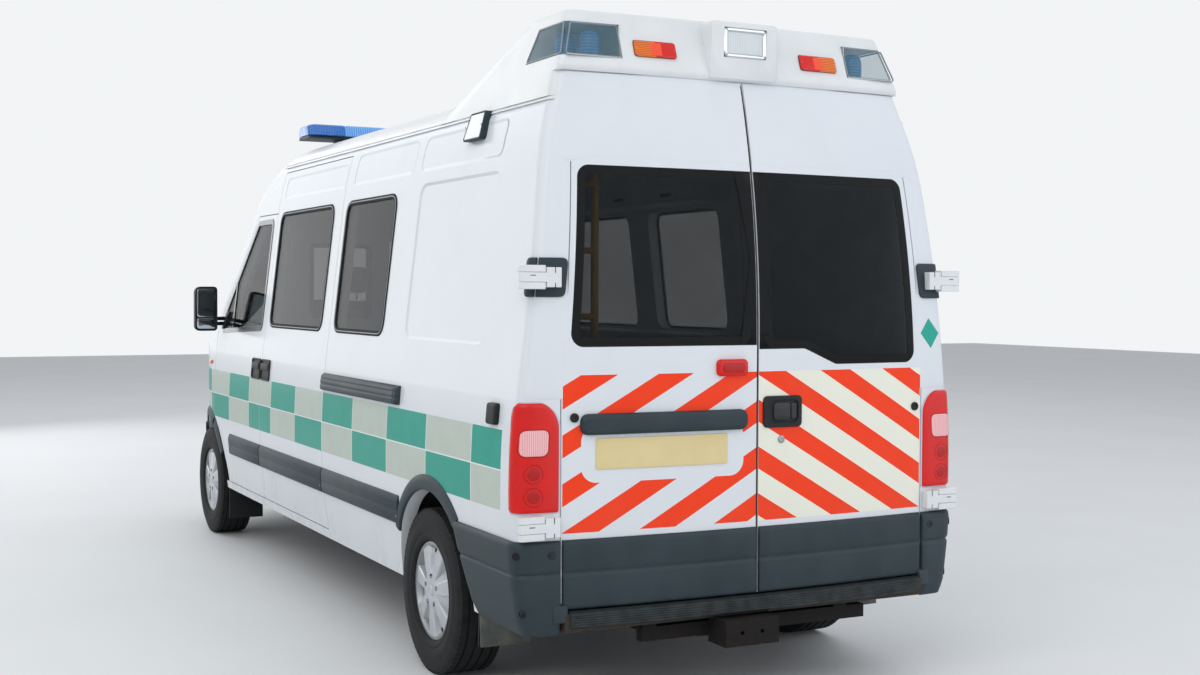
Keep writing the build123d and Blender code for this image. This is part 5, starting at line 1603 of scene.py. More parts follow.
@dataclass
class Pod:
    """The lamp pod over the rear doors: its shell, beacons, marker lamps and flood lamp.

    Attributes:
        foot_z: Where its sides stand on the gutter.
        door_z: Where its rear face starts over the doors.
        top_z: Its top.
        foot_y: Half its width at the foot.
        bay: Inner Y, bottom and top Z, and front X of each beacon bay.
        flood: Half width, bottom and top of the flood lamp.
    """

    foot_z: float = 2318.0
    door_z: float = 2416.5
    top_z: float = 2655.0
    foot_y: float = 814.0
    bay: tuple[float, float, float, float] = (518.0, 2471.0, 2605.0, -560.0)
    flood: tuple[float, float, float] = (98.0, 2504.0, 2621.0)

    def half(self, z: float) -> float:
        """Returns half the pod's width at a height."""
        return self.foot_y - (z - self.foot_z) * 0.286

    def rear_face(self, y: float, z: float) -> float:
        """Returns the X of its rear face."""
        if z < self.door_z:
            return skin.rear_x(y, z) + 5
        knots = [(self.door_z, -858.0), (2426.0, -865.5), (2440.0, -867.0), (2606.0, -809.0),
                 (2655.0, -792.0)]
        for (za, xa), (zb, xb) in zip(knots, knots[1:]):
            if z <= zb:
                return xa + (xb - xa) * (z - za) / (zb - za) + y * y / 24000
        return knots[-1][1] + y * y / 24000

    def section(self, z: float, shrink: float, flat_z: float | None = None) -> list[Point]:
        """Returns the pod's outline in plan at a height, drawn in by a distance."""
        level = z if flat_z is None else flat_z
        half = self.half(level) - shrink
        round_ = 24.0 if z > self.door_z - 1 else 40.0
        front = 60 - (level - 2440) * 2.35 - shrink
        points = []
        for k in range(13):
            y = (half - round_) * (k / 6 - 1)
            points.append((self.rear_face(y, level) + shrink, y, z))
        corner_x = self.rear_face(half - round_, level) + shrink + round_
        for k in range(1, 6):
            a = math.pi / 2 * k / 6
            points.append((corner_x - round_ * math.cos(a), half - round_ + round_ * math.sin(a), z))
        for k in range(9):
            points.append((corner_x + (front - 60 - corner_x) * k / 8, half, z))
        points += [(front - 30, half - 9, z), (front - 6, half - 34, z), (front, half - 70, z)]
        mirrored = [(x, -y, z) for x, y, z in reversed(points[13:])]
        return points + mirrored

    def shell(self) -> Form:
        """Returns the whole pod with its raised box for the flood lamp."""
        rows = [self.section(z, 0) for z in (self.foot_z, 2350, 2385, self.door_z - 1.5)]
        rows += [self.section(z, 0) for z in (self.door_z, 2426, 2440, 2470, 2520, 2570, 2606, 2630, 2640)]
        rows += [self.section(z, shrink, 2640) for z, shrink in ((2647, 2.2), (2652, 6), (2654.4, 12),
                                                                 (2655, 20), (2655, 60))]
        return Form().rows(rows, wrap=True, caps=True)

    def box(self) -> Form:
        """Returns the raised box round the flood lamp."""
        half = 150.0
        rows = []
        for z, shrink in ((2418, 12), (2424, 3), (2440, 0), (2625, 0), (2636, 2), (2642, 7), (2644.5, 16)):
            rear = -891.5 + (2640 - z) * 0.045 + shrink
            rows.append([(rear + 6, -half + shrink, z), (rear, -half + 7 + shrink, z),
                         (rear, half - 7 - shrink, z), (rear + 6, half - shrink, z),
                         (-770, half - shrink, z), (-770, -half + shrink, z)])
        return Form().rows(rows, wrap=True, caps=True)

    def bay_tool(self, gap: float) -> Form:
        """Returns the block that cuts a beacon bay out of the shell, drawn in by a gap."""
        y0, z0, z1, x1 = self.bay
        low, high, end = z0 + gap, z1 - gap, x1 - gap
        points = [(x, y, z) for x in (-960, end) for y in (y0 + gap, 960) for z in (low, high)]
        points = [(x + (45 if x > -900 and z < 2500 else 0), y, z) for x, y, z in points]
        return Form().add(points, [(0, 1, 3, 2), (4, 6, 7, 5), (0, 4, 5, 1), (2, 3, 7, 6), (0, 2, 6, 4),
                                   (1, 5, 7, 3)])

    def frames(self) -> list[list[Point]]:
        """Returns the rims of the left bay's rear and side windows."""
        y0, z0, z1, x1 = self.bay
        rear = []
        for y, z in rounded([(y0 + 5, z0 + 5), (self.half(z0) - 20, z0 + 5), (self.half(z1) - 20, z1 - 5),
                             (y0 + 5, z1 - 5)], 10, 3):
            rear.append((self.rear_face(y, z) - 0.5, y, z))
        side = []
        for x, z in rounded([(-828, z0 + 5), (x1 + 38, z0 + 5), (x1 - 8, z1 - 5), (-782, z1 - 5)], 10, 3):
            side.append((x, self.half(z) + 0.5, z))
        return [rear, side]

    def build(self) -> None:
        """Makes the shell, the beacons and every lamp of the pod."""
        whole = self.shell()
        cut = combined("pod_left", whole, self.bay_tool(0), "DIFFERENCE")
        cut = combined("pod_both", cut, self.bay_tool(0).flipped(), "DIFFERENCE")
        cut = combined("pod_flood", cut, Form().box((-960, -97, 2505), (-840, 97, 2620)), "DIFFERENCE")
        gelcoat = store.get(Finish.GELCOAT)
        cut.make("pod_shell", "body", [gelcoat], "white_moulding", sharp=40, stands_for=["roof_pod"])
        front_box = combined("pod_box", self.box(), Form().box((-960, -97, 2505), (-866, 97, 2620)),
                             "DIFFERENCE")
        front_box.make("flood_box", "body", [gelcoat], "white_moulding", sharp=40)
        lens = combined("bay_lens", whole, self.bay_tool(0.5), "INTERSECT")
        lens.both_sides().make("beacon_lenses", "body", [store.get(CLEAR_LENS)], "lens_clear", sharp=40)
        y0, z0, z1, x1 = self.bay
        rims = self.frames()
        rims += [[(x, -y, z) for x, y, z in path] for path in rims]
        beads.make("beacon_rims", "body", rims, 3.2, store.get(Finish.FILLER), closed=True, slot="silver")
        domes = Form()
        for y, x in ((612, -748), (668, -655)):
            domes.turned([(0, 46), (8, 46), (9, 41), (74, 41), (98, 33), (109, 18), (111, 2)],
                         (x, y, z0 + 4), (0, 0, 1), 32)
        domes.both_sides().make("beacon_domes", "body", [store.get(BLUE_DOME)], "lens_blue",
                                stands_for=["blue_lamps"])
        backs = Form().box((-815, y0 + 1, z0 + 1), (x1 - 3, y0 + 4, z1 - 1)).box(
            (x1 - 6, y0 + 1, z0 + 1), (x1 - 3, 736, z1 - 1))
        backs.box((-845, y0 + 2, z0 + 0.4), (x1 - 2, 752, z0 + 3.5))
        backs.both_sides().make("beacon_reflectors", "body", [store.get(Finish.ALUMINIUM)], "silver")
        self.markers()
        self.flood_lamp()

    def markers(self) -> None:
        """Makes the two marker lamps: amber outboard, red inboard, in dark bases."""
        form = Form()

        def place(u: float, v: float, w: float) -> Point:
            """Puts the lamp on the pod's sloping rear face."""
            return (self.rear_face(u, v) - w, u, v)
        form.slab(rounded([(286, 2484), (466, 2484), (466, 2550), (286, 2550)], 12, 5), place, -6, 3.0, 2,
                  coat=0)
        form.slab(rounded([(288, 2486), (376, 2486), (376, 2548), (288, 2548)], [11, 1, 1, 11], 5), place,
                  2.5, 10.5, 3, 1, coat=1)
        form.slab(rounded([(376.4, 2486), (464, 2486), (464, 2548), (376.4, 2548)], [1, 11, 11, 1], 5),
                  place, 2.5, 10.5, 3, 1, coat=2)
        form.slab(rounded([(352, 2492), (398, 2492), (398, 2542), (352, 2542)], 4, 3), place, 9.5, 12.0,
                  1.5, 0.5, coat=3)
        warm = Lens("orange_red_acrylic_lens", "#F2562F", "#D03A1C", rib_mm=6, rib=0.4, across=1, painted_glow=0.25)
        finishes = [store.get(Finish.GLOSS_BLACK), store.get(RED_LENS), store.get(AMBER_LENS),
                    store.get(warm)]
        form.both_sides().make("marker_lamps", "body", finishes, "lens_red", stands_for=["roof_lamps"])
        heads = Form()
        for y, z in ((295, 2517), (457, 2517)):
            point = place(y, z, 9)
            heads.turned([(0, 3.4), (1.2, 3.4), (1.8, 2), (1.2, 0.5)], point, (-0.94, 0, -0.33), 10)
        heads.both_sides().make("marker_screws", "body", [store.get(Finish.STEEL)], "steel")

    def flood_lamp(self) -> None:
        """Makes the flood lamp: chromed bezel, ribbed glass, reflector and bulb."""
        half, z0, z1 = self.flood

        def place(u: float, v: float, w: float) -> Point:
            """Puts the lamp on the box's rear face, where the node sits."""
            return (-892 + 0.3 - w, u, v)
        outer = rounded([(-half + 1, z0 + 1), (half - 1, z0 + 1), (half - 1, z1 - 1), (-half + 1, z1 - 1)],
                        22, 8)
        inner = inset(outer, 15)
        form = Form().ring(outer, inner, place, -28, -0.2, coat=0, edge=4.0)
        form.slab(inner, place, -9, -6, 1, 2.5, coat=1)
        form.slab(inset(inner, -1), place, -27, -25, 0.5, coat=2)
        form.turned([(0, 9), (10, 9), (13, 6), (14, 1)], (-892 + 24, 0, (z0 + z1) / 2), (-1, 0, 0), 20,
                    coat=3)
        finishes = [store.get(Finish.CHROME), store.get(RIBBED_LENS), store.get(Finish.HOUSING),
                    store.get(Finish.YELLOW)]
        form.make("flood_lamp", "body", finishes, "lens_clear")
        heads = Form()
        for y in (-half + 11, half - 11):
            for z in (z0 + 11, z1 - 11):
                heads.turned([(0, 4), (1.0, 4), (1.6, 2.4), (1.0, 0.6)], place(y, z, -1.2), (-1, 0, 0), 12)
        heads.make("flood_screws", "body", [store.get(Finish.STEEL)], "steel")


def dress(node: str, *finishes: bpy.types.Material) -> None:
    """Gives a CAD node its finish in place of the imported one."""
    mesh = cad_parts[node].data
    for i in range(len(mesh.materials)):
        mesh.materials[i] = finishes[min(i, len(finishes) - 1)]


@dataclass
class HighRoof:
    """The glass-fibre top of the roof: steep shoulders over the gutter and a nearly flat crown.

    Attributes:
        half: Half its width at the gutter.
        crown_z: Height of the crown.
        gutter_z: Height of the gutter.
        bow: Radius of the plain crown beneath.
        rear_x: Where it starts at the rear.
        fade_x: Where its shoulders start to soften, and where they are gone.
    """

    half: float = 811.0
    crown_z: float = 2486.0
    gutter_z: float = 2317.0
    bow: float = 2000.0
    rear_x: float = -700.0
    fade_x: Flat = (2650.0, 3420.0)

    def lift(self, y: float) -> float:
        """Returns how much higher the boxy profile is than the plain crown."""
        plain = self.crown_z - self.bow + math.sqrt(self.bow ** 2 - y * y)
        share = min(abs(y) / self.half, 1.0)
        boxy = self.gutter_z + (self.crown_z - self.gutter_z) * (1 - share ** 3.6) ** (1 / 1.3)
        return max(boxy - plain, 0.0)

    def height(self, x: float, y: float) -> float:
        """Returns the height of the roof beneath, read off the CAD nodes."""
        start = metres((x, y, 2900))
        found = [0.0]
        for node in ("roof_panel", "cab_shell"):
            hit, place, _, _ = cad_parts[node].ray_cast(start, Vector((0, 0, -1)))
            if hit:
                found.append(place.z * 1000)
        return max(found)

    def build(self) -> None:
        """Makes the roof's top and the whip aerial in front of the pod."""
        first, last = self.fade_x
        stations = [self.rear_x + (2600 - self.rear_x) * k / 12
                    for k in range(13)] + [2600 + 820 * k / 16 for k in range(1, 17)]
        across = [math.sin(math.pi / 2 * k / 18) * self.half for k in range(-18, 19)]
        rows = []
        for x in stations:
            share = min(max((x - first) / (last - first), 0), 1)
            fade = 1 - share * share * (3 - 2 * share)
            top = [(x, y, self.height(min(x, 3600), y * 0.998) + self.lift(y) * fade
                    + 1.2 * min(1, (1 - share) * 8)) for y in across]
            base = [(x, y, z - 2.5 - self.lift(y) * fade) for x, y, z in top[::-1][4:-4:3]]
            rows.append([(x, across[0], top[0][2] - 3)] + top + [(x, across[-1], top[-1][2] - 3)] + base)
        Form().rows(rows, wrap=True, caps=True).make(
            "high_roof", "body", [store.get(Finish.GELCOAT)], "white_paint", sharp=60)
        mast = Form().turned([(-4, 16), (3, 16), (12, 9), (26, 5), (30, 2.2), (150, 1.2)],
                             (250, -120, 2486), (-0.35, 0, 1), 16)
        mast.make("whip_aerial", "body", [store.get(Finish.BLACK)], "black_plastic")


@dataclass
class Mouldings:
    """Rub strips, wheel-arch trims, the sliding door's rail cover and its stop.

    Attributes:
        strip_z: Bottom and top of the rub strips.
        arch_inner: Inner radius of the arch trims.
        arch_outer: Their outer radius.
        arch_z: Height of their centres.
        rear_arch_x: Centre of the rear ones along the vehicle.
        door_rear_x: Rear end of the strip on a front door.
        side_rear_x: Rear end of the strip on the sliding door, and of the one opposite.
        strip_front_x: Front end of the foremost strip.
    """

    strip_z: Flat = (580.0, 706.0)
    arch_inner: float = 406.5
    arch_outer: float = 471.5
    arch_z: float = 366.0
    rear_arch_x: float = -45.0
    door_rear_x: float = 2700.0
    side_rear_x: float = 1462.0
    strip_front_x: float = 3440.0

    def strip_profile(self) -> list[Flat]:
        """Returns the strip's height and outward steps: a broad face, a crease and an upper bevel."""
        low, high = self.strip_z
        return [(low, 0.5), (low, 7), (low + 3, 11), (low + 10, 13.4), (low + 52, 13.8), (low + 57, 11.6),
                (low + 62, 13.8), (high - 30, 13.6), (high - 24, 12.4), (high - 8, 6.2), (high - 3, 4.6),
                (high, 2.0), (high, 0.5)]

    def strip(self, x0: float, x1: float) -> Form:
        """Returns a rub strip with softened ends."""
        rows = []
        for x, full in ((x0, 0.5), (x0 + 2, 0.85), (x0 + 7, 1.0), (x1 - 7, 1.0), (x1 - 2, 0.85), (x1, 0.5)):
            rows.append([skin.side(x, z, 0.5 + (out - 0.5) * full) for z, out in self.strip_profile()])
        return Form().rows(rows, wrap=True, caps=True)

    def arch(self, hub_x: float, start: float, end: float) -> Form:
        """Returns an arch trim as a swept lip.

        Args:
            hub_x: The arch's centre.
            start: Angle of its rear end in degrees, from straight forward.
            end: Angle of its front end.

        Returns:
            The form.
        """
        inner, outer = self.arch_inner, self.arch_outer
        profile = [(inner, -22), (inner, 4), (inner + 3, 9), (inner + 9, 11.5), (inner + 34, 11.8),
                   (inner + 44, 10.4), (outer - 8, 6.0), (outer - 2, 3.4), (outer, 1.5), (outer, 0.5),
                   (inner + 12, 0.5), (inner + 8, -22)]
        rows = []
        steps = 64
        for k in range(steps + 1):
            a = math.radians(start + (end - start) * k / steps)
            row = []
            for radius, out in profile:
                x, z = hub_x + radius * math.cos(a), self.arch_z + radius * math.sin(a)
                row.append(skin.side(x, z, out))
            rows.append(row)
        return Form().rows(rows, wrap=True, caps=True)

    def rail(self) -> Form:
        """Returns the ribbed cover of the sliding door's rail, with its end cap."""
        z0 = 1100.0
        profile = [(z0, 0.5), (z0, 16), (z0 + 4, 21), (z0 + 12, 24), (z0 + 24, 24.5), (z0 + 28, 21.5),
                   (z0 + 33, 21.5), (z0 + 37, 24.5), (z0 + 50, 24.5), (z0 + 54, 21.5), (z0 + 59, 21.5),
                   (z0 + 63, 23.5), (z0 + 72, 20), (z0 + 79, 13), (z0 + 82, 6), (z0 + 82, 0.5)]
        rows = []
        for x, full in ((320, 0.3), (323, 0.75), (330, 1.0), (352, 1.0), (354, 0.86), (360, 0.86),
                        (362, 1.0), (1440, 1.0), (1450, 0.9), (1454, 0.6)):
            rows.append([skin.side(x, z, 0.5 + (out - 0.5) * full) for z, out in profile])
        return Form().rows(rows, wrap=True, caps=True)

    def pull_handle(self, x0: float, x1: float) -> Form:
        """Returns a side door's handle: a rounded dish with a flat flap across it."""
        z0, z1 = 1081.0, 1201.0
        outer = rounded([(x0, z0), (x1, z0), (x1, z1), (x0, z1)], 20, 7)
        inner = inset(outer, 9)
        form = Form().ring(outer, inner, skin.side, 0.5, 9, edge=2.5)
        form.slab(inset(inner, -1), skin.side, 0.4, 2.2, 0.8)
        middle = (z0 + z1) / 2
        form.slab(rounded([(x0 + 14, middle - 2), (x1 - 14, middle - 2), (x1 - 14, z1 - 22),
                           (x0 + 14, z1 - 22)], 8, 5),
                  skin.side, 2.0, 12.0, 3, 2)
        form.slab(rounded([(x0 + 22, z0 + 20), (x1 - 22, z0 + 20), (x1 - 22, z0 + 26), (x0 + 22, z0 + 26)],
                          2.5, 3),
                  skin.side, 1.5, 5, 1.2)
        return form

    def build(self) -> None:
        """Makes every moulding on both sides."""
        grey, black = store.get(Finish.BUMPER), store.get(Finish.BLACK)
        low, high = self.strip_z
        ring_end = self.rear_arch_x + math.sqrt(self.arch_outer ** 2 - (high - self.arch_z) ** 2)
        rear_start = math.degrees(math.asin((690.5 - self.arch_z) / self.arch_outer))
        front_end = math.degrees(math.asin((low - self.arch_z) / self.arch_outer))
        front_x = FRONT_AXLE - 20
        for side in ("left", "right"):
            turn = (lambda form: form) if side == "left" else (lambda form: form.flipped())
            stands = ["side_mouldings"] if side == "left" else []
            turn(self.arch(self.rear_arch_x, 180 - rear_start - 1.5, front_end)).make(
                f"rear_arch_trim_{side}", "body", [grey], "grey_plastic", stands_for=stands)
            door_edge = math.degrees(math.acos((3851 + 6 - front_x) / self.arch_inner)) - 1.2
            turn(self.arch(front_x, door_edge, front_end + 4)).make(
                f"front_arch_trim_{side}", "body", [grey], "grey_plastic")
            rear_end = 180 - front_end
            turn(self.arch(front_x, rear_end, door_edge + 3.4)).make(
                f"door_arch_trim_{side}", f"front_door_{side}", [grey], "grey_plastic")
            turn(self.strip(ring_end + 34, self.side_rear_x - 8)).make(
                f"rub_strip_rear_{side}", "body", [grey], "grey_plastic")
            turn(self.strip(self.side_rear_x + 3, self.door_rear_x - 8)).make(
                f"rub_strip_middle_{side}", "body", [grey], "grey_plastic")
            turn(self.strip(self.door_rear_x + 3, self.strip_front_x)).make(
                f"rub_strip_door_{side}", f"front_door_{side}", [grey], "grey_plastic",
                stands_for=[f"front_door_fittings_{side}"])
            heads = Form()
            for x in (ring_end + 50, self.side_rear_x - 24, self.side_rear_x + 20, self.door_rear_x - 26):
                heads.turned([(-0.5, 5.5), (0.9, 5.5), (1.6, 4), (0.8, 1.2), (0.8, 0.4)],
                             skin.side(x, low + 34, 13.4), (0, 1, 0), 12)
            turn(heads).make(f"strip_screws_{side}", "body", [store.get(Finish.STEEL)], "steel")
            turn(self.pull_handle(2708, 2895)).make(f"door_handle_{side}", f"front_door_{side}", [black],
                                                    "black_plastic")
        flap = []
        bulges = ((738, 0), (742, 5), (760, 6), (850, 8), (935, 6), (949, 5), (951, 0))
        for z, lean in ((215.5, -16), (222, -14), (300, -7), (380, -2), (440, 0)):
            rear = [(-495 + lean - bulge, y, z) for y, bulge in bulges]
            flap.append(rear + [(-492.5 + lean, y, z) for y in (949, 742)])
        Form().rows(flap, wrap=True, caps=True).both_sides().make(
            "rear_mud_flaps", "body", [store.get(Finish.DUSTY)], "black_plastic", sharp=50)
        self.rail().make("slide_rail_cover", "body", [grey], "grey_plastic")
        self.pull_handle(2500, 2688).make("sliding_door_handle", "body", [black], "black_plastic")
        stop = Form().slab(rounded([(-765, 1100), (-679, 1100), (-679, 1180), (-765, 1180)], 14, 5),
                           skin.side, 0.5, 21, 8, 1)
        stop.make("slide_stop", "body", [black], "black_plastic")


@dataclass
class SideGlazing:
    """The load space's fixed windows: panes, rubbers and pale filler strips.

    Attributes:
        windows: Limits of each window in X and Z.
    """

    windows: tuple[tuple[float, float, float, float], ...] = ((1604, 2610, 1395, 2030),
                                                              (647, 1380, 1397, 2030))

    def build(self) -> None:
        """Makes the rubber round every window; the CAD panes keep their place."""
        dress("side_windows", store.get(SIDE_GLASS))
        rubber, filler = store.get(Finish.RUBBER), store.get(Finish.FILLER)
        for number, (x0, x1, z0, z1) in enumerate(self.windows):
            outline = rounded([(x0, z0), (x1, z0), (x1, z1), (x0, z1)], 70, 9)
            outline = stretched(outline, 80)
            form = Form().ring(inset(outline, -11), inset(outline, 14), skin.side, -1.8, 4.6, edge=2.4,
                               coat=0)
            form.ring(inset(outline, -2.5), inset(outline, 3.0), skin.side, 3.0, 5.6, edge=1.2, coat=1)
            for side in ("left", "right"):
                made = form if side == "left" else form.flipped()
                made.make(f"window_rubber_{number}_{side}", "body", [rubber, filler], "black_plastic")


@dataclass
class SceneLamp:
    """The lamp high on each side that lights the ground beside the vehicle.

    Attributes:
        outline: Its corners, as X and Z.
    """

    outline: tuple[Flat, ...] = ((-312, 2201), (-131, 2201), (-131, 2319), (-285, 2319))

    def build(self) -> None:
        """Makes both lamps: dark frame, ribbed lens, reflector and two screws."""
        outer = rounded(self.outline, 14, 6)
        inner = inset(outer, 9)
        form = Form().ring(outer, inner, skin.side, 0.5, 31, edge=4, coat=0)
        form.slab(inset(inner, -0.5), skin.side, 24, 30, 2, 3, coat=1)
        form.slab(inset(inner, -0.5), skin.side, 2, 6, 1, coat=2)
        finishes = [store.get(Finish.BUMPER), store.get(FROSTED_LENS), store.get(Finish.HOUSING)]
        form.both_sides().make("scene_lamps", "body", finishes, "lens_clear")
        heads = Form()
        for x in (-303, -138):
            heads.turned([(0, 4.2), (1.2, 4.2), (1.8, 2.5), (1.2, 0.6)], skin.side(x + 5, 2260, 32),
                         (0, 1, 0), 12)
        heads.both_sides().make("scene_lamp_screws", "body", [store.get(Finish.STEEL)], "steel")


@dataclass
class LightBar:
    """The front light bar: pale blue lens with darker ends on a grey base with two feet.

    Attributes:
        x: Its middle.
        half: Half its length.
        z: Its underside and its top.
    """

    x: float = 2980.0
    half: float = 652.0
    z: Flat = (2502.0, 2587.0)

    def section(self, y: float, grow: float, z0: float, z1: float) -> list[Point]:
        """Returns the bar's rounded section at a width."""
        depth = 126.0 * grow
        top = z0 + (z1 - z0) * grow
        outline = rounded([(-depth, z0), (depth, z0), (depth * 0.86, top), (-depth * 0.86, top)],
                          [4, 4, 26, 26], 6)
        return [(self.x + u, y, v) for u, v in outline]

    def build(self) -> None:
        """Makes the lens in three lengths, the base, the rotators and the feet."""
        z0, z1 = self.z
        form = Form()
        cuts = [(-self.half, -430, 2), (-427, 427, 0), (430, self.half, 2)]
        for y0, y1, coat in cuts:
            ends = [(y0, 0.8 if y0 <= -650 else 0.97), (y0 + 12, 0.93 if y0 <= -650 else 1.0),
                    (y0 + 40, 1.0), (y1 - 40, 1.0), (y1 - 12, 0.93 if y1 >= 650 else 1.0),
                    (y1, 0.8 if y1 >= 650 else 0.97)]
            form.rows([self.section(y, grow, z0 + 20, z1) for y, grow in ends], coat, wrap=True, caps=True)
        form.rows([self.section(y, grow, z0, z0 + 19.4)
                   for y, grow in ((-650, 0.86), (-640, 0.97), (640, 0.97), (650, 0.86))],
                  1, wrap=True, caps=True)
        end_lens = Lens("blue_polycarbonate_end", "#3D86D8", "#1F5DB0", 0.85, rib_mm=10, rib=0.8, across=1,
                        painted_glow=0.12)
        finishes = [store.get(BLUE_LENS), store.get(Finish.BUMPER), store.get(end_lens)]
        form.make("light_bar", "body", finishes, "lens_blue")
        inner = Form()
        for y in (-540, -200, 200, 540):
            inner.turned([(0, 40), (34, 44), (40, 20), (46, 6)], (self.x, y, z0 + 22), (0, 0, 1), 24)
        inner.make("light_bar_rotators", "body", [store.get(Finish.HOUSING)], "silver")
        feet = Form()
        for y in (-420, 420):
            drop = 2486 - 2000 + math.sqrt(2000 ** 2 - 420 ** 2)
            feet.box((self.x - 74, y - 26, drop - 2), (self.x + 74, y + 26, z0 + 1))
            feet.box((self.x - 92, y - 40, drop - 3), (self.x + 92, y + 40, drop + 5))
        feet.make("light_bar_feet", "body", [store.get(Finish.BLACK)], "black_plastic", bevel=3)


@dataclass
class Mirror:
    """A tall door mirror: housing, two glasses and its twin arms.

    Attributes:
        x: Middle of its head.
        y: Inner and outer limits of its head.
        z: Bottom and top of its head.
    """

    x: float = 3625.0
    y: Flat = (1034.0, 1175.0)
    z: Flat = (1341.0, 1617.0)

    def head(self) -> Form:
        """Returns the housing, swelling forwards from its open face."""
        y0, y1 = self.y
        z0, z1 = self.z
        face = rounded([(y0, z0), (y1, z0), (y1, z1), (y0, z1)], [26, 34, 40, 26], 8)
        rows = []
        for reach, shrink in ((-52, 0), (-49, -0.5), (-40, 0.0), (-10, 1.5), (20, 6), (44, 15), (58, 28),
                              (64, 44)):
            ring = inset(face, max(shrink, 0))
            rows.append([(self.x + reach - (p[0] - y0) * 0.12, p[0], p[1]) for p in ring])
        back = [[(self.x - 46 - (p[0] - y0) * 0.12, p[0], p[1]) for p in inset(face, 6)]]
        return Form().rows(back + rows, wrap=True, caps=True)

    def glass(self, low: float, high: float, crown: float) -> Form:
        """Returns one of the mirror's glasses."""
        y0, y1 = self.y
        outline = rounded([(y0 + 12, low), (y1 - 12, low), (y1 - 12, high), (y0 + 12, high)], 16, 6)

        def place(u: float, v: float, w: float) -> Point:
            """Puts the glass in the housing's open rear face."""
            return (self.x - 46 - (u - y0) * 0.12 - w, u, v)
        return Form().slab(outline, place, 0, 3, 1, crown)

    def build(self) -> None:
        """Makes both mirrors with their arms and door plates."""
        z0, z1 = self.z
        for side in ("left", "right"):
            turn = (lambda form: form) if side == "left" else (lambda form: form.flipped())
            body = f"front_door_{side}"
            turn(self.head()).make(f"mirror_head_{side}", body, [store.get(Finish.BLACK)], "black_plastic")
            split = z0 + 88
            panes = self.glass(split, z1 - 14, 0.5)
            small = self.glass(z0 + 14, split - 8, 2.5)
            panes.add(small.points, small.faces, 0)
            silvered = Coat("silvered_mirror_glass", "#C9D2D8", "#BCC6CC", 0.04, 0.015, metallic=1.0,
                            grain_mm=40, grain=0.0)
            turn(panes).make(f"mirror_glass_{side}", body, [store.get(silvered)], "silver")
            arms = Form()
            for z in (1384, 1416):
                path = [skin.side(3700, z, -6), skin.side(3692, z, 12), (3676, 1002, z), (3660, 1030, z),
                        (3648, 1052, z)]
                arms.bar(path, 12, 12)
            foot = rounded([(3568, 1462), (3648, 1462), (3744, 1350), (3700, 1350)], 8, 5)
            arms.slab(foot, skin.side, 0.5, 12, 5, 3)
            turn(arms).make(f"mirror_arms_{side}", body, [store.get(Finish.BLACK)], "black_plastic")


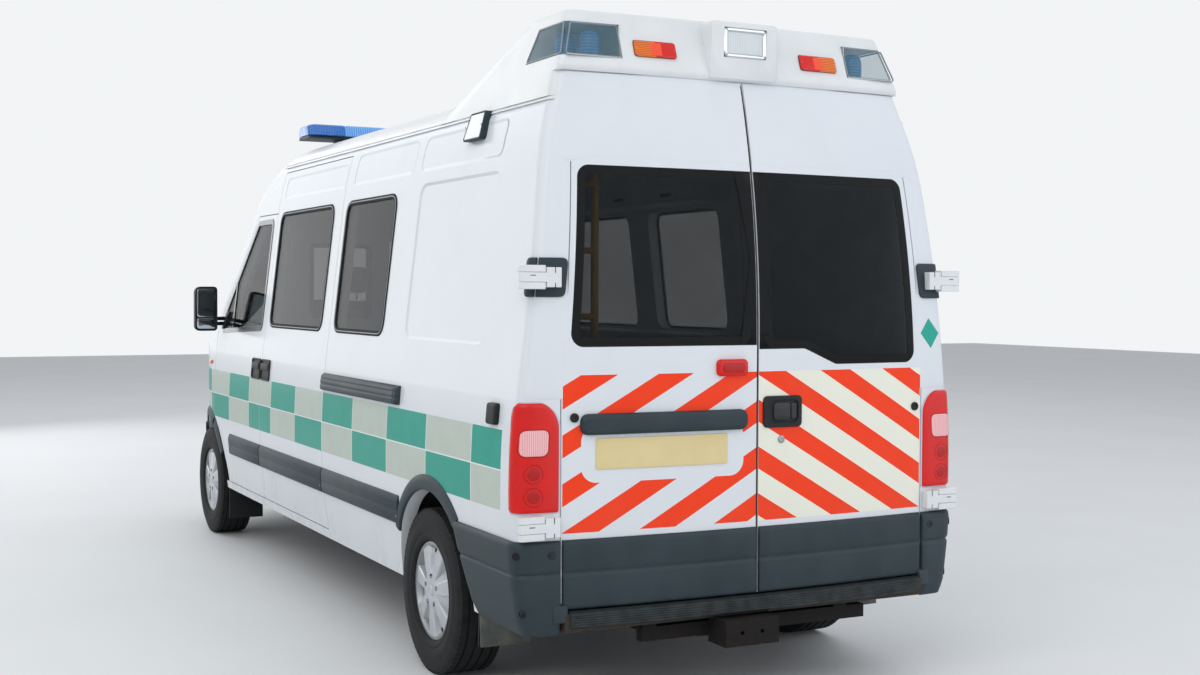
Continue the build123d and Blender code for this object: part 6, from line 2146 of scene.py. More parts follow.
@dataclass
class Wheel:
    """A tyre on its steel wheel with a moulded trim.

    Attributes:
        name: The end and side that it stands at.
        x: The axle's X.
        hand: One on the left, minus one on the right.
        radius: The tyre's radius.
        y: How far its middle stands from the vehicle's middle.
        hub_z: Height of its axle.
    """

    name: str
    x: float
    hand: int
    radius: float = 344.6
    y: float = 866.0
    hub_z: float = 345.0

    def place(self, reach: float, radius: float, angle: float) -> Point:
        """Returns a place from a distance outward along the axle, a radius and an angle."""
        return (self.x + radius * math.cos(angle), self.hand * (self.y + reach),
                self.hub_z + radius * math.sin(angle))

    def spun(self, profile: Sequence[Flat], steps: int, form: Form, coat: int = 0,
             closed: bool = False) -> Form:
        """Adds a profile of reach and radius turned about the axle."""
        rows = [[self.place(reach, radius, 2 * math.pi * k / steps) for k in range(steps)]
                for reach, radius in profile]
        return form.rows(rows, coat, wrap=True, caps=not closed, close=closed)

    def tyre(self) -> Form:
        """Returns the carcass with its grooves and sidewall rings."""
        r = self.radius
        wall = [(88, 206), (96, 209), (101, 215), (104, 226), (105, 236), (104.2, 238), (105.6, 241),
                (107.6, 262), (108.4, 281), (107.6, 283), (107.2, 300), (105, 314), (101.6, 324),
                (96.5, r - 10.5), (90, r - 4.2)]
        tread = [(84, r - 2.4), (66, r - 1.6), (65, r - 8.6), (58, r - 8.6), (57, r - 1.2), (25, r - 0.7),
                 (24, r - 8.2), (16, r - 8.2), (15, r - 0.4), (0, r - 0.2)]
        half = wall + tread
        other = [(-reach, radius) for reach, radius in reversed(half)][1:]
        return self.spun([(86, 200)] + half + other + [(-86, 200)], 128, Form(), closed=True)

    def tread_cut(self) -> Form:
        """Returns one pitch of the shoulder blocks and centre lugs that stand on the carcass."""
        form = Form()
        r = self.radius
        step = 2 * math.pi / 72
        for sign in (-1, 1):
            for start, end, lean in ((69, 95, 0.0), (28, 54, 0.35)):
                points = []
                for reach in (start, end):
                    drop = 1.9 if reach > 90 else 1.2 if reach > 60 else 0.7
                    for a0 in (-0.36, 0.36):
                        shift = lean * (reach - start) / (end - start) * step
                        for radius in (r - drop - 5, r - drop + 0.25):
                            points.append(self.place(sign * reach, radius,
                                                     a0 * step + shift * sign + math.pi / 2))
                form.add(points, [(0, 1, 3, 2), (4, 6, 7, 5), (0, 4, 5, 1), (2, 3, 7, 6), (0, 2, 6, 4),
                                  (1, 5, 7, 3)])
        return form

    def rim_form(self) -> Form:
        """Returns the rim's barrel and flange, the disc behind the trim, the drum and the hub."""
        barrel = [(-92, 178), (-92, 204), (-88, 205), (-72, 204.6), (-62, 186), (40, 186), (60, 204.6),
                  (86, 205), (90, 203.6), (91.5, 199), (90, 190), (72, 178), (48, 174), (-60, 174)]
        form = self.spun(barrel, 96, Form(), 0, closed=True)
        form = self.spun([(18, 60), (18, 90), (34, 110), (44, 176), (50, 176), (44, 108), (30, 88),
                          (30, 60)], 64, form, 0, closed=True)
        return self.spun([(-58, 29), (-58, 94), (-50, 98), (12, 98), (17, 92), (17, 29)], 48, form, 1,
                         closed=True)

    def trim(self) -> Form:
        """Returns the moulded trim: seven broad flat spokes with valleys between them that end in slots."""
        spokes = 7
        radii = [18, 30, 44, 52, 60, 70, 86, 104, 122, 140, 152, 157, 164, 172, 180, 185, 189, 195, 200,
                 203.5]
        columns = [-1.0, -0.8, -0.62, -0.54, -0.46, -0.38, -0.3, -0.15, 0.0, 0.15, 0.3, 0.38, 0.46, 0.54,
                   0.62, 0.8]

        def height(radius: float, u: float) -> float:
            """Returns how far the trim stands out at a radius and a place in its sector."""
            dome = 98 - 11 * (radius / 204) ** 2
            if radius < 46:
                dome -= 7 * (1 - radius / 46)
            opens = min(max((radius - 62) / 60, 0), 1)
            depth = 22 * opens * min(1, max(191 - radius, 0) / 5)
            floor = min(max((0.56 - abs(u)) / 0.1, 0), 1)
            dome -= depth * floor
            if radius > 199:
                dome -= (radius - 199) * 1.6
            return dome
        wide = spokes * len(columns)
        front = []
        for radius in radii:
            for s in range(spokes):
                for u in columns:
                    spread = 0.6 + 0.4 * min(max((radius - 60) / 110, 0), 1)
                    edge = 1 - (1 - abs(u)) * (1 - 0.56 * spread) / 0.44
                    v = u * spread if abs(u) <= 0.56 else math.copysign(edge, u)
                    angle = (s + v / 2) * 2 * math.pi / spokes + math.pi / 2
                    front.append(self.place(height(radius, u), radius, angle))
        faces = []
        for r in range(len(radii) - 1):
            for c in range(wide):
                d = (c + 1) % wide
                nearby = columns[c % len(columns)] + 0.04
                if 157 <= radii[r] < 185 and -0.4 <= nearby < 0.36:
                    continue
                faces.append((r * wide + c, r * wide + d, (r + 1) * wide + d, (r + 1) * wide + c))
        return Form().add(front, faces)

    def build(self) -> None:
        """Makes the tyre, its tread, the wheel and the trim."""
        body = f"wheel_{self.name}"
        self.tyre().make(f"tyre_carcass_{self.name}", body, [store.get(Finish.TYRE)], "tyre",
                         stands_for=[f"tyre_{self.name}"])
        copies.make(f"tread_blocks_{self.name}", body, self.tread_cut(), store.get(Finish.TYRE), 72,
                           turn=(0, 5, 0), centre=(self.x, self.hand * self.y, self.hub_z), slot="tyre")
        rim = self.rim_form()
        rim.make(f"rim_{self.name}", body, [store.get(Finish.STEEL), store.get(Finish.CAST)], "silver",
                 stands_for=[f"wheel_{self.name}"])
        trim = self.trim().make(f"wheel_trim_{self.name}", body, [store.get(Finish.SILVER)], "silver",
                                sharp=28)
        wall = trim.modifiers.new("wall", "SOLIDIFY")
        wall.thickness = 0.003
        wall.offset = -1.0
        hub = Form()
        self.spun([(88, 17), (92, 24), (95.5, 24), (97.4, 20), (98, 12), (98, 1)], 32, hub)
        hub.make(f"hub_cap_{self.name}", body, [store.get(Finish.SILVER)], "silver")
        nut = Form().turned([(0, 9.5), (2.6, 9.5), (3.0, 8.5), (1.4, 7.5), (0.9, 4.0), (0.9, 0.5)],
                            self.place(95.6, 62, math.pi / 2), (0, self.hand, 0), 12)
        copies.make(f"trim_bolts_{self.name}", body, nut, store.get(Finish.BLACK), 5, turn=(0, 72, 0),
                    centre=(self.x, self.hand * self.y, self.hub_z), slot="black_plastic")


class Facing:
    """Places on the first packed surface that a straight look along one axis meets."""

    def __init__(self, nodes: Sequence[str], axis: int, start: float) -> None:
        """Keeps which nodes it looks at, along which axis (0 to 2) and from where in millimetres."""
        self.nodes, self.axis, self.start = nodes, axis, start
        self.last = start

    def __call__(self, u: float, v: float, w: float) -> Point:
        """Returns the place met at two coordinates, moved back towards the eye by w."""
        point = [u, v]
        point.insert(self.axis, self.start)
        away = Vector((0, 0, 0))
        away[self.axis] = -1
        found = []
        for node in self.nodes:
            hit, place, _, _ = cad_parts[node].ray_cast(metres(point), away)
            if hit:
                found.append(1000 * (place[self.axis] - (AXLE_X if self.axis == 0 else 0)))
        if found:
            self.last = max(found)
        point[self.axis] = self.last + w
        return tuple(point)

    def meets(self, u: float, v: float) -> bool:
        """Tells whether the look meets any of the nodes."""
        point = [u, v]
        point.insert(self.axis, self.start)
        away = Vector((0, 0, 0))
        away[self.axis] = -1
        return any(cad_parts[node].ray_cast(metres(point), away)[0] for node in self.nodes)


def circle(u: float, v: float, radius: float, steps: int = 32) -> list[Flat]:
    """Returns a circle's points."""
    return [(u + radius * math.cos(2 * math.pi * k / steps),
             v + radius * math.sin(2 * math.pi * k / steps)) for k in range(steps)]


@dataclass
class Nose:
    """Headlamps, grille, bumper fittings and bonnet details.

    Attributes:
        bowls: Y and radius of each headlamp's reflectors.
        lamp_z: Their height.
        blade_z: Height of the lowest grille blade.
        blade_step: From one blade to the next.
        fog: Y and Z of the left fog lamp.
        drawn_back: How far the bumper's face goes back, to leave room for its pad and plate.
        fade_start: How far behind the foremost point that move is still whole.
        fade_end: How far behind the foremost point it has ended.
    """

    bowls: tuple[Flat, ...] = ((505.0, 66.0), (655.0, 72.0))
    lamp_z: float = 846.0
    blade_z: float = 790.0
    blade_step: float = 42.0
    fog: Flat = (610.0, 462.0)
    drawn_back: float = 8.5
    fade_start: float = 260.0
    fade_end: float = 560.0

    def headlamps(self) -> None:
        """Makes the clear lenses, the reflectors and bulbs behind them and the dark housings."""
        dress("headlamps", store.get(HEAD_LENS))
        lens = Facing(("headlamps",), 0, 5300)
        bowls, bulbs, backs = Form(), Form(), Form()
        for y, radius in self.bowls:
            x = lens(y + radius, self.lamp_z, 0)[0] - 74
            bowls.turned([(0, 14), (3, radius * 0.5), (13, radius * 0.76), (30, radius * 0.94),
                          (38, radius), (40, radius + 3), (36, radius + 4), (-6, 18)], (x, y, self.lamp_z),
                          (1, 0, 0), 36)
            bulbs.turned([(0, 7), (26, 7), (31, 5), (33, 1)], (x, y, self.lamp_z), (1, 0, 0), 16)
        outline = rounded([(420, 728), (742, 728), (806, 800), (806, 960), (420, 966)], 18, 4)
        backs.slab(stretched(outline, 40), lambda u, v, w: lens(min(u, 800), min(max(v, 735), 960), w),
                   -118, -96, 4)
        signal = circle(778, 905, 30)
        amber = Form().slab(signal, lambda u, v, w: (lens(790, 905, w)[0], u, v), -60, -48, 4, 3)
        bowls.both_sides().make("headlamp_reflectors", "body", [store.get(Finish.HOUSING)], "silver")
        bulbs.both_sides().make("headlamp_bulbs", "body", [store.get(FROSTED_LENS)], "lens_clear")
        backs.both_sides().make("headlamp_housings", "body", [store.get(Finish.GLOSS_BLACK)],
                                "black_plastic")
        amber.both_sides().make("front_signal_lamps", "body", [store.get(AMBER_LENS)], "lens_clear")

    def grille(self) -> None:
        """Makes the blades over the CAD grille's bars, its rim, and the radiator's fins behind."""
        front = Facing(("grille",), 0, 5300)
        form = Form()
        for k in range(4):
            z = self.blade_z + self.blade_step * k
            for sign in (-1, 1):
                rows = []
                for j in range(13):
                    y = sign * (17 + 352 * j / 12)
                    rows.append([(front(y, z, w)[0], y, z + dz)
                                 for dz, w in ((-8, -6), (-8.5, 1.5), (-5, 5.5), (2, 8), (7, 5), (8.5, 1),
                                               (8, -6))])
                form.rows(rows, wrap=True, caps=True)
        form.make("grille_blades", "body", [store.get(Finish.GLOSS_BLACK)], "black_plastic")
        outer = stretched(rounded([(-398, 722), (398, 722), (398, 973), (-398, 973)], 16, 5), 40)
        rim = Form().ring(outer, inset(outer, 15), lambda u, v,
                          w: front(min(max(u, -392), 392), min(max(v, 726), 745 if v < 850 else 970), w)
                          [:1] + (u, v), -8, 6, edge=3)
        rim.make("grille_rim", "body", [store.get(Finish.BUMPER)], "grey_plastic")
        fin = Form().box((4646, -338, 505), (4662, -335.6, 872))
        copies.make("radiator_fins", "body", fin, store.get(Finish.ALUMINIUM), 86, (0, 7.9, 0),
                    slot="aluminium")

    def bumper_skin(self) -> None:
        """Makes the bumper's skin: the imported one, drawn back to leave room for its pad and plate."""
        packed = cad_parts["front_bumper"].data
        foremost = max(v.co.x for v in packed.vertices) * 1000
        points = []
        for v in packed.vertices:
            x, y, z = (1000 * c for c in v.co)
            share = min(max((x - foremost + self.fade_end) / (self.fade_end - self.fade_start), 0), 1)
            points.append((x - 1000 * AXLE_X - self.drawn_back * share * share * (3 - 2 * share), y, z))
        form = Form().add(points, [tuple(face.vertices) for face in packed.polygons])
        form.make("front_bumper_skin", "body", [store.get(Finish.BUMPER)], "grey_plastic",
                  stands_for=["front_bumper"])

    def bumper(self) -> None:
        """Makes the bumper's pad, fog lamps, intake slats, blank plate and tow-eye cap."""
        face = Facing(("front_bumper",), 0, 5300)

        def front(y: float, z: float, w: float) -> Point:
            """Returns a place on the drawn-back face, w in front of it."""
            return face(y, z, w - self.drawn_back)
        grey, black = store.get(Finish.BUMPER), store.get(Finish.BLACK)
        rows = []
        for j in range(41):
            y = -820 + 41 * j
            rows.append([front(y, z, w) for z, w in ((622, -3), (622, 2), (628, 5), (684, 5), (691, 2),
                                                     (692, -3))])
        Form().rows(rows, wrap=True, caps=True).make("bumper_pad", "body", [black], "black_plastic")
        lamps = Form()
        y, z = self.fog
        lamps.ring(circle(y, z, 64), circle(y, z, 50), front, -4, 7, edge=2.5)
        lamps.slab(circle(y, z, 50.5), front, -3, 3, 1, 4, coat=1)
        lamps.both_sides().make("fog_lamps", "body",
                                [store.get(Finish.GLOSS_BLACK), store.get(RIBBED_LENS)], "lens_clear")
        slats = Form()
        for z in (492, 515, 538):
            slats.rows([[(front(y, 580, w)[0], y, z + dz)
                         for dz, w in ((-5, -30), (-4, -8), (2, -5), (5, -9), (4, -30))]
                        for y in [-329.5 + 41.2 * j for j in range(17)]], wrap=True, caps=True)
        slats.make("intake_slats", "body", [black], "black_plastic")
        flat = Form().slab(rounded([(-260, 574), (260, 574), (260, 685), (-260, 685)], 7, 4),
                           lambda u, v, w: (front(0, 600, w)[0], u, v), 0.5, 8, 1)
        white = Coat("blank_white_plate", "#E7E8E3", "#DADBD5", 0.34, 0.05, clear=0.3, grain_mm=1.5,
                     grain=0.02)
        flat.make("front_plate", "body", [store.get(white)])
        cap = Form().slab(circle(430, 520, 30), front, 0.4, 2.2, 0.8)
        cap.make("tow_eye_cap", "body", [grey], "grey_plastic")

    def bonnet(self) -> None:
        """Makes the bonnet's two soft ridges and the washer jets."""
        top = Facing(("bonnet",), 2, 2900)
        form = Form()
        for sign in (-1, 1):
            rows = []
            for j in range(15):
                x = 4378 + 26 * j
                ease = min(1.0, (j + 0.3) / 3, (14.3 - j) / 3)
                middle = sign * (430 - 60 * j / 14)
                rows.append([top(x, middle + off, w) for off, w in ((-34, -1), (-24, 0.8 * ease),
                                                                    (-10, 3.6 * ease), (0, 4.4 * ease),
                                                                     (10, 3.6 * ease), (24, 0.8 * ease),
                                                                     (34, -1), (0, -1.5))])
            form.rows(rows, wrap=True, caps=True)
        form.make("bonnet_ridges", "bonnet", [store.get(Livery())], "white_paint", sharp=60)
        jets = Form()
        for y in (-260, 260):
            jets.turned([(-2, 9), (4, 9), (8, 6), (9, 1)], top(4400, y, 0), (0.35, 0, 1), 14)
        jets.make("washer_jets", "bonnet", [store.get(Finish.BLACK)], "black_plastic")

    def wings(self) -> None:
        """Makes the side repeaters on the front wings."""
        form = Form().slab(rounded([(3930, 1118), (3996, 1118), (3996, 1144), (3930, 1144)], 11, 5),
                           skin.side, 0.3, 8, 4, 2)
        form.both_sides().make("side_repeaters", "body", [store.get(AMBER_LENS)], "lens_clear")

    def build(self) -> None:
        """Makes the whole nose."""
        self.headlamps()
        self.grille()
        self.bumper()
        self.bumper_skin()
        self.bonnet()
        self.wings()


@dataclass(frozen=True)
class ScreenGlass:
    """The laminated windscreen: green tint with a printed black border.

    Attributes:
        low: Height of its foot in metres.
        high: Height of its top.
        wide: Half its width at the foot and at the top.
        border: Width of the border.
    """

    low: float
    high: float
    wide: Flat
    border: float = 0.045

    def build(self) -> bpy.types.Material:
        """Returns the material."""
        n = Nodes("laminated_windscreen")
        place = n.add("TexCoord").outputs["Object"]
        _, y, z = parts_of(n, place)
        wide = n.add("MapRange", {"From Min": self.low, "From Max": self.high,
                                  "To Min": self.wide[0] - self.border,
                                  "To Max": self.wide[1] - self.border, "Value": z}).outputs[0]
        off = n.add("Math", {"operation": "ABSOLUTE"}, y).outputs[0]
        side = n.add("Math", {"operation": "GREATER_THAN"}, off, wide).outputs[0]
        foot = n.add("Math", {"operation": "LESS_THAN"}, z, self.low + self.border).outputs[0]
        head = n.add("Math", {"operation": "GREATER_THAN"}, z, self.high - self.border * 0.7).outputs[0]
        edge = n.add("Math", {"operation": "MAXIMUM"}, side,
                     n.add("Math", {"operation": "MAXIMUM"}, foot, head).outputs[0]).outputs[0]
        colour = n.add("MixRGB", None, edge, linear("#0F1A19"), linear("#0A0C0D")).outputs[0]
        hide = n.add("MapRange", {"To Min": 0.45, "To Max": 1.0, "Value": edge}).outputs[0]
        shader = n.add("BsdfPrincipled", {"Base Color": colour, "Roughness": 0.02, "IOR": 1.52,
                                          "Alpha": hide, "Specular IOR Level": 0.25})
        return n.finish(shader)


@dataclass
class Screen:
    """The windscreen's look, its wipers and the vents below it.

    Attributes:
        blade_lift: How far rearwards of the glass's foot the wiper blades start.
    """

    blade_lift: float = 60.0

    def foot_x(self, screen: Facing, y: float) -> float:
        """Returns how far forward the glass reaches at a width."""
        x = 4306.0
        while x > 3600 and not screen.meets(x, y):
            x -= 4
        return x

    def build(self) -> None:
        """Dresses the glass and makes the wipers and the dark slabs painted as the shade of the vent slots.
        """
        places = [v.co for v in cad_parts["windscreen"].data.vertices]
        low, high = min(p.z for p in places), max(p.z for p in places)
        wide = tuple(max(abs(p.y) for p in places if abs(p.z - level) < 0.03) for level in (low, high))
        dress("windscreen", store.get(ScreenGlass(
            round(low, 3), round(high, 3), (round(wide[0], 3), round(wide[1], 3)))))
        screen = Facing(("windscreen",), 2, 2900)
        form = Form()
        for y0, y1 in ((-640, -70), (20, 600)):
            ends = []
            for j in range(13):
                y = y0 + (y1 - y0) * j / 12
                x = self.foot_x(screen, y) - self.blade_lift - 20 * (1 - j / 12)
                ends.append(screen(x, y, 9))
            form.bar(ends, 5.5, 8)
            middle = Vector(ends[6]) + Vector((4, 0, 10))
            pivot = Vector((self.foot_x(screen, y1) + 14, y1 + 10,
                            screen(self.foot_x(screen, y1) - 8, y1, 0)[2] + 2))
            form.bar([tuple(pivot), tuple(pivot.lerp(middle, 0.3) + Vector((0, 0, 14))), tuple(middle)],
                     6.5, 8)
            form.turned([(-18, 13), (8, 13), (14, 9), (15, 1)], tuple(pivot), (0.3, 0, 1), 16)
        form.make("wipers", "body", [store.get(Finish.BLACK)], "black_plastic")
        top = Facing(("cowl_panel",), 2, 2900)
        # Gloss black slabs on the cowl, painted shade standing for its vent slots.
        slot = Form().slab(rounded([(4165, -560), (4205, -560), (4205, -552), (4165, -552)], 3.5, 3), top,
                           -1, 0.8, 0.3)
        copies.make("cowl_vent_shadows", "body", slot, store.get(Finish.GLOSS_BLACK), 29, (0, 40, 0),
                    slot="black_plastic")


@dataclass
class DoorWindow:
    """The front door's window: black surround, quarter-light bar and the trim inside.

    Attributes:
        outline: The window's corners, as X and Z.
        wall: Thickness of the door.
    """

    outline: tuple[Flat, ...] = ((2790, 1380), (2790, 1990), (3104, 1990), (3690, 1452), (3752, 1345))
    wall: float = 60.0

    def build(self) -> None:
        """Makes the surrounds and the door cards on both sides."""
        dress("front_door_glass_left", store.get(CAB_GLASS))
        dress("front_door_glass_right", store.get(CAB_GLASS))
        edge = stretched(rounded(self.outline, 30, 6), 60)
        form = Form().ring(inset(edge, -22), inset(edge, 9), skin.side, -1.5, 3.2, edge=1.6)
        form.slab([(3474, 1366), (3496, 1364), (3496, 1620), (3474, 1640)], skin.side, -6, 2.2, 1)
        card = stretched(rounded([(2765, 500), (3560, 500), (3640, 620), (3700, 800), (3790, 1000),
                                  (3786, 1310), (2765, 1322)], 40, 5), 90)

        def inward(u: float, v: float, w: float) -> Point:
            """Returns a place on the door's inner face, moved into the cab."""
            return skin.side(u, v, -self.wall - w)
        trim = Form().slab(card, inward, 0.5, 9, 5, 0)
        trim.slab(rounded([(2960, 985), (3520, 1010), (3520, 1078), (2960, 1048)], 26, 6), inward, 8, 52,
                  16, 3, coat=1)
        trim.slab(rounded([(2850, 600), (3500, 600), (3500, 760), (2850, 760)], 30, 6), inward, 8, 40, 8,
                  1, coat=1)
        trim.slab(circle(2880, 860, 80), inward, 8, 12, 2, 2, coat=1)
        handle = [inward(3560, 1120, 8), inward(3562, 1124, 40), inward(3600, 1200, 46),
                  inward(3640, 1270, 40), inward(3642, 1274, 8)]
        trim.bar(handle, 11, 10, coat=1)
        for side in ("left", "right"):
            turn = (lambda made: made) if side == "left" else (lambda made: made.flipped())
            turn(form).make(f"door_window_surround_{side}", f"front_door_{side}",
                            [store.get(Finish.GLOSS_BLACK)], "black_plastic")
            turn(trim).make(f"door_card_{side}", f"front_door_{side}",
                            [store.get(Finish.DASH), store.get(Finish.BLACK)], "black_plastic")


@dataclass(frozen=True)
class Weave:
    """Woven seat cloth: a soft sheen over a fine basket weave.

    Attributes:
        name: What the real cloth is.
        tone: Its colour.
        thread: The colour of its lighter threads.
        pitch_mm: Spacing of the threads, drawn at three times the real 1 mm so that it shows.
    """

    name: str
    tone: str
    thread: str
    pitch_mm: float = 3.0

    def build(self) -> bpy.types.Material:
        """Returns the material."""
        n = Nodes(self.name)
        place = n.add("TexCoord").outputs["Object"]
        x, y, z = parts_of(n, place)
        up = n.add("Math", {"operation": "ADD"}, x, z).outputs[0]
        waves = []
        for along in (up, y):
            phase = n.add("Math", {"operation": "MULTIPLY"}, along,
                          2000 * math.pi / self.pitch_mm).outputs[0]
            waves.append(n.add("Math", {"operation": "SINE"}, phase).outputs[0])
        basket = n.add("Math", {"operation": "MULTIPLY"}, *waves).outputs[0]
        height = n.add("MapRange", {"From Min": -1.0, "Value": basket}).outputs[0]
        fleck = n.add("TexNoise", {"Scale": 220.0, "Detail": 2.0, "Vector": place}).outputs[0]
        share = n.add("MapRange", {"From Min": 0.45, "From Max": 0.65, "To Max": 0.8,
                                   "Value": fleck}).outputs[0]
        colour = n.add("MixRGB", None, share, linear(self.tone), linear(self.thread)).outputs[0]
        worn = n.add("TexNoise", {"Scale": 6.0, "Detail": 3.0, "Vector": place}).outputs[0]
        rough = n.add("MapRange", {"To Min": 0.82, "To Max": 0.95, "Value": worn}).outputs[0]
        bump = n.add("Bump", {"Strength": 0.8, "Distance": 0.0004, "Height": height}).outputs[0]
        shader = n.add("BsdfPrincipled", {"Base Color": colour, "Roughness": rough, "IOR": 1.45,
                                          "Normal": bump, "Sheen Weight": 0.35, "Sheen Roughness": 0.4})
        return n.finish(shader)


SEAT_CLOTH = Weave("woven_seat_cloth", "#3B4652", "#6A7A8A")
# Wipe-clean coated cloth on the load-space seat and the mattress: a satin film with a fine leather grain.
VINYL = Coat("coated_upholstery_vinyl", "#27567A", "#1F4866", 0.42, 0.06, clear=0.15, grain_mm=2.2,
             grain=0.12)
PIPING = Coat("upholstery_piping", "#22282E", "#2E353C", 0.6, 0.06, grain_mm=1.5, grain=0.1)


@dataclass(frozen=True)
class Stuffing:
    """Padding blown up by cloth simulation, then sewn down along its channels.

    Attributes:
        voxel_mm: Size of the mesh that is simulated.
        cap_mm: The farthest that a point may move.
        pressure: Pressure inside.
    """

    voxel_mm: float = 10.0
    cap_mm: float = 24.0
    pressure: float = 4.0

    def swell(self, name: str, form: Form) -> bpy.types.Mesh:
        """Returns the swollen mesh of a plain shape.

        Args:
            name: A name for the work.
            form: The shape, a little smaller than the cushion.

        Returns:
            The mesh in metres.
        """
        mesh = bpy.data.meshes.new(name + "_start")
        mesh.from_pydata([metres(p) for p in form.points], [], form.faces)
        work = bmesh.new()
        work.from_mesh(mesh)
        bmesh.ops.remove_doubles(work, verts=work.verts, dist=2e-5)
        bmesh.ops.recalc_face_normals(work, faces=work.faces)
        work.to_mesh(mesh)
        work.free()
        thing = bpy.data.objects.new(name + "_start", mesh)
        scene = bpy.context.scene
        scene.collection.objects.link(thing)
        remesh = thing.modifiers.new("remesh", "REMESH")
        remesh.mode = "VOXEL"
        remesh.voxel_size = self.voxel_mm / 1000
        fine = bpy.data.meshes.new_from_object(thing.evaluated_get(bpy.context.evaluated_depsgraph_get()))
        thing.modifiers.clear()
        thing.data = fine
        starts = [v.co.copy() for v in fine.vertices]
        cloth = thing.modifiers.new("cloth", "CLOTH")
        cloth.settings.use_pressure = True
        cloth.settings.uniform_pressure_force = self.pressure
        cloth.settings.effector_weights.gravity = 0
        for step in range(1, 21):
            scene.frame_set(step)
        graph = bpy.context.evaluated_depsgraph_get()
        blown = bpy.data.meshes.new_from_object(thing.evaluated_get(graph))
        scene.frame_set(1)
        thing.modifiers.clear()
        for vertex, start, end in zip(fine.vertices, starts, blown.vertices):
            move = end.co - start
            if move.length > self.cap_mm / 1000:
                move *= self.cap_mm / 1000 / move.length
            vertex.co = start + move
        smooth = bmesh.new()
        smooth.from_mesh(fine)
        for _ in range(3):
            bmesh.ops.smooth_vert(smooth, verts=smooth.verts, factor=0.5, use_axis_x=True, use_axis_y=True,
                                  use_axis_z=True)
        smooth.to_mesh(fine)
        smooth.free()
        bpy.data.objects.remove(thing)
        return fine


def pressed(mesh: bpy.types.Mesh, depth: Callable[[Point, Vector], float]) -> None:
    """Presses a swollen mesh in along its normals.

    Args:
        mesh: The mesh in metres.
        depth: Turns a place in millimetres and its normal into how far it goes in, in millimetres.
    """
    moves = []
    for vertex in mesh.vertices:
        place = (1000 * (vertex.co.x - AXLE_X), 1000 * vertex.co.y, 1000 * vertex.co.z)
        moves.append(vertex.normal * (-depth(place, vertex.normal) / 1000))
    for vertex, move in zip(mesh.vertices, moves):
        vertex.co += move


def shifted(mesh: bpy.types.Mesh, to: Point, scale: float = 1.0, about: float = 0.0) -> bpy.types.Mesh:
    """Returns a copy of a mesh moved by millimetres, with its width scaled about a plane."""
    copy = mesh.copy()
    for vertex in copy.vertices:
        vertex.co.y = about / 1000 + (vertex.co.y - about / 1000) * scale
        vertex.co += Vector((to[0] / 1000, to[1] / 1000, to[2] / 1000))
    return copy


def channel(value: float, at: float, width: float) -> float:
    """Returns how deep a sewn channel is at a place, from one at its line to zero beside it."""
    return math.exp(-((value - at) / width) ** 2)


